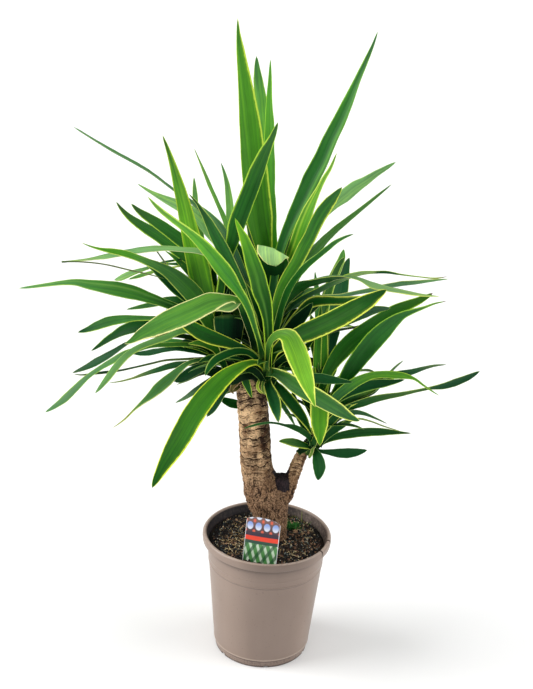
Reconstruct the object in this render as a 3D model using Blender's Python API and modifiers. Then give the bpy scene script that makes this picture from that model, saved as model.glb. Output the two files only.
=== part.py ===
"""Potted yucca: a forked cane with three leaf crowns, in a round nursery pot.

Metres, +Z up. The origin is the centre of the pot's underside, on the floor.
-Y is the front, +X is the right. Each leaf is a thin channelled blade laid on
its own space curve. The curves are written as stations of a front view
(u, v, width, in view units) together with a depth, and VIEW turns them into
metres, so one table gives all crowns.
"""

import math

import bmesh
import bpy
import numpy as np
from mathutils import Vector
from mathutils.bvhtree import BVHTree

# ---------------------------------------------------------------- constants
OBJECT_NAME = "potted_yucca"

VIEW_AT = np.array([-0.0159, -1.553, 1.092])
VIEW_PITCH = math.radians(21.3)
VIEW_ROLL = math.radians(3.14)
VIEW_SCALE = 1200.0
VIEW_CENTRE = (266.5, 344.5)

POT_HEIGHT = 0.1905
POT_RIM_R = 0.095
POT_WALL_TOP_R = 0.0876
POT_WALL_LOW_R = 0.0718
POT_WALL = 0.0020
POT_LIP_DROP = 0.0120
POT_FLOOR_Z = 0.0095
POT_FLOOR = 0.0025
POT_FOOT_H = 0.0115
POT_RING_Z = 0.1446
POT_STEPS = 56
FOOT_NOTCHES = 6
DRAIN_HOLES = 6

SOIL_TOP = 0.1790
SOIL_GAP = 0.0006

LEAF_THICK = 0.0015
LEAF_FOLD = math.radians(11.0)
LEAF_CELLS = 9
LEAF_MARGIN = 0.0007
DEPTH_SPREAD = 1.4


# -------------------------------------------------------------- view mapping
def view_axes():
    ahead = np.array([0.0, math.cos(VIEW_PITCH), -math.sin(VIEW_PITCH)])
    right = np.array([1.0, 0.0, 0.0])
    up = np.cross(right, ahead)
    c, s = math.cos(VIEW_ROLL), math.sin(VIEW_ROLL)
    return ahead, right * c + up * s, up * c - right * s


AHEAD, VIEW_X, VIEW_Y = view_axes()


def place(u, v, y):
    """The point seen at (u, v) whose world Y is y metres."""
    ray = (
        AHEAD
        + VIEW_X * ((u - VIEW_CENTRE[0]) / VIEW_SCALE)
        - VIEW_Y * ((v - VIEW_CENTRE[1]) / VIEW_SCALE)
    )
    return VIEW_AT + ray * ((y - VIEW_AT[1]) / ray[1])


def view_size(point):
    """Metres per view unit at a point."""
    return float(np.dot(point - VIEW_AT, AHEAD)) / VIEW_SCALE


def unit(a):
    n = np.linalg.norm(a)
    return a / n if n > 1e-12 else a


# -------------------------------------------------------------- scene set-up
for old in list(bpy.data.objects):
    bpy.data.objects.remove(old, do_unlink=True)

parts = bpy.data.collections.new(OBJECT_NAME)
cutters = bpy.data.collections.new("cutters")
bpy.context.scene.collection.children.link(parts)
bpy.context.scene.collection.children.link(cutters)


def material(name, colour, rough, metal=0.0):
    m = bpy.data.materials.new(name)
    m.use_nodes = True
    p = m.node_tree.nodes["Principled BSDF"]
    p.inputs["Base Color"].default_value = (*colour, 1.0)
    p.inputs["Roughness"].default_value = rough
    p.inputs["Metallic"].default_value = metal
    return m


def to_object(bm, name, where=parts, smooth=True):
    mesh = bpy.data.meshes.new(name)
    bm.to_mesh(mesh)
    bm.free()
    if smooth:
        for p in mesh.polygons:
            p.use_smooth = True
    obj = bpy.data.objects.new(name, mesh)
    where.objects.link(obj)
    if where is cutters:
        obj.hide_render = True
        obj.display_type = "WIRE"
    return obj


def boolean(obj, other, kind):
    m = obj.modifiers.new(kind.lower(), "BOOLEAN")
    m.operation = kind
    m.solver = "EXACT"
    m.object = other


def turned(name, profile, steps, where=parts):
    """A Screw of (radius, z) pairs: up the inside, over, down the outside."""
    mesh = bpy.data.meshes.new(name)
    pts = [(r, 0.0, z) for r, z in profile]
    mesh.from_pydata(pts, [(i, i + 1) for i in range(len(pts) - 1)], [])
    obj = bpy.data.objects.new(name, mesh)
    where.objects.link(obj)
    s = obj.modifiers.new("turn", "SCREW")
    s.axis = "Z"
    s.angle = math.tau
    s.steps = steps
    s.render_steps = steps
    s.use_merge_vertices = True
    s.merge_threshold = 0.00005
    s.use_smooth_shade = True
    if where is cutters:
        obj.hide_render = True
        obj.display_type = "WIRE"
    return obj


def tube(name, rows, around, where=parts, ripple=None, flat=1.0):
    """A grid wrapped round a centre line. rows: (u, v, width, depth in cm)."""
    pts = [place(u, v, y / 100.0) for u, v, w, y in rows]
    rad = [w * 0.5 * view_size(p) for (u, v, w, y), p in zip(rows, pts)]
    bm = bmesh.new()
    bmesh.ops.create_grid(bm, x_segments=around, y_segments=len(rows) - 1, size=1.0)
    bm.verts.ensure_lookup_table()
    side = None
    frames = []
    for i in range(len(pts)):
        a = pts[max(i - 1, 0)]
        b = pts[min(i + 1, len(pts) - 1)]
        t = unit(b - a)
        side = np.array([1.0, 0.0, 0.0]) if side is None else side
        side = unit(side - t * np.dot(side, t))
        frames.append((pts[i], side, np.cross(t, side), rad[i]))
    for vert in bm.verts:
        i = int(round((vert.co.y + 1.0) / 2.0 * (len(rows) - 1)))
        k = (vert.co.x + 1.0) / 2.0 * around
        ang = -math.tau * (int(round(k)) % around) / around
        p, s, n, r = frames[i]
        if ripple:
            r = r * ripple(i, ang)
        vert.co = Vector(p + s * math.cos(ang) * r + n * math.sin(ang) * r * flat)
    bmesh.ops.remove_doubles(bm, verts=bm.verts, dist=1e-6)
    bmesh.ops.holes_fill(bm, edges=bm.edges, sides=0)
    bmesh.ops.recalc_face_normals(bm, faces=bm.faces)
    return to_object(bm, name, where)


def spread(rows, count):
    """count stations along rows, smooth in u and v, even in path length."""
    a = np.array(rows, float)
    d = np.r_[0.0, np.cumsum(np.hypot(np.diff(a[:, 0]), np.diff(a[:, 1])) + 1e-6)]
    t = np.linspace(0.0, d[-1], count)
    out = np.empty((count, a.shape[1]))
    for c in range(a.shape[1]):
        m = np.gradient(a[:, c], d)
        k = np.clip(np.searchsorted(d, t, side="right") - 1, 0, len(d) - 2)
        h = d[k + 1] - d[k]
        x = (t - d[k]) / h
        out[:, c] = (
            (2 * x**3 - 3 * x**2 + 1) * a[k, c]
            + (x**3 - 2 * x**2 + x) * h * m[k]
            + (-2 * x**3 + 3 * x**2) * a[k + 1, c]
            + (x**3 - x**2) * h * m[k + 1]
        )
    return out


# ------------------------------------------------------------------- the pot
z0 = POT_FLOOR_Z
wall_low = POT_WALL_LOW_R


def wall_r(z):
    """Outer radius of the wall between the foot step and the rim."""
    f = (z - POT_FOOT_H) / (POT_HEIGHT - POT_LIP_DROP - POT_FOOT_H)
    return wall_low + (POT_WALL_TOP_R - wall_low) * f


pot_profile = [
    (0.0, z0),
    (0.034, z0),
    (wall_low - POT_WALL - 0.003, z0),
    (wall_low - POT_WALL, z0 + 0.003),
    (POT_WALL_TOP_R - POT_WALL, POT_HEIGHT - POT_LIP_DROP - 0.001),
    (POT_WALL_TOP_R + 0.0006, POT_HEIGHT - 0.0050),
    (POT_WALL_TOP_R + 0.0018, POT_HEIGHT - 0.0010),
    (POT_RIM_R - 0.0040, POT_HEIGHT),
    (POT_RIM_R - 0.0015, POT_HEIGHT - 0.0006),
    (POT_RIM_R - 0.0003, POT_HEIGHT - 0.0022),
    (POT_RIM_R - 0.0006, POT_HEIGHT - POT_LIP_DROP),
    (POT_RIM_R - 0.0024, POT_HEIGHT - POT_LIP_DROP - 0.0002),
    (POT_RIM_R - 0.0028, POT_HEIGHT - 0.0032),
    (POT_WALL_TOP_R + 0.0026, POT_HEIGHT - 0.0038),
    (POT_WALL_TOP_R, POT_HEIGHT - POT_LIP_DROP),
    (wall_r(POT_RING_Z + 0.0024) + 0.0001, POT_RING_Z + 0.0024),
    (wall_r(POT_RING_Z + 0.0010) + 0.0008, POT_RING_Z + 0.0010),
    (wall_r(POT_RING_Z - 0.0006) - 0.0001, POT_RING_Z - 0.0006),
    (wall_r(0.075), 0.075),
    (wall_low, POT_FOOT_H + 0.0006),
    (wall_low - 0.0016, POT_FOOT_H),
    (wall_low - 0.0024, 0.0),
    (wall_low - 0.0054, 0.0),
    (wall_low - 0.0062, z0 - POT_FLOOR),
    (0.033, z0 - POT_FLOOR),
    (0.031, 0.0),
    (0.0, 0.0),
]
pot = turned("pot", pot_profile, POT_STEPS)
pot.data.materials.append(material("pot_plastic", (0.42, 0.35, 0.31), 0.42))

bm = bmesh.new()
for i in range(DRAIN_HOLES):
    a = math.tau * (i + 0.25) / DRAIN_HOLES
    at = Vector((0.049 * math.cos(a), 0.049 * math.sin(a), z0 - POT_FLOOR / 2))
    hole = bmesh.ops.create_cone(
        bm, cap_ends=True, segments=14, radius1=0.0048, radius2=0.0048, depth=0.02
    )
    bmesh.ops.translate(bm, verts=hole["verts"], vec=at)
drains = to_object(bm, "drain_cutter", cutters, smooth=False)
boolean(pot, drains, "DIFFERENCE")

bm = bmesh.new()
for i in range(FOOT_NOTCHES):
    a = math.tau * (i + 0.62) / FOOT_NOTCHES
    box = bmesh.ops.create_cube(bm, size=1.0)
    for vert in box["verts"]:
        x, y, z = vert.co
        x, y, z = 0.0655 + x * 0.014, y * 0.007, z * 0.006
        vert.co = Vector(
            (x * math.cos(a) - y * math.sin(a), x * math.sin(a) + y * math.cos(a), z)
        )
notches = to_object(bm, "notch_cutter", cutters, smooth=False)
boolean(pot, notches, "DIFFERENCE")

# ----------------------------------------------------------------- the cane
STEM = [
    (271.5, 552, 27, 0.2),
    (271.5, 540, 29, 0.2),
    (271.0, 528, 31, 0.1),
    (270.4, 516, 34, 0.0),
    (269.0, 506, 38, 0.0),
    (266.5, 497, 40.5, 0.0),
    (263.0, 488, 38, 0.0),
    (260.0, 479, 35, 0.0),
    (257.2, 470, 32, 0.0),
    (256.0, 460, 30.5, 0.0),
    (255.2, 443, 30, 0.0),
    (254.6, 431, 30.5, 0.0),
    (253.8, 420, 29.5, 0.0),
    (252.6, 407, 30.5, 0.0),
    (251.4, 396, 30, 0.0),
    (250.2, 388, 28, 0.0),
    (249.0, 381, 24, 0.0),
    (248.6, 377, 18, 0.0),
]
NECK_A = [
    (251.0, 400, 16, -0.2),
    (256.0, 388, 15, -0.4),
    (262.0, 377, 12, -0.6),
    (266.0, 364, 9.5, -0.6),
    (268.5, 345, 7.5, -0.4),
    (269.5, 325, 6.0, 0.0),
    (270.0, 306, 4.0, 0.3),
]
NECK_B = [
    (248.0, 400, 15, 0.4),
    (241.0, 386, 14, 1.0),
    (232.0, 374, 12, 1.6),
    (224.5, 362, 9.5, 2.0),
    (220.5, 348, 7.5, 2.2),
    (218.5, 333, 6.0, 2.2),
    (216.5, 318, 4.0, 2.2),
]
BRANCH = [
    (277.0, 506, 15, 0.0),
    (282.0, 498, 18, 0.0),
    (287.0, 488, 17.5, 0.0),
    (291.2, 479, 15.5, 0.0),
    (294.6, 471, 13.8, 0.0),
    (298.2, 462, 12.4, 0.0),
    (302.0, 454, 12.0, 0.0),
    (306.5, 447, 11.0, 0.1),
    (311.5, 439, 9.0, 0.3),
    (315.5, 428, 7.0, 0.4),
    (318.0, 414, 5.5, 0.5),
    (319.5, 400, 4.0, 0.6),
]
STUMP = [
    (276.0, 503, 19.0, -0.1),
    (279.0, 493, 19.5, -0.3),
    (281.0, 484, 18.0, -0.5),
    (281.2, 477, 16.5, -0.6),
]


def rings(i, ang):
    return 1.0 + 0.018 * math.sin(i * 2.3 + 0.6 * math.sin(ang)) + 0.012 * math.sin(
        3 * ang + i * 0.7
    )


stem_rows = spread(STEM, 26)
trunk = tube("trunk", stem_rows, 20, ripple=rings)
for name, rows, count, around in (
    ("branch_limb", BRANCH, 14, 14),
    ("stump_limb", STUMP, 4, 14),
    ("neck_a_limb", NECK_A, 8, 10),
    ("neck_b_limb", NECK_B, 8, 10),
):
    limb = tube(name, spread(rows, count), around, cutters)
    boolean(trunk, limb, "UNION")
trunk.data.materials.append(material("bark", (0.40, 0.27, 0.16), 0.9))

# ------------------------------------------------------------------ the soil
soil_profile = [
    (0.0, SOIL_TOP + 0.0025),
    (0.020, SOIL_TOP + 0.0022),
    (0.040, SOIL_TOP + 0.0014),
    (0.058, SOIL_TOP + 0.0002),
    (0.072, SOIL_TOP - 0.001),
    (0.0815, SOIL_TOP - 0.0025),
]
inner_low = wall_low - POT_WALL - SOIL_GAP
inner_top = POT_WALL_TOP_R - POT_WALL - SOIL_GAP
inner_z = POT_HEIGHT - POT_LIP_DROP


def inner_r(z):
    f = (z - z0 - 0.003) / (inner_z - z0 - 0.003)
    return inner_low + (inner_top - inner_low) * f


soil_profile += [
    (inner_r(SOIL_TOP - 0.0045), SOIL_TOP - 0.0045),
    (inner_r(0.10), 0.10),
    (inner_r(z0 + 0.004), z0 + 0.004),
    (inner_low - 0.0035, z0 + SOIL_GAP),
    (0.0, z0 + SOIL_GAP),
]
soil = turned("soil", soil_profile, 40)
soil.data.materials.append(material("potting_soil", (0.05, 0.035, 0.025), 0.95))

# The stem stands in a pocket of the soil a little wider than itself.
pocket_rows = [(271.5, 553.5, 31.0, 0.2)] + [
    (u, v, w + 3.0, y) for u, v, w, y in STEM[1:6]
]
stem_pocket = tube("stem_pocket_cutter", spread(pocket_rows, 10), 22, cutters)
boolean(soil, stem_pocket, "DIFFERENCE")

# -------------------------------------------------------------- the plant tag
TAG_FOOT = place(258.0, 573.0, -0.0705)
TAG_HEAD = place(263.7, 521.0, -0.0575)
TAG_WIDTH = 0.0505
TAG_YAW = math.radians(17.0)
TAG_THICK = 0.0011


def tag_body(name, grow, where):
    up = unit(TAG_HEAD - TAG_FOOT)
    side = np.array([math.cos(TAG_YAW), -math.sin(TAG_YAW), 0.0])
    side = unit(side - up * np.dot(side, up))
    front = np.cross(up, side)
    tall = np.linalg.norm(TAG_HEAD - TAG_FOOT)
    half = TAG_WIDTH / 2 + grow
    outline = [(-0.006, -0.030), (0.006, -0.030), (0.010, -0.006), (half, 0.0)]
    outline = [(x + (grow if x > 0 else -grow if x < 0 else 0), y) for x, y in outline[:3]] + [
        (half, -grow)
    ]
    outline.append((half, tall + grow - 0.001))
    for k in range(1, 8):
        a = math.pi * k / 8
        outline.append((half * math.cos(a), tall - 0.001 + 0.0052 * math.sin(a) + grow))
    outline.append((-half, tall + grow - 0.001))
    outline.append((-half, -grow))
    outline.append((-0.010 - grow, -0.006))
    if grow:
        outline[0] = (outline[0][0], outline[0][1] - grow)
        outline[1] = (outline[1][0], outline[1][1] - grow)
    bm = bmesh.new()
    disc = bmesh.ops.create_circle(bm, cap_ends=True, segments=len(outline), radius=1.0)
    verts = sorted(disc["verts"], key=lambda v: math.atan2(v.co.y, v.co.x) % math.tau)
    for vert, (x, y) in zip(verts, outline):
        vert.co = Vector(TAG_FOOT + side * x + up * y - front * (TAG_THICK / 2 + grow))
    whole = bmesh.ops.extrude_face_region(bm, geom=bm.faces[:])
    moved = [g for g in whole["geom"] if isinstance(g, bmesh.types.BMVert)]
    bmesh.ops.translate(bm, verts=moved, vec=Vector(front * (TAG_THICK + 2 * grow)))
    bmesh.ops.recalc_face_normals(bm, faces=bm.faces)
    return to_object(bm, name, where, smooth=False)


tag = tag_body("plant_tag", 0.0, parts)
tag.data.materials.append(material("tag_card", (0.85, 0.85, 0.88), 0.35))
boolean(soil, tag_body("tag_slot_cutter", 0.0006, cutters), "DIFFERENCE")

# ---------------------------------------------------------------- the leaves
# name: (stations base to tip as (u, v, width), depth in cm at base and tip or
# at each station, roll in degrees about the blade's length, side seen: 1 upper,
# -1 lower). A roll pair runs from base to tip.
LEAVES = {
    # crown A: upright and to the right (two folded blades are placed first)
    "leaf_a_bent_back": ([(270, 338, 10), (271, 318, 18), (272, 298, 25), (272.8, 280, 29), (273, 264, 32), (273.2, 252.5, 34), (273.6, 250.5, 34), (274, 254, 31), (274.8, 261, 20), (276, 266.5, 0)], [0.8, 0.9, 1.0, 0.8, 0.2, -1.0, -2.4, -3.2, -3.7, -4.0], (0, -27), 1),
    "leaf_b_folded": ([(229, 360, 13), (229, 350, 20), (229, 338, 27), (229, 327, 31), (229, 319, 32), (229, 315.6, 28), (229, 314, 0)], [0.2, 0.1, -0.1, -0.2, -0.2, -0.1, 0.0], 0, -1),
    "leaf_a_tall": ([(269, 325, 8), (268, 300, 9), (266.5, 270, 12), (264.5, 250, 16.5), (262.8, 240, 20.5), (259.5, 220, 27), (257, 200, 28), (255.3, 180, 27), (252.3, 150, 25), (249.3, 120, 21.3), (247, 100, 18), (244.5, 80, 14), (240.4, 50, 8.7), (238.3, 32, 3.8), (237.7, 18, 0)], (0.2, 1.5), 12, 1),
    "leaf_a_tall_back": ([(269, 305, 8), (268, 260, 14), (266, 200, 16), (264, 150, 15), (262, 120, 13), (260.5, 100, 12.5), (258, 80, 10), (257, 68, 6), (256.5, 56, 0)], (1.0, 8.0), 20, 1),
    "leaf_a_tall_slim": ([(273, 305, 7), (273, 270, 9), (272.5, 240, 11), (271, 210, 12), (270, 180, 12), (270, 150, 11), (270, 120, 9), (269.6, 100, 6.5), (270.2, 80, 4), (270.5, 59, 0)], (0.8, 4.0), -45, 1),
    "leaf_a_right_tall": ([(271, 318, 8), (272, 300, 8), (276, 270, 9), (281, 248, 10), (291, 222, 11.5), (301.5, 200, 15), (311, 180, 17.5), (321.5, 160, 16.3), (330, 140, 15.5), (340, 120, 13.4), (349, 100, 10.8), (357.5, 80, 7.2), (366.5, 60, 5), (373, 45, 3), (378, 31, 0)], (0.2, 4.0), -25, 1),
    "leaf_a_right_slim": ([(275, 320, 7), (279, 290, 9), (286, 262, 11), (291, 243, 12.5), (298, 226, 12.5), (306, 210, 10), (313, 200, 7), (319, 190, 5.5), (325, 178, 4.5), (330, 170, 3.2), (337, 153, 0)], (0.0, -3.0), -30, 1),
    "leaf_a_right_mid": ([(272, 335, 7), (276, 305, 9), (283, 285, 11), (290, 272.5, 12.5), (296.5, 262, 13), (303.5, 248, 13.5), (309.5, 237, 13.5), (316.5, 222, 14), (323.5, 210, 14), (331, 200, 11.5), (336.5, 193.5, 7), (342, 187, 0)], (-1.0, -10.0), 20, 1),
    "leaf_a_right_pale": ([(276, 315, 8), (288, 275, 10), (303, 245, 11), (322, 218, 12), (337, 203, 12.5), (346, 195, 14), (356, 187, 12), (365, 181.5, 9), (376, 174, 6.5), (387, 167.5, 4), (396, 162, 0)], (1.0, 14.0), 20, -1),
    "leaf_a_right_long": ([(273, 335, 7), (285, 300, 9), (296, 275, 10), (306, 258, 11), (317, 247, 10.5), (328, 236, 8), (338, 227, 6.5), (351, 216.5, 5.2), (365, 205.5, 4.2), (378, 195, 3), (392, 184, 0)], (0.8, 5.0), 52, 1),
    "leaf_a_right_edge": ([(274, 342, 6), (288, 292, 7), (298, 276, 7), (306, 267, 6.5), (316, 258.5, 6), (327, 249.5, 5.5), (336, 242.5, 4.5), (345, 237.5, 3), (354, 234, 0)], (-1.0, -12.0), -58, 1),
    "leaf_a_centre": ([(268, 372, 8), (269, 345, 9), (268, 320, 11.5), (265, 303, 15.5), (261, 290, 19), (257.5, 275, 18.5), (253, 262, 16.5), (249, 250, 13.5), (244, 237, 10), (239.5, 228, 5.5), (235, 218, 0)], (-2.0, -11.0), -18, 1),
    "leaf_a_front_left": ([(263, 360, 5.5), (259, 342, 5.5), (255, 328, 6), (250, 312, 7.5), (245, 301, 8.5), (238.5, 291, 10), (231.5, 281, 14), (224, 271, 16.5), (216, 261, 15.5), (208, 251.5, 13.5), (200, 243, 11.7), (190, 233.5, 8.5), (180, 225.5, 6.5), (170, 218, 6), (160, 210, 5.2), (153, 203, 3), (147.5, 196.5, 0)], (-2.0, -12.0), (10, 40), 1),
    "leaf_a_left_dark": ([(261, 340, 6), (250, 310, 9), (240, 285, 12), (230, 263, 13), (222, 247, 13), (215, 234, 12), (209, 222, 9), (203, 212, 5.5), (197, 203, 3), (188.5, 193.5, 0)], (-0.6, -4.0), -25, 1),
    "leaf_a_left_pale": ([(258, 325, 6), (240, 275, 8), (225, 250, 10), (212, 234, 12), (201, 220, 14), (188, 210, 13), (175, 203.5, 10.5), (163, 198, 7), (152, 192.5, 4), (137, 183.5, 0)], (0.6, 9.0), 15, -1),
    "leaf_a_left_far": ([(255, 318, 4), (235, 262, 4), (215, 228, 4), (195, 206, 3.5), (171, 188, 2.8), (150, 172.5, 2.4), (130, 160.5, 3.2), (115, 152.5, 3), (100, 143.5, 2), (80, 131, 1.4), (73, 126.5, 0)], (1.0, 12.0), 76, 1),
    "leaf_a_back_left": ([(236, 315, 8), (233, 260, 9), (229.5, 225, 8.5), (229.5, 208, 8), (228.5, 195, 7), (226.5, 182, 5), (224, 172, 3), (221, 162.5, 0)], (2.0, 17.0), 40, 1),
    "leaf_a_left_flat": ([(255, 320, 5), (230, 270, 6), (210, 254, 6.5), (200, 250.5, 6), (185, 249, 5.5), (165, 248, 5.5), (145, 248.8, 6.5), (125, 252, 6.5), (105, 256, 5), (85, 259.5, 2.5), (61.5, 261.5, 0)], (0.2, 3.0), 62, -1),
    "leaf_a_right_front": ([(268, 362, 7), (276, 350, 10), (290, 340, 16), (308, 331.5, 20), (325, 324, 21), (342, 315.5, 20.5), (357, 307, 19), (370, 299.5, 15.5), (379, 294, 9), (387, 289.5, 0)], (-2.2, -12.0), 15, 1),
    "leaf_a_right_twist": ([(268, 352, 6), (276, 325, 8), (284, 300, 11), (292, 290.5, 12.5), (302, 284.5, 10.5), (315, 280.5, 7), (330, 277, 5), (345, 277, 3.4), (358, 278.5, 4.2), (372, 283.5, 5.5), (388, 288, 5.5), (404, 291.5, 4.5), (420, 294.5, 3), (440, 296.5, 0)], (-0.8, -2.0), (40, 125), 1),
    "leaf_a_right_flat": ([(270, 330, 6), (290, 308, 8), (310, 301, 8), (325, 297.5, 5), (340, 296, 3.5), (355, 293.5, 4.5), (370, 290.5, 5), (385, 286.5, 4.5), (400, 284.5, 5.5), (415, 283, 4.5), (430, 281, 3), (449, 279, 0)], (0.6, 8.0), 60, -1),
    "leaf_a_front_bent": ([(267, 370, 6), (268.8, 356, 7), (271.5, 345.5, 8), (276, 338.5, 9.5), (282.5, 335.5, 13.5), (289, 339.5, 21), (294, 350, 23.5), (298.6, 362, 22.5), (303, 374, 19.5), (307, 385, 15), (310.3, 394.5, 9.5), (312.8, 401, 5), (315.3, 407.5, 0)], (-2.6, -15.0), -15, 1),
    "leaf_a_right_low": ([(266, 372, 6), (273, 372, 9), (283, 376.5, 13), (294, 384, 16.5), (306, 391, 17.5), (318, 397.5, 17.5), (330, 404.5, 16), (341, 411, 13.5), (350, 416.5, 9), (360, 421, 0)], (-2.0, -13.0), 10, 1),
    "leaf_a_right_dark": ([(272, 374, 6), (285, 378, 8), (300, 378.5, 10), (315, 378, 10.5), (325, 378.5, 10.5), (335, 379.8, 8), (344, 381, 5), (353, 382, 0)], (-1.2, -8.0), 30, 1),
    "leaf_a_hanging": ([(267, 380, 7), (269, 387, 10), (272, 394, 12.5), (275, 403, 13), (277, 411, 10.5), (278, 417, 6.5), (278.5, 422.5, 0)], (-1.6, -7.0), 10, 1),
    "leaf_a_down_right": ([(272, 382, 6), (279, 388, 9), (287, 398, 12), (296, 409, 12), (304, 420, 8.5), (308, 427, 5), (312, 435, 0)], (-1.2, -4.5), -20, 1),
    "leaf_a_big_droop": ([(266, 378, 5), (263, 367, 5.5), (256, 362.5, 6), (247, 364, 8), (238, 368.5, 12), (228, 375, 16), (216, 386, 19.5), (203, 400, 22), (191, 416, 22.5), (180, 433, 21.5), (170, 449, 18), (161, 465, 12), (155, 477, 7), (151.5, 487.5, 0)], (-1.6, -15.0), 12, 1),
    "leaf_a_left_arch": ([(262, 368, 5), (256, 358, 6), (247, 352, 7), (236, 351.5, 8), (225, 355, 8.5), (215, 360.5, 8.5), (209.5, 367, 6.5), (205, 376, 0)], (-1.2, -9.0), 20, 1),
    "leaf_a_left_under": ([(265, 366, 5), (258, 358, 6), (248, 351, 7), (237, 346, 9), (225, 342, 12), (212, 337.5, 15), (200, 332, 15.5), (190, 326, 13), (180, 319, 9), (166, 309, 0)], (-1.4, -5.4), -15, 1),
    "leaf_a_left_broad": ([(257, 352, 7), (251.5, 334, 8), (246, 317, 9), (241, 304.5, 9), (233, 298.8, 7), (225, 299.2, 10.5), (211, 302, 20.5), (196, 308.8, 22.5), (181, 315.5, 23.5), (166, 322, 22), (151, 329.5, 17), (140, 335, 11.5), (131, 341, 5.5), (124.5, 344, 0)], [-0.4, -0.6, -1.4, -3.2, -5.4, -6.6, -7.6, -8.8, -10, -11.2, -12.4, -13.2, -13.9, -14.4], -8, 1),
    # crown B: left and behind
    "leaf_b_cross": ([(216, 330, 8), (219, 300, 8), (224, 270, 9), (228.5, 253, 11), (232.5, 240, 14), (236.3, 225, 17.5), (241.7, 210, 18), (249.5, 190, 17.5), (257, 170, 16), (265.5, 150, 11.5), (272.5, 136, 6.5), (278, 122, 0)], (1.6, -8.0), 20, 1),
    "leaf_b_upright": ([(218, 350, 8), (214, 334, 11), (208.5, 312, 16), (203.5, 290, 21), (199, 270, 23.5), (194.3, 250, 21.5), (189.3, 230, 18), (184.8, 210, 15.3), (179.8, 190, 12.5), (174.3, 170, 8.3), (168, 150, 4.5), (162.5, 135, 0)], (1.8, 0.5), 8, 1),
    "leaf_b_left_upper": ([(214, 335, 7), (204, 290, 9), (190, 263, 11), (178, 251, 12.5), (168, 243.5, 12.5), (158, 236.5, 12), (148, 230, 11), (138, 223.5, 9), (128, 216, 6.5), (120.5, 208, 3.5), (116, 201.5, 0)], (2.6, 12.0), 30, 1),
    "leaf_b_left_wide": ([(215, 330, 7), (208, 285, 9), (198, 258, 12), (187, 245.5, 13.5), (176, 237, 13), (165, 229, 12), (155, 222, 10.5), (145, 215.5, 8.5), (137, 209.5, 5), (131, 203.5, 0)], (2.4, 7.0), 25, 1),
    "leaf_b_left_bright": ([(216, 350, 7), (212, 330, 11), (204, 312, 17), (194, 296, 20), (184, 285.5, 18.5), (173, 276, 15.5), (162, 269, 11), (150, 263.5, 8), (138, 258.3, 7), (125, 254, 7.3), (112, 251.5, 6), (100, 249.2, 3.2), (90, 246.3, 1.8), (81, 242.5, 0)], (0.8, -4.0), (10, 45), 1),
    "leaf_b_far_left": ([(222, 352, 7), (210, 330, 8), (195, 318, 9), (178, 309, 9), (162, 302.5, 9), (147, 297.5, 11.5), (131, 292.5, 15), (115, 289, 15.3), (100, 286.8, 12.5), (88, 284.8, 9.8), (75, 282.5, 6.3), (62, 283, 4.2), (50, 284.5, 2.8), (35, 286.3, 1.4), (19.5, 288, 0)], (1.0, -2.0), (35, 30), 1),
    "leaf_b_left_drop": ([(220, 352, 6), (205, 335, 7), (188, 325, 7), (170, 320, 6), (150, 318.5, 5), (134, 318.5, 6), (120, 320, 9), (107, 322.5, 10.8), (96, 326.5, 9), (87, 330, 5.5), (77.5, 332.5, 0)], (1.2, -1.5), 40, 1),
    "leaf_b_left_night": ([(220, 354, 6), (205, 338, 8), (188, 330, 9), (170, 326, 10), (155, 325, 12), (143, 325.5, 13), (132, 327.5, 12.5), (122, 331, 10.5), (114, 335.5, 8), (106, 340.5, 6.5), (98.5, 346, 4), (91, 351, 0)], (1.8, 3.0), 30, 1),
    "leaf_b_left_turned": ([(222, 352, 6), (210, 338, 7), (195, 331, 7), (180, 331, 6), (166, 337, 7), (152, 342, 6.5), (139, 347, 6), (127, 354.5, 7), (116, 366.5, 7.5), (107, 378.5, 6.5), (100, 387.5, 4), (95, 393.5, 0)], (1.2, -7.0), 45, -1),
    "leaf_b_left_low": ([(216, 358, 5), (205, 348.5, 6), (190, 345, 5), (170, 345, 4.5), (152, 346, 5), (138, 349.5, 5.5), (125, 354, 6), (112, 361.5, 6), (100, 368.5, 5), (88, 377, 5.5), (76, 388.5, 7), (65, 399, 7.5), (55, 406.5, 5), (45, 412.5, 0)], (1.4, -2.0), 50, 1),
    "leaf_b_left_lower": ([(216, 361, 5), (200, 363.5, 5), (186, 364, 5.5), (172, 366, 6.5), (158, 370, 6), (145, 374, 4), (132, 378.5, 2), (120, 381.5, 1.6), (108, 383, 0)], (2.4, 9.0), 50, 1),
    "leaf_b_tail": ([(216, 364, 6), (202, 361, 7), (188, 364, 9), (178, 371, 12), (168, 380, 13.5), (158, 389.5, 12), (150, 396.5, 8), (142, 403, 4), (134, 410, 1.8), (125, 419, 1.6), (112, 428.5, 0)], (1.0, -6.0), 20, 1),
    "leaf_b_dark_bow": ([(216, 357, 5), (205, 353, 7), (190, 349.5, 7), (178, 348.5, 5), (165, 350, 5), (152, 352.5, 6.5), (142, 353.5, 5), (132, 353.5, 0)], (2.4, 8.0), 40, 1),
    "leaf_b_under": ([(246, 404, 6), (238, 404.5, 9), (231, 403, 9.5), (225, 400.5, 7), (219, 397, 0)], (3.2, 4.6), 10, 1),
    # crown C: on the side branch
    "leaf_c_up_light": ([(321, 372, 6), (320, 330, 7), (323, 305, 9), (328, 290, 9.5), (333, 278, 10), (338, 267, 9), (342, 257, 7), (344, 249, 0)], (1.4, 10.0), 30, 1),
    "leaf_c_up_dark": ([(322, 385, 7), (327, 350, 11), (333, 325, 14), (337, 305, 16), (341, 288, 15), (344, 274, 12), (347, 264, 6.5), (349.5, 257.5, 0)], (1.6, 13.0), 20, 1),
    "leaf_c_right_upper": ([(319, 405, 7), (324, 385, 9), (332, 368, 12), (343, 354, 15), (356, 341, 15.5), (370, 329, 14.5), (383, 319, 13.5), (396, 310.5, 12), (408, 305, 10.5), (419, 300.5, 8), (427, 296.5, 4.5), (433, 293, 0)], (1.0, 5.0), 15, 1),
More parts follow.
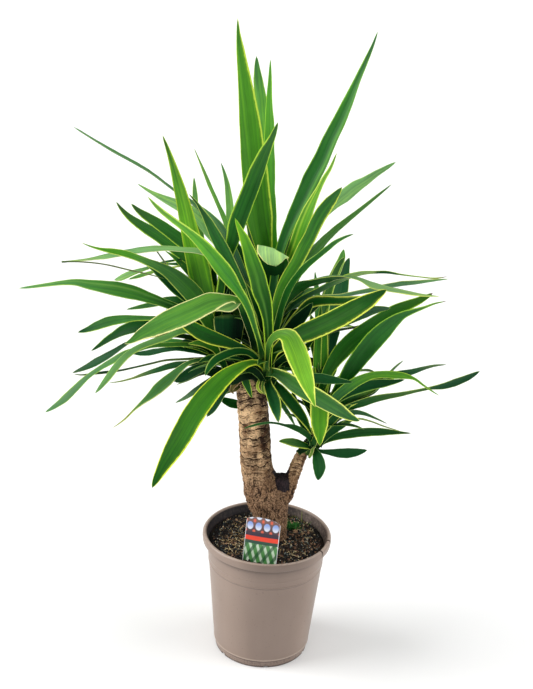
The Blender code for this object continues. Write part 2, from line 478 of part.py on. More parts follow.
    "leaf_c_right_big": ([(324, 416, 7), (334, 396, 9), (343, 381, 12), (353, 366.5, 17), (363, 353, 19), (374, 340, 19.5), (384, 330, 18), (394, 321, 13), (403, 315, 8), (412, 311.5, 5.5), (424, 307.5, 3), (435, 303.5, 2), (447, 301, 0)], (0.2, -4.0), 10, 1),
    "leaf_c_right_arch": ([(322, 426, 6), (328, 408, 8), (337, 396, 10), (348, 387, 11), (360, 379.5, 9.5), (372, 375, 7.5), (384, 374, 7.5), (396, 374.8, 8), (406, 376, 6), (414, 378.5, 3), (424, 385.5, 2.2), (432, 391, 1.6), (440, 396, 0)], (-0.4, -5.0), 35, 1),
    "leaf_c_right_long": ([(320, 436, 5), (328, 420, 6), (340, 411, 8), (352, 405.5, 7.5), (365, 401.5, 8), (380, 397.5, 7), (397, 394.5, 5), (415, 391, 3.5), (430, 388, 3.2), (442, 386, 6), (455, 382, 8), (468, 377, 6.5), (480, 371, 0)], (0.2, 2.0), 50, 1),
    "leaf_c_right_low": ([(315, 446, 5), (326, 440.5, 5), (336, 436.5, 7), (350, 433.5, 9), (366, 431.8, 9.5), (380, 431.5, 8.5), (392, 432, 5.5), (402, 432.7, 2.8), (411.5, 433.3, 0)], (0.6, 3.0), 40, 1),
    "leaf_c_right_foot": ([(314, 449, 4), (321, 451, 4), (329, 452, 6), (338, 452.8, 9.5), (348, 452.8, 10.5), (357, 452, 8), (363, 451, 4.5), (367.5, 450, 0)], (0.0, 1.0), 25, 1),
    "leaf_c_hanging": ([(314, 450, 5), (316.5, 454, 9), (318.5, 461, 12.5), (319.5, 468, 13), (319, 474, 9.5), (318, 480.5, 0)], (-0.6, -3.0), 10, 1),
    "leaf_c_left_foot": ([(312, 448, 4), (306, 446, 6), (299, 444, 8.5), (292, 442.5, 8.8), (285, 441.5, 6), (278.5, 441.3, 0)], (-0.8, -2.5), 20, 1),
    "leaf_c_left_thread": ([(312, 444, 4), (308, 436.5, 5.5), (301, 431, 6.5), (293, 427.5, 5.5), (285, 425.5, 2.8), (277, 423.5, 2.4), (270, 422.8, 2.4), (260, 424, 2.4), (252, 426, 2.2), (243.5, 428.5, 0)], (-0.8, -5.0), 45, 1),
    "leaf_c_front_bent": ([(317, 436, 7), (318.5, 420, 12), (319.5, 406, 17), (319.5, 399, 18.5), (319.5, 400, 19), (319.5, 407, 19), (319.5, 416, 19), (319.5, 425, 17.5), (319.6, 434, 12.5), (319.8, 440, 7), (320, 446, 0)], [-0.8, -1.0, -1.5, -2.3, -3.4, -4.2, -4.8, -5.3, -5.7, -6.0, -6.2], 0, -1),
}


def leaf_path(stations, depth, roll, face, count, base_shift=0.0, tip_shift=0.0, trim=0.0):
    """Points, cross directions, upper-side normals and half widths of a leaf."""
    a = np.array(stations, float)
    d = np.r_[0.0, np.cumsum(np.hypot(np.diff(a[:, 0]), np.diff(a[:, 1])))]
    s = d / d[-1]
    y = np.array(depth, float) if isinstance(depth, list) else depth[0] + (depth[1] - depth[0]) * DEPTH_SPREAD * s**1.2
    y = y + (base_shift + (tip_shift - base_shift) * s) * 100.0
    tau = roll[0] + (roll[1] - roll[0]) * s if isinstance(roll, tuple) else np.full(len(s), float(roll))
    pos = np.array([place(u, v, k / 100.0) for (u, v, w), k in zip(a, y)])
    arc = np.r_[0.0, np.cumsum(np.linalg.norm(np.diff(pos, axis=0), axis=1))]
    t = arc[-1] * (trim + (1.0 - trim) * np.linspace(0.0, 1.0, count))
    table = np.c_[pos, a[:, 2], tau]
    fine = np.empty((count, 5))
    k = np.clip(np.searchsorted(arc, t, side="right") - 1, 0, len(arc) - 2)
    h = arc[k + 1] - arc[k]
    x = (t - arc[k]) / h
    for c in range(5):
        col = table[:, c]
        if c >= 3:
            fine[:, c] = np.interp(t, arc, col)
            continue
        m = np.gradient(col, arc)
        fine[:, c] = (
            (2 * x**3 - 3 * x**2 + 1) * col[k]
            + (x**3 - 2 * x**2 + x) * h * m[k]
            + (-2 * x**3 + 3 * x**2) * col[k + 1]
            + (x**3 - x**2) * h * m[k + 1]
        )
    p = fine[:, :3]
    tan = np.gradient(p, axis=0)
    cross, normal, half = [], [], []
    last = None
    for i in range(count):
        t_i = unit(tan[i])
        look = unit(p[i] - VIEW_AT)
        s_i = np.cross(t_i, look)
        weight = min(1.0, np.linalg.norm(s_i) / 0.45) ** 2
        s_i = unit(s_i)
        if last is not None:
            if np.dot(s_i, last) < 0:
                s_i = -s_i
            carried = unit(last - t_i * np.dot(last, t_i))
            s_i = unit(s_i * weight + carried * (1.0 - weight))
        last = s_i
        ang = math.radians(fine[i, 4])
        n_i = np.cross(t_i, s_i)
        b_i = s_i * math.cos(ang) + n_i * math.sin(ang)
        n_i = np.cross(t_i, b_i) * face
        cross.append(b_i)
        normal.append(n_i)
        shown = max(abs(math.cos(ang)), 0.17)
        half.append(min(fine[i, 3] * 0.5 / shown, 17.0) * view_size(p[i]))
    return p, np.array(cross), np.array(normal), np.maximum(np.array(half), 0.0011)


def leaf_sheet(path):
    """The blade's middle surface: rows of three points, edges raised."""
    p, b, n, half = path
    rise = half[:, None] * math.sin(LEAF_FOLD)
    side = half[:, None] * math.cos(LEAF_FOLD)
    return np.stack([p - b * side + n * rise * 0.6, p - n * rise * 0.4, p + b * side + n * rise * 0.6], axis=1)


def slab(sheet, normal, thick):
    """Closed test body of a sheet: (points, quads)."""
    rows, cols, _ = sheet.shape
    up = sheet + normal[:, None, :] * (thick / 2)
    down = sheet - normal[:, None, :] * (thick / 2)
    pts = np.concatenate([up.reshape(-1, 3), down.reshape(-1, 3)])
    off = rows * cols
    quads = []
    for i in range(rows - 1):
        for j in range(cols - 1):
            q = [i * cols + j, (i + 1) * cols + j, (i + 1) * cols + j + 1, i * cols + j + 1]
            quads.append(q)
            quads.append([off + k for k in reversed(q)])
        for j in (0, cols - 1):
            a, b = i * cols + j, (i + 1) * cols + j
            quads.append([a, b, off + b, off + a])
    for i in (0, rows - 1):
        for j in range(cols - 1):
            a, b = i * cols + j, i * cols + j + 1
            quads.append([a, b, off + b, off + a])
    return pts, quads


def tree(pts, quads):
    return BVHTree.FromPolygons([Vector(q) for q in pts], quads)


def world_tree(obj):
    graph = bpy.context.evaluated_depsgraph_get()
    ev = obj.evaluated_get(graph)
    mesh = ev.to_mesh()
    pts = np.array([tuple(v.co) for v in mesh.vertices])
    faces = [list(q.vertices) for q in mesh.polygons]
    ev.to_mesh_clear()
    return tree(pts, faces), pts.min(0), pts.max(0)


def apart(a_low, a_high, b_low, b_high):
    return bool((a_low > b_high).any() or (b_low > a_high).any())


TRIES = []
for trim in (0.0, 0.05, 0.10, 0.15, 0.20, 0.26, 0.33, 0.40):
    for base in (0.0, 2.5, -2.5, 5.0, -5.0, 8.0, -8.0, 12.0, -12.0, 17.0, -17.0):
        for tip in (0.0, 8.0, -8.0, 18.0, -18.0, 30.0, -30.0):
            cost = abs(base) / 4.0 + abs(tip) / 12.0 + trim * 28.0
            TRIES.append((cost, trim, base / 1000.0, tip / 1000.0))
TRIES.sort()


def settle(table, blocks):
    """Shift each leaf in depth, and trim its hidden foot, until it is clear."""
    done = {}
    taken = list(blocks)
    for name, (stations, depth, roll, face) in table.items():
        choice = None
        for cost, trim, base, tip in TRIES:
            path = leaf_path(stations, depth, roll, face, LEAF_CELLS + 1, base, tip, trim)
            sheet = leaf_sheet(path)
            pts, quads = slab(sheet, path[2], LEAF_THICK + 2 * LEAF_MARGIN)
            low, high = pts.min(0), pts.max(0)
            mine = None
            clear = True
            for other, o_low, o_high in taken:
                if apart(low, high, o_low, o_high):
                    continue
                if mine is None:
                    mine = tree(pts, quads)
                if mine.overlap(other):
                    clear = False
                    break
            if clear:
                choice = (trim, base, tip)
                pts, quads = slab(sheet, path[2], LEAF_THICK)
                taken.append((tree(pts, quads), pts.min(0), pts.max(0)))
                break
        if choice is None:
            print("no clear place for", name)
            continue
        done[name] = choice
    return done


bpy.context.view_layer.update()
blocks = [world_tree(o) for o in (trunk, pot, tag)]
placed = settle(LEAVES, blocks)
for name, (trim, base, tip) in placed.items():
    print(name, "trim", trim, "base", round(base * 1000, 1), "tip", round(tip * 1000, 1))

GREENS = {
    "a": (0.10, 0.26, 0.05),
    "b": (0.07, 0.22, 0.05),
    "c": (0.06, 0.19, 0.05),
}
for name, (trim, base, tip) in placed.items():
    stations, depth, roll, face = LEAVES[name]
    path = leaf_path(stations, depth, roll, face, LEAF_CELLS + 1, base, tip, trim)
    sheet = leaf_sheet(path)
    bm = bmesh.new()
    bmesh.ops.create_grid(bm, x_segments=2, y_segments=LEAF_CELLS, size=1.0)
    for vert in bm.verts:
        j = int(round(vert.co.x + 1.0))
        i = int(round((vert.co.y + 1.0) / 2.0 * LEAF_CELLS))
        vert.co = Vector(sheet[i, j])
    obj = to_object(bm, name)
    skin = obj.modifiers.new("thickness", "SOLIDIFY")
    skin.thickness = LEAF_THICK
    skin.offset = 0.0
    obj.data.materials.append(material(name + "_green", GREENS[name[5]], 0.35))
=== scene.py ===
"""Looks of the potted yucca: living leaves, ringed cane, peat, pot and tag.

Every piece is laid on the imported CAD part, in metres, +Z up, -Y the front. The
leaves come from the same table of curves as the CAD blades, drawn here with a
fine cross-section, rippled edges, pale margins and veins.
"""

import math

import bmesh
import bpy
import numpy as np
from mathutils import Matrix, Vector


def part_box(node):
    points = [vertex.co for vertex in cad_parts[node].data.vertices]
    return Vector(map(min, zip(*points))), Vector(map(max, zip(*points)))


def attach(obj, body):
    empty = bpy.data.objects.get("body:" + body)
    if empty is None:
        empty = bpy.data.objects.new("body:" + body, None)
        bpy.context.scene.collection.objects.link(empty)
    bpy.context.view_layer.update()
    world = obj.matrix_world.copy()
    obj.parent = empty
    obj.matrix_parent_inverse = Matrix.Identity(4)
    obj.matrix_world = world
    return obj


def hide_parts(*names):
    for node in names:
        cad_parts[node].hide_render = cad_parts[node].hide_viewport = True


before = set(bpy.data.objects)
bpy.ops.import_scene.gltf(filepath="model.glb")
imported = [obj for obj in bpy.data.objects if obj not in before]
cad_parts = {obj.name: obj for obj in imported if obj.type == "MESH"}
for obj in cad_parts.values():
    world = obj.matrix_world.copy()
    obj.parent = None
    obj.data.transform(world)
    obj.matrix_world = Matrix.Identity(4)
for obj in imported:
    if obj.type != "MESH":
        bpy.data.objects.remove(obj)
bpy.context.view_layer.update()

# ---------------------------------------------------------------- constants
VIEW_AT = np.array([-0.0159, -1.553, 1.092])
VIEW_PITCH = math.radians(21.3)
VIEW_ROLL = math.radians(3.14)
VIEW_SCALE = 1200.0
VIEW_CENTRE = (266.5, 344.5)
DEPTH_SPREAD = 1.4
LEAF_THICK = 0.0015
LEAF_FOLD = math.radians(11.0)
LEAF_CELLS = 9

POT_HEIGHT = 0.1905
POT_RIM_R = 0.095
POT_WALL_TOP_R = 0.0876
POT_WALL_LOW_R = 0.0718
POT_WALL = 0.0020
POT_LIP_DROP = 0.0120
POT_FLOOR_Z = 0.0095
POT_FLOOR = 0.0025
POT_FOOT_H = 0.0115
POT_RING_Z = 0.1446
SOIL_TOP = 0.1790
SOIL_GAP = 0.0006


def view_axes():
    ahead = np.array([0.0, math.cos(VIEW_PITCH), -math.sin(VIEW_PITCH)])
    right = np.array([1.0, 0.0, 0.0])
    up = np.cross(right, ahead)
    c, s = math.cos(VIEW_ROLL), math.sin(VIEW_ROLL)
    return ahead, right * c + up * s, up * c - right * s


AHEAD, VIEW_X, VIEW_Y = view_axes()


def place(u, v, y):
    """The point seen at (u, v) whose world Y is y metres."""
    ray = (
        AHEAD
        + VIEW_X * ((u - VIEW_CENTRE[0]) / VIEW_SCALE)
        - VIEW_Y * ((v - VIEW_CENTRE[1]) / VIEW_SCALE)
    )
    return VIEW_AT + ray * ((y - VIEW_AT[1]) / ray[1])


def view_size(point):
    """Metres per view unit at a point."""
    return float(np.dot(point - VIEW_AT, AHEAD)) / VIEW_SCALE


def unit(a):
    n = np.linalg.norm(a)
    return a / n if n > 1e-12 else a


def units(a):
    return a / np.maximum(np.linalg.norm(a, axis=-1, keepdims=True), 1e-12)


def srgb(r, g, b):
    """Linear colour of an 8-bit display colour."""
    c = np.array([r, g, b], float) / 255.0
    return np.where(c <= 0.04045, c / 12.92, ((c + 0.055) / 1.055) ** 2.4)


def smooth(x, low, high):
    t = np.clip((x - low) / (high - low), 0.0, 1.0)
    return t * t * (3.0 - 2.0 * t)


# ------------------------------------------------------------------- noise
def _hash(ix, iy, iz, seed):
    h = (ix * 374761393 + iy * 668265263 + iz * 1274126177 + seed * 974634777) & 0xFFFFFFFF
    h = ((h ^ (h >> 13)) * 1103515245) & 0xFFFFFFFF
    h = ((h ^ (h >> 15)) * 668265263) & 0xFFFFFFFF
    return ((h ^ (h >> 16)) & 0xFFFFFF) / float(0xFFFFFF) * 2.0 - 1.0


def noise(p, scale, seed=0):
    """Smooth value noise in -1..1 at the rows of p."""
    q = np.asarray(p, float) * scale
    i = np.floor(q).astype(np.int64)
    f = q - i
    f = f * f * f * (f * (f * 6 - 15) + 10)
    out = 0.0
    for dx in (0, 1):
        wx = f[..., 0] if dx else 1 - f[..., 0]
        for dy in (0, 1):
            wy = f[..., 1] if dy else 1 - f[..., 1]
            for dz in (0, 1):
                wz = f[..., 2] if dz else 1 - f[..., 2]
                out = out + wx * wy * wz * _hash(i[..., 0] + dx, i[..., 1] + dy, i[..., 2] + dz, seed)
    return out


def fractal(p, scale, octaves, seed=0, gain=0.5):
    total, amp = 0.0, 1.0
    for k in range(octaves):
        total = total + amp * noise(p, scale * 2.03**k, seed + 17 * k)
        amp *= gain
    return total


# ------------------------------------------------------------- mesh helpers
made = bpy.data.collections.new("looks")
bpy.context.scene.collection.children.link(made)


def mesh_object(name, pts, faces, smooth_shade=True, **attributes):
    """A mesh object with point attributes: 3 columns a vector, 4 a colour."""
    me = bpy.data.meshes.new(name)
    me.from_pydata([tuple(map(float, q)) for q in pts], [], faces)
    me.update()
    if smooth_shade:
        me.shade_smooth()
    for key, values in attributes.items():
        values = np.asarray(values, np.float32)
        kind = "FLOAT_VECTOR" if values.shape[1] == 3 else "FLOAT_COLOR"
        layer = me.attributes.new(key, kind, "POINT")
        layer.data.foreach_set("vector" if kind == "FLOAT_VECTOR" else "color", values.ravel())
    obj = bpy.data.objects.new(name, me)
    made.objects.link(obj)
    return obj


def take(obj, nodes=()):
    """The piece rides the object and stands for the CAD nodes named."""
    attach(obj, "root")
    if nodes:
        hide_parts(*nodes)
    return obj


def evaluated(obj):
    """Vertices, vertex normals and faces of an object with its modifiers."""
    graph = bpy.context.evaluated_depsgraph_get()
    ev = obj.evaluated_get(graph)
    me = ev.to_mesh()
    n = len(me.vertices)
    pts = np.empty(n * 3)
    me.vertices.foreach_get("co", pts)
    nor = np.empty(n * 3)
    me.vertices.foreach_get("normal", nor)
    faces = [list(q.vertices) for q in me.polygons]
    ev.to_mesh_clear()
    return pts.reshape(-1, 3), nor.reshape(-1, 3), faces


# --------------------------------------------------------- material helpers
class Look:
    """One procedural material, built node by node."""

    def __init__(self, name):
        self.material = bpy.data.materials.new(name)
        self.material.use_nodes = True
        self.tree = self.material.node_tree
        self.tree.nodes.clear()
        self.out = self.tree.nodes.new("ShaderNodeOutputMaterial")
        self.skin = self.tree.nodes.new("ShaderNodeBsdfPrincipled")
        self.tree.links.new(self.skin.outputs[0], self.out.inputs[0])

    def feed(self, socket, value):
        if isinstance(value, bpy.types.NodeSocket):
            self.tree.links.new(value, socket)
        elif isinstance(value, (tuple, list, np.ndarray)):
            value = [float(c) for c in value]
            if len(value) == 3 and len(socket.default_value) == 4:
                value.append(1.0)
            socket.default_value = value
        else:
            socket.default_value = value

    def surface(self, **values):
        for key, value in values.items():
            self.feed(self.skin.inputs[key.replace("_", " ")], value)

    def node(self, kind, **props):
        n = self.tree.nodes.new(kind)
        for key, value in props.items():
            setattr(n, key, value)
        return n

    def attribute(self, name, colour=False):
        n = self.node("ShaderNodeAttribute", attribute_type="GEOMETRY", attribute_name=name)
        return n.outputs["Color" if colour else "Vector"]

    def where(self):
        return self.node("ShaderNodeTexCoord").outputs["Object"]

    def split(self, vector):
        n = self.node("ShaderNodeSeparateXYZ")
        self.feed(n.inputs[0], vector)
        return n.outputs[0], n.outputs[1], n.outputs[2]

    def join(self, x, y, z):
        n = self.node("ShaderNodeCombineXYZ")
        for socket, value in zip(n.inputs, (x, y, z)):
            self.feed(socket, value)
        return n.outputs[0]

    def maths(self, op, a, b=0.0, clamp=False):
        n = self.node("ShaderNodeMath", operation=op, use_clamp=clamp)
        self.feed(n.inputs[0], a)
        self.feed(n.inputs[1], b)
        return n.outputs[0]

    def vector(self, op, a, b=(0.0, 0.0, 0.0)):
        n = self.node("ShaderNodeVectorMath", operation=op)
        self.feed(n.inputs[0], a)
        if op == "SCALE":
            self.feed(n.inputs["Scale"], b)
        else:
            self.feed(n.inputs[1], b)
        return n.outputs[0]

    def noise(self, at, scale, detail=2.0, rough=0.5, warp=0.0):
        n = self.node("ShaderNodeTexNoise", noise_dimensions="3D")
        self.feed(n.inputs["Vector"], at)
        self.feed(n.inputs["Scale"], scale)
        self.feed(n.inputs["Detail"], detail)
        self.feed(n.inputs["Roughness"], rough)
        self.feed(n.inputs["Distortion"], warp)
        return n.outputs[0]

    def cells(self, at, scale, feature="F1"):
        n = self.node("ShaderNodeTexVoronoi", feature=feature)
        self.feed(n.inputs["Vector"], at)
        self.feed(n.inputs["Scale"], scale)
        return n.outputs[0]

    def ease(self, value, low, high, to_low=0.0, to_high=1.0):
        n = self.node("ShaderNodeMapRange", interpolation_type="SMOOTHSTEP", clamp=True)
        for k, v in enumerate((value, low, high, to_low, to_high)):
            self.feed(n.inputs[k], v)
        return n.outputs[0]

    def mix(self, amount, a, b, kind="MIX"):
        n = self.node("ShaderNodeMix", data_type="RGBA", blend_type=kind, clamp_factor=True)
        self.feed(n.inputs[0], amount)
        self.feed(n.inputs[6], a)
        self.feed(n.inputs[7], b)
        return n.outputs[2]

    def bump(self, height, strength, distance):
        n = self.node("ShaderNodeBump")
        self.feed(n.inputs["Height"], height)
        self.feed(n.inputs["Strength"], strength)
        self.feed(n.inputs["Distance"], distance)
        return n.outputs[0]


# ------------------------------------------------------------ leaf material
def leaf_material():
    m = Look("yucca_leaf")
    x, y, under = m.split(m.attribute("leaf_at"))
    left, right, dry = m.split(m.attribute("leaf_edge"))
    hue = m.attribute("leaf_hue", colour=True)
    rim = m.attribute("leaf_rim", colour=True)
    across = m.join(x, m.maths("MULTIPLY", y, 0.016), 0.0)
    fine = m.noise(across, 1.25, 1.5, 0.6)
    bands = m.noise(m.join(x, m.maths("MULTIPLY", y, 0.008), 3.7), 0.30, 2.0, 0.55)
    patch = m.noise(m.join(m.maths("MULTIPLY", x, 0.6), m.maths("MULTIPLY", y, 0.35), 9.1), 0.075, 3.0, 0.55)
    tone = m.maths("ADD", m.maths("MULTIPLY", fine, 0.66), m.maths("MULTIPLY", bands, 1.02))
    tone = m.maths("ADD", tone, m.maths("MULTIPLY", patch, 0.50))
    tone = m.maths("SUBTRACT", tone, 0.09)
    lit = m.ease(m.split(hue)[1], 0.03, 0.16)
    gain = m.mix(lit, (0.34, 0.86, 0.50), (0.66, 0.81, 0.50))
    body = m.vector("SCALE", m.vector("MULTIPLY", hue, gain), tone)
    warm = m.vector("MULTIPLY", body, (1.45, 1.12, 0.62))
    body = m.mix(m.maths("MULTIPLY", m.ease(bands, 0.46, 0.66, 0.0, 0.55), m.maths("ADD", m.maths("MULTIPLY", lit, 0.7), 0.3)), body, warm)
    near = m.maths("MINIMUM", left, right)
    ragged = m.noise(m.join(m.maths("MULTIPLY", x, 0.05), y, 1.3), 0.16, 2.0, 0.6)
    near = m.maths("ADD", near, m.maths("MULTIPLY", m.maths("SUBTRACT", ragged, 0.5), 0.9))
    halo = m.ease(near, 1.0, 2.6, 0.30, 0.0)
    body = m.mix(halo, body, m.mix(0.35, body, rim))
    edge = m.ease(near, 0.80, 1.12, 1.0, 0.0)
    rim_tone = m.vector("SCALE", rim, m.maths("ADD", m.maths("MULTIPLY", fine, 0.34), 0.87))
    body = m.mix(edge, body, rim_tone)
    speck = m.noise(m.join(x, y, 5.5), 0.9, 2.0, 0.7)
    scorch = m.ease(m.maths("ADD", dry, m.maths("MULTIPLY", m.maths("SUBTRACT", speck, 0.5), 0.6)), 0.45, 0.75)
    body = m.mix(scorch, body, srgb(96, 78, 48))
    gloss = m.maths("ADD", m.maths("MULTIPLY", fine, 0.10), m.maths("MULTIPLY", patch, 0.12))
    gloss = m.maths("ADD", gloss, m.maths("MULTIPLY", under, 0.14))
    gloss = m.maths("ADD", gloss, m.maths("MULTIPLY", scorch, 0.2))
    gloss = m.maths("ADD", gloss, 0.33)
    height = m.maths("ADD", m.maths("MULTIPLY", fine, 0.6), m.maths("MULTIPLY", bands, 1.0))
    m.surface(
        Base_Color=body,
        Roughness=gloss,
        IOR=1.42,
        Specular_IOR_Level=m.maths("ADD", m.maths("MULTIPLY", lit, 0.17), 0.07),
        Normal=m.bump(height, 0.45, 0.0006),
    )
    return m.material


LEAF_LOOK = leaf_material()


# ------------------------------------------------------------- leaf geometry
def leaf_path(stations, depth, roll, face, count, base_shift=0.0, tip_shift=0.0, trim=0.0, least=0.0011, point=1.0):
    """Points, cross directions, upper-side normals and half widths of a leaf."""
    a = np.array(stations, float)
    d = np.r_[0.0, np.cumsum(np.hypot(np.diff(a[:, 0]), np.diff(a[:, 1])))]
    s = d / d[-1]
    if isinstance(depth, list):
        y = np.array(depth, float)
    else:
        y = depth[0] + (depth[1] - depth[0]) * DEPTH_SPREAD * s**1.2
    y = y + (base_shift + (tip_shift - base_shift) * s) * 100.0
    tau = roll[0] + (roll[1] - roll[0]) * s if isinstance(roll, tuple) else np.full(len(s), float(roll))
    pos = np.array([place(u, v, k / 100.0) for (u, v, w), k in zip(a, y)])
    arc = np.r_[0.0, np.cumsum(np.linalg.norm(np.diff(pos, axis=0), axis=1))]
    t = arc[-1] * (trim + (1.0 - trim) * np.linspace(0.0, 1.0, count))
    table = np.c_[pos, a[:, 2], tau]
    fine = np.empty((count, 5))
    k = np.clip(np.searchsorted(arc, t, side="right") - 1, 0, len(arc) - 2)
    h = arc[k + 1] - arc[k]
    x = (t - arc[k]) / h
    for c in range(5):
        col = table[:, c]
        if c >= 3:
            fine[:, c] = np.interp(t, arc, col)
            if c == 3 and point < 1.0:
                share = np.clip((arc[-1] - t) / (arc[-1] - arc[-2]), 0.0, 1.0)
                fine[:, c] = np.where(t > arc[-2], col[-2] * share**point, fine[:, c])
            continue
        m = np.gradient(col, arc)
        fine[:, c] = (
            (2 * x**3 - 3 * x**2 + 1) * col[k]
            + (x**3 - 2 * x**2 + x) * h * m[k]
            + (-2 * x**3 + 3 * x**2) * col[k + 1]
            + (x**3 - x**2) * h * m[k + 1]
        )
    p = fine[:, :3]
    tan = np.gradient(p, axis=0)
    cross, normal, half = [], [], []
    last = None
    for i in range(count):
        t_i = unit(tan[i])
        look = unit(p[i] - VIEW_AT)
        s_i = np.cross(t_i, look)
        weight = min(1.0, np.linalg.norm(s_i) / 0.45) ** 2
        s_i = unit(s_i)
        if last is not None:
            if np.dot(s_i, last) < 0:
                s_i = -s_i
            carried = unit(last - t_i * np.dot(last, t_i))
            s_i = unit(s_i * weight + carried * (1.0 - weight))
        last = s_i
        ang = math.radians(fine[i, 4])
        n_i = np.cross(t_i, s_i)
        b_i = s_i * math.cos(ang) + n_i * math.sin(ang)
        n_i = np.cross(t_i, b_i) * face
        cross.append(b_i)
        normal.append(n_i)
        shown = max(abs(math.cos(ang)), 0.17)
        half.append(min(fine[i, 3] * 0.5 / shown, 17.0) * view_size(p[i]))
    return p, np.array(cross), np.array(normal), np.maximum(np.array(half), least)


def coarse_box(path):
    """Box of the CAD blade that this path gives."""
    p, b, n, half = path
    rise = half[:, None] * math.sin(LEAF_FOLD)
    side = half[:, None] * math.cos(LEAF_FOLD)
    sheet = np.stack([p - b * side + n * rise * 0.6, p - n * rise * 0.4, p + b * side + n * rise * 0.6], axis=1)
    both = np.concatenate([sheet + n[:, None] * LEAF_THICK / 2, sheet - n[:, None] * LEAF_THICK / 2])
    return both.reshape(-1, 3).min(0), both.reshape(-1, 3).max(0)


TRIES = []
for trim in (0.0, 0.05, 0.10, 0.15, 0.20, 0.26, 0.33, 0.40):
    for base in (0.0, 2.5, -2.5, 5.0, -5.0, 8.0, -8.0, 12.0, -12.0, 17.0, -17.0):
        for tip in (0.0, 8.0, -8.0, 18.0, -18.0, 30.0, -30.0):
            TRIES.append((abs(base) / 4.0 + abs(tip) / 12.0 + trim * 28.0, trim, base / 1000.0, tip / 1000.0))
TRIES.sort()


def packed_shift(name, stations, depth, roll, face):
    """Which of the CAD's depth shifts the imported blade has, from its box."""
    low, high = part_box(name)
    low, high = np.array(low), np.array(high)
    best = (1e9, 0.0, 0.0, 0.0)
    for cost, trim, base, tip in TRIES:
        lo, hi = coarse_box(leaf_path(stations, depth, roll, face, LEAF_CELLS + 1, base, tip, trim))
        miss = max(np.abs(lo - low).max(), np.abs(hi - high).max())
        if miss < best[0]:
            best = (miss, trim, base, tip)
        if miss < 0.0006:
            break
    return best


COLS = np.array([-1.0, -0.93, -0.80, -0.60, -0.38, -0.17, 0.0, 0.17, 0.38, 0.60, 0.80, 0.93, 1.0])


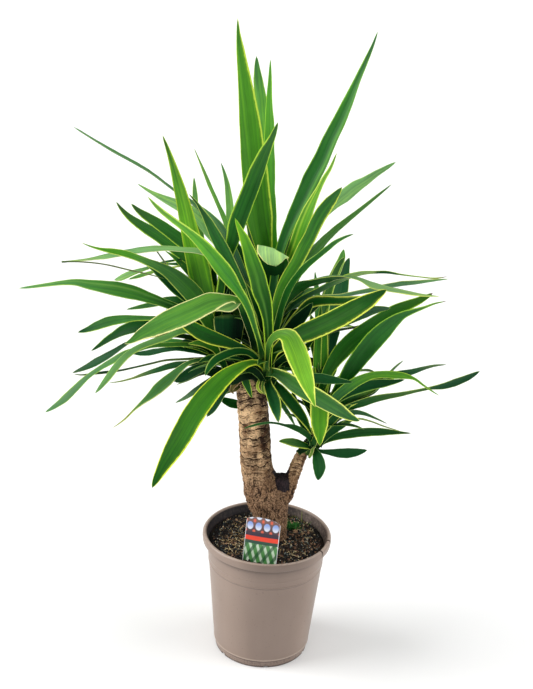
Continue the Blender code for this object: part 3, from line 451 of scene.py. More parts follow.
def blade(path, look, seed):
    """Points, faces and attributes of one closed leaf blade."""
    p, b, n, half = path
    face = look.get("face", 1)
    rows, cols = len(p), len(COLS)
    arc = np.r_[0.0, np.cumsum(np.linalg.norm(np.diff(p, axis=0), axis=1))]
    s = arc / arc[-1]
    rng = np.random.default_rng(seed)
    wave = look.get("wave", 0.055)
    half = half * (1.0 + look.get("clasp", 0.6) * np.exp(-((s / 0.045) ** 2)))
    env = np.sin(np.pi * np.clip(s, 0, 1)) ** 0.6
    sides = []
    for k in range(2):
        long_wave = rng.uniform(0.055, 0.095)
        short_wave = rng.uniform(0.020, 0.036)
        f1, f2 = rng.uniform(0, math.tau, 2)
        sides.append(
            env * half * (wave * np.sin(math.tau * arc / long_wave + f1) + 0.35 * wave * np.sin(math.tau * arc / short_wave + f2))
        )
    fold = LEAF_FOLD + look.get("fold", 0.0) + math.radians(24.0) * np.clip(1.0 - s / 0.22, 0.0, 1.0) ** 1.5
    t = COLS[None, :]
    lateral = (half * np.cos(fold))[:, None] * t
    height = (half * np.sin(fold))[:, None] * (np.abs(t) ** 1.35 - 0.4)
    height = height + np.where(t > 0, sides[0][:, None], sides[1][:, None]) * np.abs(t) ** 2.4
    grooves = 0.00012 * np.sin(t * half[:, None] * 1000 * 1.9 + rng.uniform(0, 6)) * (1 - np.abs(t) ** 6)
    height = height + grooves * np.minimum(half[:, None] / 0.006, 1.0)
    thick = (0.00115 * (1 - np.abs(t) ** 1.7) + 0.00028) * np.minimum(half[:, None] / 0.004, 1.0)
    mid = p[:, None] + b[:, None] * lateral[..., None] + n[:, None] * height[..., None]
    up = mid + n[:, None] * (thick / 2)[..., None]
    down = mid - n[:, None] * (thick / 2)[..., None]
    ring = np.concatenate([up, down[:, -2:0:-1]], axis=1)
    ring[:, 0] = mid[:, 0]
    ring[:, cols - 1] = mid[:, -1]
    per = ring.shape[1]
    pts = ring[:-1].reshape(-1, 3)
    tip = len(pts)
    foot = tip + 1
    pts = np.concatenate([pts, p[-1:], (mid[0, cols // 2][None])])
    faces = []
    for i in range(rows - 2):
        for j in range(per):
            k = (j + 1) % per
            faces.append((i * per + j, i * per + k, (i + 1) * per + k, (i + 1) * per + j))
    i = rows - 2
    for j in range(per):
        k = (j + 1) % per
        faces.append((i * per + j, i * per + k, tip))
        faces.append((k, j, foot))

    t_ring = np.concatenate([COLS, COLS[-2:0:-1]])
    low_ring = np.concatenate([np.zeros(cols), np.ones(cols - 2)])
    low_ring[0] = low_ring[cols - 1] = 0.5
    T = np.broadcast_to(t_ring, (rows - 1, per))
    S = np.broadcast_to(s[:-1, None], (rows - 1, per))
    H = np.broadcast_to(half[:-1, None] * 1000, (rows - 1, per))
    A = np.broadcast_to(arc[:-1, None] * 1000, (rows - 1, per))
    L = np.broadcast_to(low_ring, (rows - 1, per))
    widths = look.get("margin", (1.6, 1.6))
    rim_from = look.get("rim_from", 0.0)
    grow = np.clip((S - rim_from) / 0.12, 0.15, 1.0) * np.clip((1.0 - S) / 0.10, 0.35, 1.0)
    wl = np.maximum((0.18 + 0.58 * widths[0]) * grow, 0.05)
    wr = np.maximum((0.18 + 0.58 * widths[1]) * grow, 0.05)
    leaf_edge = np.stack([(1 - T) * H / wl, (1 + T) * H / wr, look.get("dry", 0.6) * smooth(A, arc[-1] * 1000 - look.get("dry_mm", 9.0), arc[-1] * 1000)], axis=-1)
    leaf_at = np.stack([T * H, A + seed * 977.0, L], axis=-1)
    stops = look["stops"]
    pos = np.array([q[0] for q in stops])
    cols_at = np.array([srgb(*q[1]) for q in stops])
    seen = np.stack([np.interp(S, pos, cols_at[:, c]) for c in range(3)], axis=-1)
    # stripes: bands of another colour along the blade; they hold the blade's own streaks and, on folded blades, painted
    # light on the lit half and painted shade on the other half
    for t0, width, s0, s1, colour, amount in look.get("stripes", ()):
        w = np.exp(-(((T - t0) / width) ** 2)) * smooth(S, s0 - 0.08, s0 + 0.02) * (1 - smooth(S, s1 - 0.02, s1 + 0.08)) * amount
        seen = seen * (1 - w[..., None]) + srgb(*colour) * w[..., None]
    # painted shade: the foot of each blade is darkened, for the shade where the blades crowd at the neck
    deep = look.get("deep", 0.42)
    seen = seen * (1 - deep * (1 - smooth(S, 0.02, 0.26)))[..., None]
    foot_pale = (1 - smooth(S, 0.0, 0.05))[..., None] * look.get("foot", 0.30)
    seen = seen * (1 - foot_pale) + srgb(120, 150, 70) * foot_pale
    grey = srgb(120, 160, 105)
    if face > 0:
        top, low = seen, seen * 0.45 + grey * 0.55
    else:
        low, top = seen, seen * 0.35 + srgb(62, 122, 40) * 0.65
    hue = top * (1 - L[..., None]) + low * L[..., None]
    rim = np.broadcast_to(srgb(*look.get("rim", (205, 222, 88))), hue.shape)
    one = np.ones(hue.shape[:2] + (1,))
    hue4 = np.concatenate([hue, one], -1).reshape(-1, 4)
    rim4 = np.concatenate([rim, one], -1).reshape(-1, 4)
    at3 = leaf_at.reshape(-1, 3)
    edge3 = leaf_edge.reshape(-1, 3)
    last = (rows - 2) * per
    tip_edge = np.array([[0.4, 0.4, look.get("dry", 0.6)]])
    hue4 = np.concatenate([hue4, hue4[last : last + 1], hue4[:1]])
    rim4 = np.concatenate([rim4, rim4[:1], rim4[:1]])
    at3 = np.concatenate([at3, [[0, arc[-1] * 1000 + seed * 977.0, 0.5]], [[0, seed * 977.0, 0.5]]])
    edge3 = np.concatenate([edge3, tip_edge, [[9, 9, 0]]])
    if face > 0:
        faces = [f[::-1] for f in faces]
    return pts, faces, at3, edge3, hue4, rim4


def whole(name, blades, nodes=()):
    """One object from one or more blades."""
    pts, faces, off = [], [], 0
    at, edge, hue, rim = [], [], [], []
    for q, f, a, e, h, r in blades:
        faces += [tuple(k + off for k in g) for g in f]
        off += len(q)
        pts.append(q)
        at.append(a)
        edge.append(e)
        hue.append(h)
        rim.append(r)
    obj = mesh_object(
        name,
        np.concatenate(pts),
        faces,
        leaf_at=np.concatenate(at),
        leaf_edge=np.concatenate(edge),
        leaf_hue=np.concatenate(hue),
        leaf_rim=np.concatenate(rim),
    )
    obj.data.materials.append(LEAF_LOOK)
    return take(obj, nodes)


def rows_for(stations):
    a = np.array(stations, float)
    length = np.hypot(np.diff(a[:, 0]), np.diff(a[:, 1])).sum()
    return int(np.clip(length / 2.6, 20, 92))


# --------------------------------------------------------------- leaf tables
# name: (stations base to tip as (u, v, width), depth in cm at base and tip or
# at each station, roll in degrees about the blade's length, side seen)
LEAVES = {
    # crown A: upright and to the right (two folded blades are placed first)
    "leaf_a_bent_back": ([(270, 338, 10), (271, 318, 18), (272, 298, 25), (272.8, 280, 29), (273, 264, 32), (273.2, 252.5, 34), (273.6, 250.5, 34), (274, 254, 31), (274.8, 261, 20), (276, 266.5, 0)], [0.8, 0.9, 1.0, 0.8, 0.2, -1.0, -2.4, -3.2, -3.7, -4.0], (0, -27), 1),
    "leaf_b_folded": ([(229, 360, 13), (229, 350, 20), (229, 338, 27), (229, 327, 31), (229, 319, 32), (229, 315.6, 28), (229, 314, 0)], [0.2, 0.1, -0.1, -0.2, -0.2, -0.1, 0.0], 0, -1),
    "leaf_a_tall": ([(269, 325, 8), (268, 300, 9), (266.5, 270, 12), (264.5, 250, 16.5), (262.8, 240, 20.5), (259.5, 220, 27), (257, 200, 28), (255.3, 180, 27), (252.3, 150, 25), (249.3, 120, 21.3), (247, 100, 18), (244.5, 80, 14), (240.4, 50, 8.7), (238.3, 32, 3.8), (237.7, 18, 0)], (0.2, 1.5), 12, 1),
    "leaf_a_tall_back": ([(269, 305, 8), (268, 260, 14), (266, 200, 16), (264, 150, 15), (262, 120, 13), (260.5, 100, 12.5), (258, 80, 10), (257, 68, 6), (256.5, 56, 0)], (1.0, 8.0), 20, 1),
    "leaf_a_tall_slim": ([(273, 305, 7), (273, 270, 9), (272.5, 240, 11), (271, 210, 12), (270, 180, 12), (270, 150, 11), (270, 120, 9), (269.6, 100, 6.5), (270.2, 80, 4), (270.5, 59, 0)], (0.8, 4.0), -45, 1),
    "leaf_a_right_tall": ([(271, 318, 8), (272, 300, 8), (276, 270, 9), (281, 248, 10), (291, 222, 11.5), (301.5, 200, 15), (311, 180, 17.5), (321.5, 160, 16.3), (330, 140, 15.5), (340, 120, 13.4), (349, 100, 10.8), (357.5, 80, 7.2), (366.5, 60, 5), (373, 45, 3), (378, 31, 0)], (0.2, 4.0), -25, 1),
    "leaf_a_right_slim": ([(275, 320, 7), (279, 290, 9), (286, 262, 11), (291, 243, 12.5), (298, 226, 12.5), (306, 210, 10), (313, 200, 7), (319, 190, 5.5), (325, 178, 4.5), (330, 170, 3.2), (337, 153, 0)], (0.0, -3.0), -30, 1),
    "leaf_a_right_mid": ([(272, 335, 7), (276, 305, 9), (283, 285, 11), (290, 272.5, 12.5), (296.5, 262, 13), (303.5, 248, 13.5), (309.5, 237, 13.5), (316.5, 222, 14), (323.5, 210, 14), (331, 200, 11.5), (336.5, 193.5, 7), (342, 187, 0)], (-1.0, -10.0), 20, 1),
    "leaf_a_right_pale": ([(276, 315, 8), (288, 275, 10), (303, 245, 11), (322, 218, 12), (337, 203, 12.5), (346, 195, 14), (356, 187, 12), (365, 181.5, 9), (376, 174, 6.5), (387, 167.5, 4), (396, 162, 0)], (1.0, 14.0), 20, -1),
    "leaf_a_right_long": ([(273, 335, 7), (285, 300, 9), (296, 275, 10), (306, 258, 11), (317, 247, 10.5), (328, 236, 8), (338, 227, 6.5), (351, 216.5, 5.2), (365, 205.5, 4.2), (378, 195, 3), (392, 184, 0)], (0.8, 5.0), 52, 1),
    "leaf_a_right_edge": ([(274, 342, 6), (288, 292, 7), (298, 276, 7), (306, 267, 6.5), (316, 258.5, 6), (327, 249.5, 5.5), (336, 242.5, 4.5), (345, 237.5, 3), (354, 234, 0)], (-1.0, -12.0), -58, 1),
    "leaf_a_centre": ([(268, 372, 8), (269, 345, 9), (268, 320, 11.5), (265, 303, 15.5), (261, 290, 19), (257.5, 275, 18.5), (253, 262, 16.5), (249, 250, 13.5), (244, 237, 10), (239.5, 228, 5.5), (235, 218, 0)], (-2.0, -11.0), -18, 1),
    "leaf_a_front_left": ([(263, 360, 5.5), (259, 342, 5.5), (255, 328, 6), (250, 312, 7.5), (245, 301, 8.5), (238.5, 291, 10), (231.5, 281, 14), (224, 271, 16.5), (216, 261, 15.5), (208, 251.5, 13.5), (200, 243, 11.7), (190, 233.5, 8.5), (180, 225.5, 6.5), (170, 218, 6), (160, 210, 5.2), (153, 203, 3), (147.5, 196.5, 0)], (-2.0, -12.0), (10, 40), 1),
    "leaf_a_left_dark": ([(261, 340, 6), (250, 310, 9), (240, 285, 12), (230, 263, 13), (222, 247, 13), (215, 234, 12), (209, 222, 9), (203, 212, 5.5), (197, 203, 3), (188.5, 193.5, 0)], (-0.6, -4.0), -25, 1),
    "leaf_a_left_pale": ([(258, 325, 6), (240, 275, 8), (225, 250, 10), (212, 234, 12), (201, 220, 14), (188, 210, 13), (175, 203.5, 10.5), (163, 198, 7), (152, 192.5, 4), (137, 183.5, 0)], (0.6, 9.0), 15, -1),
    "leaf_a_left_far": ([(255, 318, 4), (235, 262, 4), (215, 228, 4), (195, 206, 3.5), (171, 188, 2.8), (150, 172.5, 2.4), (130, 160.5, 3.2), (115, 152.5, 3), (100, 143.5, 2), (80, 131, 1.4), (73, 126.5, 0)], (1.0, 12.0), 76, 1),
    "leaf_a_back_left": ([(236, 315, 8), (233, 260, 9), (229.5, 225, 8.5), (229.5, 208, 8), (228.5, 195, 7), (226.5, 182, 5), (224, 172, 3), (221, 162.5, 0)], (2.0, 17.0), 40, 1),
    "leaf_a_left_flat": ([(255, 320, 5), (230, 270, 6), (210, 254, 6.5), (200, 250.5, 6), (185, 249, 5.5), (165, 248, 5.5), (145, 248.8, 6.5), (125, 252, 6.5), (105, 256, 5), (85, 259.5, 2.5), (61.5, 261.5, 0)], (0.2, 3.0), 62, -1),
    "leaf_a_right_front": ([(268, 362, 7), (276, 350, 10), (290, 340, 16), (308, 331.5, 20), (325, 324, 21), (342, 315.5, 20.5), (357, 307, 19), (370, 299.5, 15.5), (379, 294, 9), (387, 289.5, 0)], (-2.2, -12.0), 15, 1),
    "leaf_a_right_twist": ([(268, 352, 6), (276, 325, 8), (284, 300, 11), (292, 290.5, 12.5), (302, 284.5, 10.5), (315, 280.5, 7), (330, 277, 5), (345, 277, 3.4), (358, 278.5, 4.2), (372, 283.5, 5.5), (388, 288, 5.5), (404, 291.5, 4.5), (420, 294.5, 3), (440, 296.5, 0)], (-0.8, -2.0), (40, 125), 1),
    "leaf_a_right_flat": ([(270, 330, 6), (290, 308, 8), (310, 301, 8), (325, 297.5, 5), (340, 296, 3.5), (355, 293.5, 4.5), (370, 290.5, 5), (385, 286.5, 4.5), (400, 284.5, 5.5), (415, 283, 4.5), (430, 281, 3), (449, 279, 0)], (0.6, 8.0), 60, -1),
    "leaf_a_front_bent": ([(267, 370, 6), (268.8, 356, 7), (271.5, 345.5, 8), (276, 338.5, 9.5), (282.5, 335.5, 13.5), (289, 339.5, 21), (294, 350, 23.5), (298.6, 362, 22.5), (303, 374, 19.5), (307, 385, 15), (310.3, 394.5, 9.5), (312.8, 401, 5), (315.3, 407.5, 0)], (-2.6, -15.0), -15, 1),
    "leaf_a_right_low": ([(266, 372, 6), (273, 372, 9), (283, 376.5, 13), (294, 384, 16.5), (306, 391, 17.5), (318, 397.5, 17.5), (330, 404.5, 16), (341, 411, 13.5), (350, 416.5, 9), (360, 421, 0)], (-2.0, -13.0), 10, 1),
    "leaf_a_right_dark": ([(272, 374, 6), (285, 378, 8), (300, 378.5, 10), (315, 378, 10.5), (325, 378.5, 10.5), (335, 379.8, 8), (344, 381, 5), (353, 382, 0)], (-1.2, -8.0), 30, 1),
    "leaf_a_hanging": ([(267, 380, 7), (269, 387, 10), (272, 394, 12.5), (275, 403, 13), (277, 411, 10.5), (278, 417, 6.5), (278.5, 422.5, 0)], (-1.6, -7.0), 10, 1),
    "leaf_a_down_right": ([(272, 382, 6), (279, 388, 9), (287, 398, 12), (296, 409, 12), (304, 420, 8.5), (308, 427, 5), (312, 435, 0)], (-1.2, -4.5), -20, 1),
    "leaf_a_big_droop": ([(266, 378, 5), (263, 367, 5.5), (256, 362.5, 6), (247, 364, 8), (238, 368.5, 12), (228, 375, 16), (216, 386, 19.5), (203, 400, 22), (191, 416, 22.5), (180, 433, 21.5), (170, 449, 18), (161, 465, 12), (155, 477, 7), (151.5, 487.5, 0)], (-1.6, -15.0), 12, 1),
    "leaf_a_left_arch": ([(262, 368, 5), (256, 358, 6), (247, 352, 7), (236, 351.5, 8), (225, 355, 8.5), (215, 360.5, 8.5), (209.5, 367, 6.5), (205, 376, 0)], (-1.2, -9.0), 20, 1),
    "leaf_a_left_under": ([(265, 366, 5), (258, 358, 6), (248, 351, 7), (237, 346, 9), (225, 342, 12), (212, 337.5, 15), (200, 332, 15.5), (190, 326, 13), (180, 319, 9), (166, 309, 0)], (-1.4, -5.4), -15, 1),
    "leaf_a_left_broad": ([(257, 352, 7), (251.5, 334, 8), (246, 317, 9), (241, 304.5, 9), (233, 298.8, 7), (225, 299.2, 10.5), (211, 302, 20.5), (196, 308.8, 22.5), (181, 315.5, 23.5), (166, 322, 22), (151, 329.5, 17), (140, 335, 11.5), (131, 341, 5.5), (124.5, 344, 0)], [-0.4, -0.6, -1.4, -3.2, -5.4, -6.6, -7.6, -8.8, -10, -11.2, -12.4, -13.2, -13.9, -14.4], -8, 1),
    # crown B: left and behind
    "leaf_b_cross": ([(216, 330, 8), (219, 300, 8), (224, 270, 9), (228.5, 253, 11), (232.5, 240, 14), (236.3, 225, 17.5), (241.7, 210, 18), (249.5, 190, 17.5), (257, 170, 16), (265.5, 150, 11.5), (272.5, 136, 6.5), (278, 122, 0)], (1.6, -8.0), 20, 1),
    "leaf_b_upright": ([(218, 350, 8), (214, 334, 11), (208.5, 312, 16), (203.5, 290, 21), (199, 270, 23.5), (194.3, 250, 21.5), (189.3, 230, 18), (184.8, 210, 15.3), (179.8, 190, 12.5), (174.3, 170, 8.3), (168, 150, 4.5), (162.5, 135, 0)], (1.8, 0.5), 8, 1),
    "leaf_b_left_upper": ([(214, 335, 7), (204, 290, 9), (190, 263, 11), (178, 251, 12.5), (168, 243.5, 12.5), (158, 236.5, 12), (148, 230, 11), (138, 223.5, 9), (128, 216, 6.5), (120.5, 208, 3.5), (116, 201.5, 0)], (2.6, 12.0), 30, 1),
    "leaf_b_left_wide": ([(215, 330, 7), (208, 285, 9), (198, 258, 12), (187, 245.5, 13.5), (176, 237, 13), (165, 229, 12), (155, 222, 10.5), (145, 215.5, 8.5), (137, 209.5, 5), (131, 203.5, 0)], (2.4, 7.0), 25, 1),
    "leaf_b_left_bright": ([(216, 350, 7), (212, 330, 11), (204, 312, 17), (194, 296, 20), (184, 285.5, 18.5), (173, 276, 15.5), (162, 269, 11), (150, 263.5, 8), (138, 258.3, 7), (125, 254, 7.3), (112, 251.5, 6), (100, 249.2, 3.2), (90, 246.3, 1.8), (81, 242.5, 0)], (0.8, -4.0), (10, 45), 1),
    "leaf_b_far_left": ([(222, 352, 7), (210, 330, 8), (195, 318, 9), (178, 309, 9), (162, 302.5, 9), (147, 297.5, 11.5), (131, 292.5, 15), (115, 289, 15.3), (100, 286.8, 12.5), (88, 284.8, 9.8), (75, 282.5, 6.3), (62, 283, 4.2), (50, 284.5, 2.8), (35, 286.3, 1.4), (19.5, 288, 0)], (1.0, -2.0), (35, 30), 1),
    "leaf_b_left_drop": ([(220, 352, 6), (205, 335, 7), (188, 325, 7), (170, 320, 6), (150, 318.5, 5), (134, 318.5, 6), (120, 320, 9), (107, 322.5, 10.8), (96, 326.5, 9), (87, 330, 5.5), (77.5, 332.5, 0)], (1.2, -1.5), 40, 1),
    "leaf_b_left_night": ([(220, 354, 6), (205, 338, 8), (188, 330, 9), (170, 326, 10), (155, 325, 12), (143, 325.5, 13), (132, 327.5, 12.5), (122, 331, 10.5), (114, 335.5, 8), (106, 340.5, 6.5), (98.5, 346, 4), (91, 351, 0)], (1.8, 3.0), 30, 1),
    "leaf_b_left_turned": ([(222, 352, 6), (210, 338, 7), (195, 331, 7), (180, 331, 6), (166, 337, 7), (152, 342, 6.5), (139, 347, 6), (127, 354.5, 7), (116, 366.5, 7.5), (107, 378.5, 6.5), (100, 387.5, 4), (95, 393.5, 0)], (1.2, -7.0), 45, -1),
    "leaf_b_left_low": ([(216, 358, 5), (205, 348.5, 6), (190, 345, 5), (170, 345, 4.5), (152, 346, 5), (138, 349.5, 5.5), (125, 354, 6), (112, 361.5, 6), (100, 368.5, 5), (88, 377, 5.5), (76, 388.5, 7), (65, 399, 7.5), (55, 406.5, 5), (45, 412.5, 0)], (1.4, -2.0), 50, 1),
    "leaf_b_left_lower": ([(216, 361, 5), (200, 363.5, 5), (186, 364, 5.5), (172, 366, 6.5), (158, 370, 6), (145, 374, 4), (132, 378.5, 2), (120, 381.5, 1.6), (108, 383, 0)], (2.4, 9.0), 50, 1),
    "leaf_b_tail": ([(216, 364, 6), (202, 361, 7), (188, 364, 9), (178, 371, 12), (168, 380, 13.5), (158, 389.5, 12), (150, 396.5, 8), (142, 403, 4), (134, 410, 1.8), (125, 419, 1.6), (112, 428.5, 0)], (1.0, -6.0), 20, 1),
    "leaf_b_dark_bow": ([(216, 357, 5), (205, 353, 7), (190, 349.5, 7), (178, 348.5, 5), (165, 350, 5), (152, 352.5, 6.5), (142, 353.5, 5), (132, 353.5, 0)], (2.4, 8.0), 40, 1),
    "leaf_b_under": ([(246, 404, 6), (238, 404.5, 9), (231, 403, 9.5), (225, 400.5, 7), (219, 397, 0)], (3.2, 4.6), 10, 1),
    # crown C: on the side branch
    "leaf_c_up_light": ([(321, 372, 6), (320, 330, 7), (323, 305, 9), (328, 290, 9.5), (333, 278, 10), (338, 267, 9), (342, 257, 7), (344, 249, 0)], (1.4, 10.0), 30, 1),
    "leaf_c_up_dark": ([(322, 385, 7), (327, 350, 11), (333, 325, 14), (337, 305, 16), (341, 288, 15), (344, 274, 12), (347, 264, 6.5), (349.5, 257.5, 0)], (1.6, 13.0), 20, 1),
    "leaf_c_right_upper": ([(319, 405, 7), (324, 385, 9), (332, 368, 12), (343, 354, 15), (356, 341, 15.5), (370, 329, 14.5), (383, 319, 13.5), (396, 310.5, 12), (408, 305, 10.5), (419, 300.5, 8), (427, 296.5, 4.5), (433, 293, 0)], (1.0, 5.0), 15, 1),
    "leaf_c_right_big": ([(324, 416, 7), (334, 396, 9), (343, 381, 12), (353, 366.5, 17), (363, 353, 19), (374, 340, 19.5), (384, 330, 18), (394, 321, 13), (403, 315, 8), (412, 311.5, 5.5), (424, 307.5, 3), (435, 303.5, 2), (447, 301, 0)], (0.2, -4.0), 10, 1),
    "leaf_c_right_arch": ([(322, 426, 6), (328, 408, 8), (337, 396, 10), (348, 387, 11), (360, 379.5, 9.5), (372, 375, 7.5), (384, 374, 7.5), (396, 374.8, 8), (406, 376, 6), (414, 378.5, 3), (424, 385.5, 2.2), (432, 391, 1.6), (440, 396, 0)], (-0.4, -5.0), 35, 1),
    "leaf_c_right_long": ([(320, 436, 5), (328, 420, 6), (340, 411, 8), (352, 405.5, 7.5), (365, 401.5, 8), (380, 397.5, 7), (397, 394.5, 5), (415, 391, 3.5), (430, 388, 3.2), (442, 386, 6), (455, 382, 8), (468, 377, 6.5), (480, 371, 0)], (0.2, 2.0), 50, 1),
    "leaf_c_right_low": ([(315, 446, 5), (326, 440.5, 5), (336, 436.5, 7), (350, 433.5, 9), (366, 431.8, 9.5), (380, 431.5, 8.5), (392, 432, 5.5), (402, 432.7, 2.8), (411.5, 433.3, 0)], (0.6, 3.0), 40, 1),
    "leaf_c_right_foot": ([(314, 449, 4), (321, 451, 4), (329, 452, 6), (338, 452.8, 9.5), (348, 452.8, 10.5), (357, 452, 8), (363, 451, 4.5), (367.5, 450, 0)], (0.0, 1.0), 25, 1),
    "leaf_c_hanging": ([(314, 450, 5), (316.5, 454, 9), (318.5, 461, 12.5), (319.5, 468, 13), (319, 474, 9.5), (318, 480.5, 0)], (-0.6, -3.0), 10, 1),
    "leaf_c_left_foot": ([(312, 448, 4), (306, 446, 6), (299, 444, 8.5), (292, 442.5, 8.8), (285, 441.5, 6), (278.5, 441.3, 0)], (-0.8, -2.5), 20, 1),
    "leaf_c_left_thread": ([(312, 444, 4), (308, 436.5, 5.5), (301, 431, 6.5), (293, 427.5, 5.5), (285, 425.5, 2.8), (277, 423.5, 2.4), (270, 422.8, 2.4), (260, 424, 2.4), (252, 426, 2.2), (243.5, 428.5, 0)], (-0.8, -5.0), 45, 1),
    "leaf_c_front_bent": ([(317, 436, 7), (318.5, 420, 12), (319.5, 406, 17), (319.5, 399, 18.5), (319.5, 400, 19), (319.5, 407, 19), (319.5, 416, 19), (319.5, 425, 17.5), (319.6, 434, 12.5), (319.8, 440, 7), (320, 446, 0)], [-0.8, -1.0, -1.5, -2.3, -3.4, -4.2, -4.8, -5.3, -5.7, -6.0, -6.2], 0, -1),
}

# ------------------------------------------------------------ leaf colouring
LIME = (178, 214, 70)
YELLOW = (222, 232, 96)
CREAM = (238, 236, 160)
DULL = (168, 190, 112)


def shade(stops, margin=(1.4, 1.4), rim=LIME, **more):
    """Colours along the blade, margin widths in mm left and right of its run."""
    if not isinstance(stops[0][1], tuple):
        stops = [(k / (len(stops) - 1), c) for k, c in enumerate(stops)]
    return dict(stops=stops, margin=margin, rim=rim, **more)
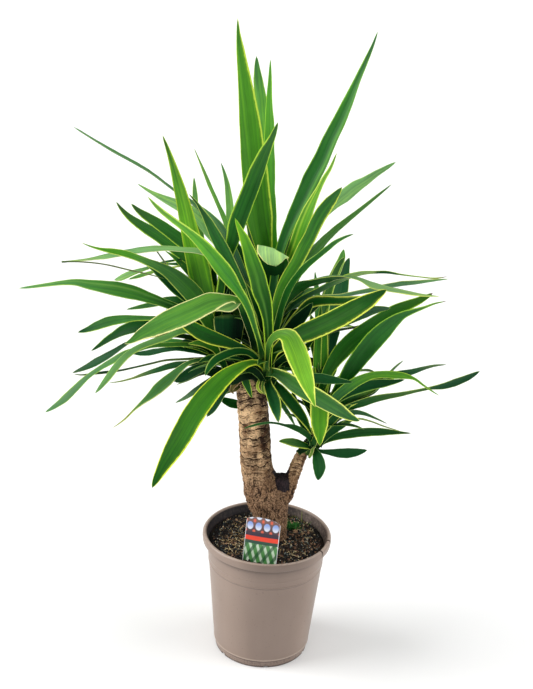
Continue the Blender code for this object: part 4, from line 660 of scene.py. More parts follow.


# These colours hold painted light and shade besides each blade's own colour: blades lying in shade are given darker
# colours and blades in full light lighter ones, leaf_b_folded is near black as painted shade, and the pale grey-green
# of blades such as leaf_a_left_flat and leaf_a_left_pale is a painted sheen.
LOOKS = {
    "leaf_a_bent_back": shade([(0.0, (12, 46, 16)), (0.55, (14, 54, 20)), (0.78, (40, 96, 34)), (0.84, (252, 286, 238)), (1.0, (252, 286, 238))], (2.2, 2.2), (250, 250, 160), wave=0.12, rim_from=0.66),
    "leaf_b_folded": shade([(0.0, (12, 34, 24)), (0.3, (14, 40, 28)), (0.6, (22, 56, 40)), (0.945, (28, 70, 44)), (0.965, (196, 208, 110)), (1.0, (206, 218, 116))], (1.6, 1.0), (206, 218, 116), wave=0.08, stripes=[(-0.55, 0.50, 0.0, 1.0, (8, 22, 22), 0.9)]),
    "leaf_a_tall": shade([(0.0, (28, 80, 14)), (0.28, (54, 120, 16)), (0.5, (74, 142, 26)), (0.72, (94, 166, 46)), (0.9, (86, 156, 48)), (1.0, (58, 120, 56))], (1.1, 3.6), (196, 226, 74), stripes=[(0.62, 0.26, 0.25, 1.0, (102, 168, 62), 0.75), (0.30, 0.05, 0.4, 0.85, (122, 186, 84), 0.5)]),
    "leaf_a_tall_back": shade([(26, 78, 14), (50, 112, 20), (106, 178, 64), (124, 190, 92), (68, 128, 82)], (1.6, 1.2), (168, 206, 74)),
    "leaf_a_tall_slim": shade([(30, 96, 10), (54, 128, 12), (70, 146, 28), (86, 156, 46), (76, 136, 48)], (1.2, 1.4), (150, 206, 50)),
    "leaf_a_right_tall": shade([(44, 98, 62), (36, 96, 50), (40, 106, 48), (40, 108, 48), (58, 124, 56), (44, 96, 66)], (1.8, 1.1), (132, 184, 52), stripes=[(-0.62, 0.22, 0.15, 0.85, (98, 158, 88), 0.8), (-0.30, 0.07, 0.2, 0.7, (96, 152, 96), 0.5)]),
    "leaf_a_right_slim": shade([(60, 120, 44), (112, 176, 62), (104, 170, 58), (120, 176, 66), (110, 150, 64)], (1.8, 1.4), (196, 222, 92), stripes=[(0.35, 0.08, 0.1, 0.8, (200, 224, 110), 0.7)]),
    "leaf_a_right_mid": shade([(40, 100, 24), (70, 138, 36), (68, 134, 48), (54, 124, 50), (42, 100, 52)], (1.4, 2.6), (200, 224, 80), stripes=[(0.5, 0.35, 0.0, 0.55, (98, 166, 52), 0.8)]),
    "leaf_a_right_pale": shade([(96, 150, 84), (134, 182, 126), (142, 190, 136), (108, 156, 112)], (1.0, 1.0), (170, 204, 124)),
    "leaf_a_right_long": shade([(36, 90, 44), (42, 96, 50), (60, 124, 28), (62, 126, 26), (66, 110, 58)], (1.0, 1.0), (142, 186, 60), stripes=[(-0.55, 0.3, 0.2, 1.0, (92, 138, 96), 0.7)]),
    "leaf_a_right_edge": shade([(20, 66, 26), (28, 80, 32), (34, 88, 36), (60, 104, 60)], (1.4, 0.8), (160, 198, 92)),
    "leaf_a_centre": shade([(22, 64, 12), (24, 68, 12), (36, 92, 18), (66, 138, 30), (120, 190, 40)], (2.2, 2.4), (176, 216, 58), stripes=[(0.18, 0.14, 0.1, 0.75, (88, 148, 62), 0.6)], fold=math.radians(8)),
    "leaf_a_front_left": shade([(40, 104, 40), (54, 126, 56), (84, 160, 66), (102, 176, 62), (102, 174, 70), (104, 152, 88)], (1.6, 3.0), (190, 226, 84), stripes=[(0.0, 0.25, 0.2, 0.6, (70, 140, 84), 0.5)]),
    "leaf_a_left_dark": shade([(14, 66, 22), (24, 92, 30), (36, 110, 38), (44, 112, 54), (44, 84, 50)], (1.0, 1.4), (176, 206, 92), dry=0.7, dry_mm=9),
    "leaf_a_left_pale": shade([(120, 170, 112), (146, 190, 138), (148, 194, 140), (128, 172, 120)], (0.8, 1.0), (178, 208, 140)),
    "leaf_a_left_far": shade([(60, 106, 72), (84, 132, 96), (86, 136, 98)], (0.3, 0.3), DULL),
    "leaf_a_back_left": shade([(60, 120, 50), (112, 170, 84), (118, 174, 90), (86, 134, 90)], (1.0, 1.0), (160, 200, 100)),
    "leaf_a_left_flat": shade([(112, 162, 104), (138, 176, 130), (134, 174, 128), (106, 154, 114), (156, 182, 128)], (0.9, 0.9), (206, 214, 150), dry=1.0, dry_mm=26),
    "leaf_a_right_front": shade([(22, 68, 20), (30, 84, 22), (40, 98, 22), (34, 90, 24), (20, 76, 26)], (1.8, 3.2), (222, 234, 88), stripes=[(-0.1, 0.35, 0.15, 0.75, (62, 118, 46), 0.5)]),
    "leaf_a_right_twist": shade([(0.0, (16, 64, 22)), (0.3, (26, 84, 26)), (0.58, (26, 86, 26)), (0.66, (150, 178, 146)), (0.82, (158, 186, 160)), (1.0, (168, 190, 136))], (1.8, 0.6), (214, 228, 108)),
    "leaf_a_right_flat": shade([(50, 100, 66), (98, 150, 120), (106, 154, 126), (92, 142, 108), (120, 168, 124)], (1.0, 1.4), (206, 218, 130)),
    "leaf_a_front_bent": shade([(40, 92, 30), (64, 112, 44), (112, 166, 62), (136, 190, 62), (140, 194, 66), (116, 172, 50)], (2.6, 3.2), (226, 238, 104), wave=0.04, rim_from=0.30),
    "leaf_a_right_low": shade([(40, 102, 22), (48, 112, 24), (44, 106, 30), (54, 108, 56), (32, 82, 48)], (2.8, 1.4), (216, 226, 112)),
    "leaf_a_right_dark": shade([(16, 66, 30), (20, 76, 40), (24, 78, 42), (20, 66, 34)], (0.8, 0.9), (120, 160, 84)),
    "leaf_a_hanging": shade([(18, 66, 30), (24, 76, 40), (34, 86, 54), (70, 120, 92)], (2.0, 1.0), (206, 220, 92)),
    "leaf_a_down_right": shade([(16, 66, 26), (18, 72, 26), (22, 78, 26), (20, 70, 28)], (1.4, 2.0), (196, 214, 84)),
    "leaf_a_big_droop": shade([(34, 90, 26), (96, 164, 40), (66, 132, 26), (54, 118, 24), (42, 102, 22), (24, 80, 20)], (3.0, 1.5), (216, 232, 66), stripes=[(0.1, 0.25, 0.25, 0.7, (66, 132, 32), 0.5)]),
    "leaf_a_left_arch": shade([(18, 62, 34), (20, 70, 34), (22, 74, 34), (30, 80, 40)], (1.0, 1.6), (154, 182, 84)),
    "leaf_a_left_under": shade([(20, 70, 34), (22, 78, 26), (26, 92, 18), (34, 100, 18)], (2.4, 1.0), (214, 226, 76)),
    "leaf_a_left_broad": shade([(0.0, (14, 50, 24)), (0.22, (20, 66, 30)), (0.34, (60, 118, 50)), (0.45, (98, 156, 70)), (0.65, (108, 170, 80)), (0.85, (96, 154, 80)), (1.0, (76, 132, 70))], (3.0, 1.3), (246, 246, 164), rim_from=0.26, stripes=[(-0.2, 0.18, 0.3, 1.0, (104, 166, 76), 0.6), (0.35, 0.12, 0.3, 1.0, (98, 160, 74), 0.5)]),
    "leaf_b_cross": shade([(24, 86, 18), (30, 102, 20), (32, 106, 30), (40, 110, 48), (48, 110, 46), (62, 112, 66)], (2.8, 1.3), (178, 220, 70), stripes=[(-0.45, 0.3, 0.1, 0.7, (26, 84, 18), 0.6)]),
    "leaf_b_upright": shade([(44, 104, 24), (58, 126, 18), (90, 156, 28), (142, 212, 70), (100, 168, 60), (66, 116, 48)], (1.6, 2.4), (182, 216, 58), stripes=[(-0.28, 0.10, 0.45, 0.85, (176, 216, 76), 0.7), (-0.55, 0.2, 0.35, 0.68, (128, 196, 36), 0.8)]),
    "leaf_b_left_upper": shade([(30, 84, 30), (44, 110, 30), (48, 118, 30), (42, 102, 40), (64, 90, 50)], (2.0, 0.8), (170, 208, 66)),
    "leaf_b_left_wide": shade([(24, 80, 24), (34, 104, 28), (40, 112, 32), (44, 112, 38), (62, 96, 50)], (1.8, 0.8), (170, 208, 66)),
    "leaf_b_left_bright": shade([(0.0, (26, 84, 20)), (0.25, (56, 122, 26)), (0.45, (72, 128, 70)), (0.62, (80, 134, 80)), (0.75, (72, 144, 20)), (0.92, (76, 150, 16)), (1.0, (90, 130, 60))], (1.8, 1.2), (188, 214, 96)),
    "leaf_b_far_left": shade([(0.0, (18, 66, 18)), (0.3, (22, 84, 20)), (0.45, (66, 132, 54)), (0.7, (80, 144, 74)), (1.0, (106, 156, 116))], (1.6, 0.9), (170, 206, 92), stripes=[(-0.35, 0.07, 0.3, 0.9, (140, 186, 120), 0.6)], wave=0.05),
    "leaf_b_left_drop": shade([(30, 78, 40), (60, 112, 66), (88, 146, 94), (76, 136, 78), (26, 76, 48)], (1.8, 0.8), (172, 206, 76)),
    "leaf_b_left_night": shade([(16, 66, 22), (14, 70, 20), (16, 76, 22), (12, 62, 22)], (0.8, 1.4), (150, 184, 90)),
    "leaf_b_left_turned": shade([(60, 112, 60), (84, 136, 74), (108, 152, 102), (106, 150, 102), (100, 146, 96)], (1.2, 1.2), (176, 204, 96)),
    "leaf_b_left_low": shade([(0.0, (50, 104, 40)), (0.3, (76, 132, 54)), (0.55, (96, 148, 92)), (0.75, (80, 128, 88)), (1.0, (86, 136, 92))], (1.2, 1.3), (170, 204, 84)),
    "leaf_b_left_lower": shade([(18, 66, 34), (22, 76, 42), (30, 80, 48), (96, 110, 66), (84, 92, 56)], (0.7, 1.0), (146, 168, 76)),
    "leaf_b_tail": shade([(0.0, (30, 76, 40)), (0.3, (84, 138, 92)), (0.55, (82, 136, 88)), (0.75, (96, 146, 96)), (0.85, (100, 116, 76)), (1.0, (90, 104, 64))], (1.8, 0.8), (206, 216, 130), stripes=[(-0.05, 0.16, 0.2, 0.7, (52, 104, 58), 0.7)]),
    "leaf_b_dark_bow": shade([(16, 58, 34), (22, 70, 46), (26, 76, 50), (24, 70, 40)], (0.8, 0.8), (110, 150, 90)),
    "leaf_b_under": shade([(18, 64, 26), (22, 74, 26), (24, 74, 28)], (0.8, 0.8), (90, 130, 60)),
    "leaf_c_up_light": shade([(40, 92, 40), (88, 146, 64), (92, 154, 70), (84, 150, 58)], (1.6, 1.4), (186, 212, 110)),
    "leaf_c_up_dark": shade([(14, 72, 36), (18, 82, 44), (22, 88, 50), (18, 80, 44)], (1.7, 0.9), (180, 206, 96)),
    "leaf_c_right_upper": shade([(28, 86, 28), (40, 100, 28), (32, 98, 16), (40, 104, 14), (58, 112, 14)], (1.2, 1.8), (170, 206, 64), stripes=[(-0.4, 0.3, 0.0, 0.4, (56, 112, 40), 0.6)], dry=0.9, dry_mm=10),
    "leaf_c_right_big": shade([(16, 78, 20), (18, 86, 20), (28, 100, 28), (44, 114, 48), (50, 112, 60), (96, 124, 92)], (2.0, 1.4), (146, 196, 60), stripes=[(-0.5, 0.35, 0.1, 0.5, (16, 78, 20), 0.6)], dry=0.9, dry_mm=14),
    "leaf_c_right_arch": shade([(0.0, (24, 82, 24)), (0.3, (44, 110, 50)), (0.5, (82, 146, 32)), (0.78, (84, 146, 32)), (1.0, (96, 150, 84))], (1.3, 1.3), (160, 200, 60)),
    "leaf_c_right_long": shade([(0.0, (18, 74, 24)), (0.35, (22, 88, 26)), (0.6, (70, 110, 40)), (0.75, (30, 84, 56)), (1.0, (24, 74, 48))], (1.5, 0.8), (170, 196, 90)),
    "leaf_c_right_low": shade([(20, 70, 24), (20, 76, 26), (20, 74, 26), (18, 66, 26)], (0.8, 1.3), (160, 190, 84)),
    "leaf_c_right_foot": shade([(24, 72, 34), (26, 76, 44), (30, 78, 48)], (0.8, 0.8), (90, 130, 76)),
    "leaf_c_hanging": shade([(26, 74, 34), (36, 88, 50), (40, 92, 54), (34, 80, 48)], (0.9, 0.9), (110, 150, 84)),
    "leaf_c_left_foot": shade([(24, 72, 24), (34, 88, 26), (60, 112, 40), (84, 130, 56)], (1.8, 0.8), (190, 210, 80)),
    "leaf_c_left_thread": shade([(34, 84, 40), (44, 94, 56), (50, 98, 62), (46, 94, 56)], (0.5, 0.6), (120, 160, 100)),
    "leaf_c_front_bent": shade([(56, 112, 56), (98, 168, 40), (126, 194, 44), (132, 200, 46), (128, 196, 46)], (2.8, 2.8), (222, 236, 92), wave=0.04),
}

# Slimmer and inner leaves drawn here only: crown, stations, depth, roll, side, look. The inner ones are coloured near
# black as painted shade inside the crowns.
MORE = [
    ("a", [(242, 300.3, 1.5), (238.5, 302.2, 6), (234.5, 304.2, 10), (229, 306.6, 12), (223.5, 308.2, 8), (219, 309.6, 3), (215, 311, 0)], [-3.4, -4.0, -4.8, -5.6, -6.2, -6.6, -7.0], 0, 1, shade([(120, 170, 100), (140, 184, 124), (130, 176, 110)], (2.4, 1.4), (248, 246, 170), clasp=0.0, foot=0.0, deep=0.0, dry=0.1)),
    ("a", [(262, 384, 8), (257, 375, 13), (250, 372, 16), (242, 374, 15), (235, 380, 9), (230, 385, 0)], [-1.9, -2.3, -2.5, -2.5, -2.3, -2.1], 0, 1, shade([(6, 22, 12), (6, 26, 14), (10, 34, 18)], (0.5, 0.5), (30, 56, 28), dry=0.3, deep=0.1)),
    ("a", [(263, 381, 5), (258, 374, 7), (251, 369.5, 7.5), (244, 370.5, 6), (238, 375, 0)], [-2.2, -2.7, -3.0, -3.0, -2.8], 0, 1, shade([(10, 34, 16), (12, 40, 20), (18, 54, 26)], (0.7, 0.7), (104, 136, 62), deep=0.1)),
    ("a", [(268, 375, 8), (273, 366, 12), (280, 357, 13), (287, 348, 11), (292, 340, 7), (296, 333, 0)], (0.0, 1.2), 0, 1, shade([(8, 30, 14), (10, 38, 18), (14, 48, 24)], (1.0, 1.0), (150, 190, 70), deep=0.2)),
    ("a", [(270, 378, 6), (278, 371, 10), (288, 363, 12), (298, 355, 10), (306, 347, 7), (314, 339, 0)], (0.2, 1.6), 0, 1, shade([(8, 30, 14), (12, 44, 20), (18, 58, 28)], (1.0, 1.1), (150, 190, 70), deep=0.2)),
    ("a", [(262, 392, 7), (264, 383, 10), (267, 375, 11), (270, 367, 9), (273, 358, 0)], [-1.3, -1.4, -1.5, -1.5, -1.4], 0, 1, shade([(26, 64, 26), (20, 60, 24), (18, 56, 24)], (0.8, 0.8), (130, 166, 70))),
    ("a", [(268, 394, 6), (270, 386, 8), (274, 378, 8), (279, 371, 6), (285, 366, 0)], [-1.2, -1.3, -1.4, -1.4, -1.3], 0, 1, shade([(20, 54, 26), (16, 50, 24), (18, 56, 24)], (0.8, 0.8), (120, 156, 70))),
    ("a", [(261.5, 378, 2.2), (258.5, 382, 3), (257.5, 387, 3.2), (260, 391.5, 2.6), (264, 393.5, 0)], [-2.0, -2.4, -2.6, -2.6, -2.4], 0, 1, shade([(110, 140, 50), (170, 186, 70), (140, 160, 64)], (0.7, 0.7), (214, 216, 110), wave=0.25)),
    ("a", [(265, 379, 2.6), (262.5, 385, 3.4), (263, 391, 2.8), (266, 395, 0)], [-1.8, -2.2, -2.3, -2.2], 0, 1, shade([(60, 100, 40), (96, 132, 50), (130, 150, 60)], (0.7, 0.7), (190, 200, 100), wave=0.2)),
    ("a", [(242, 378, 4), (237, 382, 5.5), (233, 386.5, 5), (231.5, 391, 3), (234, 394, 0)], [-1.5, -1.9, -2.0, -2.0, -1.9], 10, 1, shade([(96, 70, 44), (130, 96, 60), (90, 64, 42)], (0.6, 0.6), (190, 160, 120), wave=0.3, dry=0.9, dry_mm=12)),
    ("a", [(240, 386, 3), (235.5, 389.5, 4.5), (231, 390.5, 3.5), (228.5, 388, 0)], [-1.7, -2.0, -2.0, -1.8], 10, 1, shade([(84, 60, 40), (120, 90, 58), (60, 50, 36)], (0.5, 0.5), (180, 150, 110), wave=0.3, dry=0.8, dry_mm=8)),
    ("c", [(298, 453, 5), (303, 449, 8), (309, 445, 9), (315, 440, 7), (320, 433, 0)], [-0.6, -0.8, -0.9, -0.8, -0.6], 0, 1, shade([(16, 40, 20), (14, 44, 22), (20, 60, 28)], (0.6, 0.6), (90, 120, 60))),
    ("c", [(307, 455, 4), (310, 450.5, 6), (313, 444, 7), (316, 437, 6), (318, 430, 0)], [-0.6, -0.9, -1.0, -0.9, -0.7], 0, 1, shade([(60, 96, 44), (44, 90, 38), (30, 76, 32)], (0.7, 0.7), (176, 196, 96), deep=0.0)),
    ("c", [(309, 458, 2.4), (311, 454.5, 3.4), (312.5, 450, 3.2), (314, 446, 0)], [-0.9, -1.1, -1.2, -1.1], 0, 1, shade([(150, 166, 90), (130, 160, 70), (80, 130, 50)], (0.6, 0.6), (214, 216, 130), wave=0.2)),
    ("a", [(272, 352, 5), (280, 341, 9), (289, 331, 12.5), (298, 320.5, 14), (306, 311.5, 10), (313, 302.5, 0)], (-0.3, -1.5), 0, 1, shade([(6, 30, 18), (6, 34, 24), (8, 40, 28), (12, 48, 32)], (0.9, 0.9), (150, 184, 92), deep=0.2)),
    ("a", [(262, 372, 9), (258, 362, 12), (253, 350, 14), (247, 338, 14), (241, 326, 11), (236, 316, 0)], (1.4, 3.0), 0, 1, shade([(8, 30, 16), (10, 38, 22), (14, 46, 28), (20, 56, 34)], (0.7, 0.7), (70, 110, 50))),
    ("a", [(258, 376, 9), (251, 368, 13), (243, 360, 15), (234, 353, 14), (225, 347, 10), (216, 343, 0)], (0.9, 2.2), 0, 1, shade([(8, 30, 14), (12, 42, 20), (16, 54, 26), (22, 62, 30)], (0.8, 0.8), (90, 130, 60))),
    ("a", [(266, 362, 9), (272, 350, 13), (279, 338, 14), (286, 326, 13), (292, 312, 9), (297, 300, 0)], (1.6, 4.0), 0, 1, shade([(8, 30, 14), (10, 40, 20), (14, 50, 26), (22, 64, 36)], (0.8, 0.8), (80, 120, 60))),
    ("a", [(268, 374, 8), (278, 368, 12), (290, 364, 13), (302, 362, 12), (314, 362, 8), (324, 364, 0)], (1.4, 2.8), 0, 1, shade([(8, 30, 14), (10, 40, 18), (14, 48, 24)], (0.8, 0.8), (80, 120, 60))),
    ("a", [(262, 350, 9), (262, 330, 14), (262, 308, 16), (262, 286, 15), (261, 268, 10), (260, 254, 0)], (2.4, 5.0), 0, 1, shade([(6, 26, 12), (8, 34, 14), (10, 42, 16), (18, 58, 24)], (0.7, 0.7), (80, 120, 50))),
    ("b", [(236, 380, 9), (231, 370, 13), (227, 358, 15), (224, 344, 14), (222, 330, 10), (221, 316, 0)], (1.2, 2.2), 0, 1, shade([(8, 28, 18), (10, 36, 24), (14, 44, 32), (18, 50, 36)], (0.6, 0.6), (70, 104, 60))),
    ("b", [(240, 384, 8), (232, 378, 11), (222, 374, 13), (212, 371, 12), (202, 370, 8), (193, 371, 0)], (1.4, 2.6), 0, 1, shade([(8, 28, 16), (10, 38, 22), (14, 46, 26)], (0.6, 0.6), (80, 116, 60))),
    ("b", [(228, 368, 8), (219, 358, 12), (209, 350, 13), (199, 345, 12), (190, 342, 8), (181, 341, 0)], (2.4, 4.6), 0, 1, shade([(8, 30, 16), (12, 42, 24), (16, 52, 30)], (0.7, 0.7), (90, 126, 64))),
    ("b", [(222, 350, 8), (212, 334, 12), (203, 320, 13), (195, 308, 12), (188, 298, 8), (182, 290, 0)], (3.0, 5.6), 0, 1, shade([(8, 30, 14), (10, 40, 18), (16, 54, 26)], (0.7, 0.7), (80, 120, 54))),
    ("b", [(222, 345, 8), (223, 322, 13), (224, 300, 14), (224, 278, 13), (224, 262, 9), (223, 248, 0)], (3.4, 6.6), 0, 1, shade([(8, 28, 16), (10, 38, 22), (18, 52, 34)], (0.7, 0.7), (80, 116, 60))),
    ("b", [(232, 352, 8), (236, 332, 13), (240, 312, 14), (243, 292, 13), (245, 276, 9), (246, 262, 0)], (3.0, 5.6), 0, 1, shade([(6, 26, 14), (8, 34, 20), (14, 48, 30)], (0.7, 0.7), (70, 110, 54))),
    ("a", [(205, 270, 6), (199, 225, 7), (195.5, 205, 6), (195, 195, 5.5), (194.5, 187, 4), (194, 177, 0)], (2.6, 10.0), 20, 1, shade([(60, 116, 60), (112, 168, 90), (96, 148, 92)], (0.8, 0.8))),
    ("a", [(232, 300, 7), (228, 250, 6), (225, 222, 5), (218, 205, 4.5), (210, 187, 4), (204, 172, 3), (199, 160, 1.8), (194, 148, 0)], (2.6, 13.0), 62, 1, shade([(40, 100, 30), (96, 160, 60), (110, 168, 78), (120, 160, 84)], (0.5, 0.5))),
    ("a", [(258, 330, 6), (245, 280, 8), (235, 255, 9), (226, 236, 8.5), (219, 225, 7), (210, 215, 4.5), (199, 205, 0)], (0.6, 6.0), 30, 1, shade([(40, 90, 70), (74, 122, 104), (96, 144, 110)], (1.2, 0.8))),
    ("a", [(285, 312, 4), (300, 300, 5), (320, 290, 6), (335, 282, 6), (350, 276.5, 5.5), (362, 273.5, 4.5), (374, 272.5, 3), (386, 272.3, 3.2), (400, 274.5, 1.8), (420, 277, 1.3), (436, 278.3, 1.6), (448, 276.5, 0)], (0.8, 5.5), 45, -1, shade([(0.0, (40, 84, 56)), (0.30, (62, 108, 76)), (0.42, (142, 174, 136)), (0.54, (144, 174, 136)), (0.57, (30, 76, 46)), (0.68, (30, 80, 46)), (0.74, (120, 160, 110)), (1.0, (150, 150, 110))], (0.6, 0.6), dry=1.0, dry_mm=20)),
    ("a", [(290, 350, 8), (310, 335, 8), (335, 325, 9), (352, 318, 10), (365, 312.5, 11), (376, 309.5, 8), (391, 308, 0)], (0.6, 2.0), 25, 1, shade([(30, 72, 52), (54, 98, 84), (62, 106, 92), (70, 110, 90)], (0.8, 0.8))),
    ("a", [(285, 340, 3), (302, 338, 3), (318, 335, 3), (340, 329.5, 2.8), (355, 327, 2.5), (370, 323.5, 0)], (1.4, 3.5), 60, 1, shade([(16, 44, 26), (24, 56, 38), (30, 60, 40)], (0.3, 0.3))),
    ("a", [(240, 366, 8), (244, 376, 8), (246, 382, 8), (249, 390, 5.5), (252, 398, 0)], [-1.9, -2.3, -2.5, -2.7, -2.8], 10, 1, shade([(18, 60, 26), (34, 84, 36), (36, 86, 40)], (0.8, 0.8))),
    ("a", [(278, 345, 7), (285, 332, 8), (298, 315, 10), (312, 302, 11), (325, 300.5, 10), (340, 300.5, 9), (355, 299, 7), (366, 297.5, 4), (375, 296, 0)], (0.2, -1.0), 20, 1, shade([(10, 44, 22), (12, 60, 22), (16, 88, 20), (60, 130, 40)], (2.6, 2.4), (216, 226, 92))),
    ("a", [(262, 335, 5), (258, 312, 6), (252, 300, 7), (248, 290, 6), (244, 282, 0)], (-0.2, -1.5), 30, 1, shade([(14, 50, 24), (16, 60, 26), (50, 100, 30)], (1.2, 1.2), (190, 206, 90))),
    ("a", [(272, 345, 5), (279, 325, 8), (286, 310, 9), (293, 300, 9), (300, 293, 7), (306, 289, 0)], (0.8, 3.0), 30, 1, shade([(12, 44, 22), (20, 64, 36), (60, 110, 80)], (1.0, 1.0), (150, 186, 110))),
    ("a", [(271, 350, 5), (281, 335, 7), (294, 322, 9), (306, 313, 9), (316, 306, 6), (324, 300, 0)], (0.0, 0.8), 25, 1, shade([(10, 40, 22), (14, 56, 30), (30, 76, 50)], (1.3, 1.0), (160, 190, 100))),
    ("a", [(271, 352, 4), (278, 340, 5), (290, 325, 6), (303, 312, 6), (312, 305, 0)], (1.2, 3.0), -40, 1, shade([(12, 44, 26), (24, 66, 46), (60, 100, 80)], (1.0, 1.3), (160, 190, 100))),
    ("a", [(270, 372, 5), (279, 362, 7), (292, 354, 9), (300, 351, 8), (306, 349.5, 5), (311, 349, 0)], (-0.6, -2.0), 20, 1, shade([(10, 40, 20), (14, 54, 26), (20, 66, 34)], (1.0, 1.0), (140, 176, 84))),
    ("a", [(262, 352, 6), (255, 335, 8), (249, 320, 9), (246, 306, 8), (243, 292, 0)], (0.2, 1.5), 20, 1, shade([(10, 36, 20), (12, 46, 26), (16, 60, 34)], (0.9, 0.9), (110, 150, 80))),
    ("a", [(268, 330, 7), (270, 300, 10), (272, 275, 12), (274, 255, 10), (276, 238, 0)], (1.8, 5.0), 15, 1, shade([(8, 34, 16), (10, 44, 18), (18, 60, 26)], (1.0, 1.0), (110, 160, 60))),
    ("a", [(264, 335, 7), (258, 305, 10), (250, 280, 12), (243, 262, 11), (238, 248, 7), (232, 236, 0)], (1.4, 6.0), 20, 1, shade([(8, 36, 18), (12, 48, 26), (26, 76, 40)], (1.0, 1.2), (120, 166, 70))),
    ("b", [(212, 340, 7), (196, 306, 9), (184, 296, 10), (174, 288, 10.5), (164, 278.5, 9.5), (155, 270, 6.5), (144, 262, 0)], (1.4, 3.6), 35, 1, shade([(12, 50, 24), (16, 62, 36), (20, 72, 40), (36, 90, 50)], (1.6, 1.2), (160, 200, 96))),
    ("b", [(216, 366, 4), (206, 367, 8), (198, 369.5, 11), (189, 374, 11.5), (181, 378.5, 9), (174, 381.5, 0)], (2.0, 3.0), 20, 1, shade([(16, 54, 30), (22, 66, 38), (20, 66, 38), (16, 56, 28)], (0.9, 0.9), (110, 140, 80))),
    ("b", [(182, 259, 2), (165, 262, 3), (147, 268, 3.5), (136, 271.5, 5), (128, 274.5, 6.5), (121, 277.5, 6), (114, 280, 0)], (4.0, 6.0), 40, -1, shade([(30, 70, 46), (60, 110, 70), (124, 168, 120), (140, 180, 130)], (0.6, 0.6))),
    ("b", [(182, 266, 2), (160, 270, 2), (150, 273, 3.5), (140, 276, 4.5), (128, 279.5, 0)], (3.5, 4.8), 50, 1, shade([(190, 206, 90), (170, 196, 90), (92, 146, 70), (70, 126, 66)], (0.9, 0.9), (200, 214, 96))),
    ("b", [(220, 266, 4), (205, 262, 4), (185, 264, 4.5), (175, 264, 3), (160, 264, 0)], (3.2, 5.5), 45, 1, shade([(12, 50, 28), (14, 54, 30), (60, 96, 70)], (0.4, 0.4))),
    ("b", [(215, 335, 6), (195, 310, 7), (178, 300.5, 8), (165, 301, 8), (152, 304.5, 6), (140, 307, 4.5), (126, 309.5, 0)], (2.0, 3.0), 30, 1, shade([(20, 60, 34), (44, 96, 60), (40, 100, 44), (44, 104, 40)], (0.9, 1.0), (160, 196, 84))),
    ("b", [(215, 350, 4), (190, 338, 5), (165, 335, 5), (140, 338.5, 4), (128, 343, 3.5), (117, 350, 5.5), (106, 357, 7.5), (96, 362.5, 8), (86, 367.5, 5.5), (72, 373, 0)], (1.4, 2.6), 45, 1, shade([(0.0, (16, 56, 28)), (0.5, (60, 80, 54)), (0.65, (36, 82, 56)), (0.9, (36, 84, 54)), (1.0, (70, 90, 60))], (0.8, 0.8), (130, 150, 80))),
    ("b", [(217, 359, 4), (200, 359, 3), (180, 359.5, 2.4), (165, 360.5, 2.2), (150, 364, 2), (135, 367.5, 2), (118, 371, 2.2), (105, 372.5, 3), (92, 374, 2.2), (80, 375, 1.4), (73, 374, 0)], (2.6, 3.4), 60, 1, shade([(60, 90, 40), (120, 132, 76), (90, 104, 66), (60, 90, 60), (40, 70, 50), (120, 130, 90)], (0.4, 0.4), DULL)),
    ("b", [(212, 372, 2), (200, 375, 2), (188, 380, 2.5), (176, 385, 0)], (2.6, 3.4), 50, 1, shade([(60, 80, 50), (110, 124, 80), (120, 130, 90)], (0.4, 0.4), DULL)),
    ("b", [(232, 365, 4), (225, 372, 5), (213, 379, 6), (203, 386, 7), (194, 392, 6), (185, 398, 4), (175, 403, 0)], (2.0, 3.0), 35, 1, shade([(26, 66, 44), (46, 86, 66), (60, 104, 80), (90, 124, 100)], (0.6, 0.6), DULL)),
    ("b", [(238, 372, 5), (232, 385, 5), (224.5, 392, 6), (218.5, 400, 8), (212.5, 409, 7.5), (206.5, 417, 0)], (2.2, 2.6), 30, 1, shade([(18, 56, 34), (26, 66, 46), (36, 76, 56)], (0.7, 0.7), DULL)),
    ("b", [(252, 384, 4), (243, 386, 5), (236, 388.5, 6), (228, 391, 5), (219, 396, 0)], (2.6, 3.4), 20, 1, shade([(16, 52, 28), (22, 62, 34), (34, 72, 44)], (0.6, 0.6), DULL)),
    ("b", [(61.5, 261.5, 1.2), (80, 261.6, 1.5), (100, 263.5, 1.5), (130, 270, 1.6), (150, 274.5, 1.4), (165, 279, 0)], (2.2, 3.0), 60, 1, shade([(90, 96, 70), (110, 112, 80), (140, 150, 96)], (0.2, 0.2), DULL)),
    ("b", [(157, 251, 1.0), (162, 258, 1.8), (169, 268, 1.4), (178, 282, 0)], (1.2, 2.0), 60, 1, shade([(110, 116, 90), (90, 100, 74), (110, 120, 90)], (0.2, 0.2), DULL)),
    ("b", [(222, 355, 6), (216, 340, 9), (208, 325, 10), (200, 312, 9), (192, 303, 0)], (1.2, 0.6), 20, 1, shade([(18, 60, 22), (26, 80, 24), (60, 120, 30)], (1.2, 1.2), (170, 200, 70))),
    ("b", [(223, 352, 5), (224, 335, 8), (226, 318, 9), (228, 300, 9), (230, 285, 0)], (0.8, 2.0), 15, 1, shade([(12, 42, 28), (20, 62, 46), (16, 52, 36)], (0.9, 0.9), (100, 140, 80))),
    ("b", [(220, 350, 6), (214, 325, 9), (213, 300, 10), (213, 280, 9), (214, 262, 0)], (2.6, 5.0), 20, 1, shade([(10, 44, 20), (14, 58, 24), (30, 80, 30)], (1.2, 1.2), (150, 186, 70))),
    ("b", [(224, 350, 6), (229, 322, 9), (233, 296, 10), (236, 276, 9), (238, 258, 0)], (2.8, 6.0), 20, 1, shade([(10, 42, 26), (18, 58, 40), (40, 84, 60)], (1.0, 1.0), (120, 160, 84))),
    ("b", [(218, 356, 5), (208, 342, 7), (197, 333, 8), (186, 330, 7), (176, 330, 0)], (2.4, 4.2), 30, 1, shade([(14, 50, 26), (20, 66, 34), (26, 76, 34)], (1.0, 1.0), (150, 186, 80))),
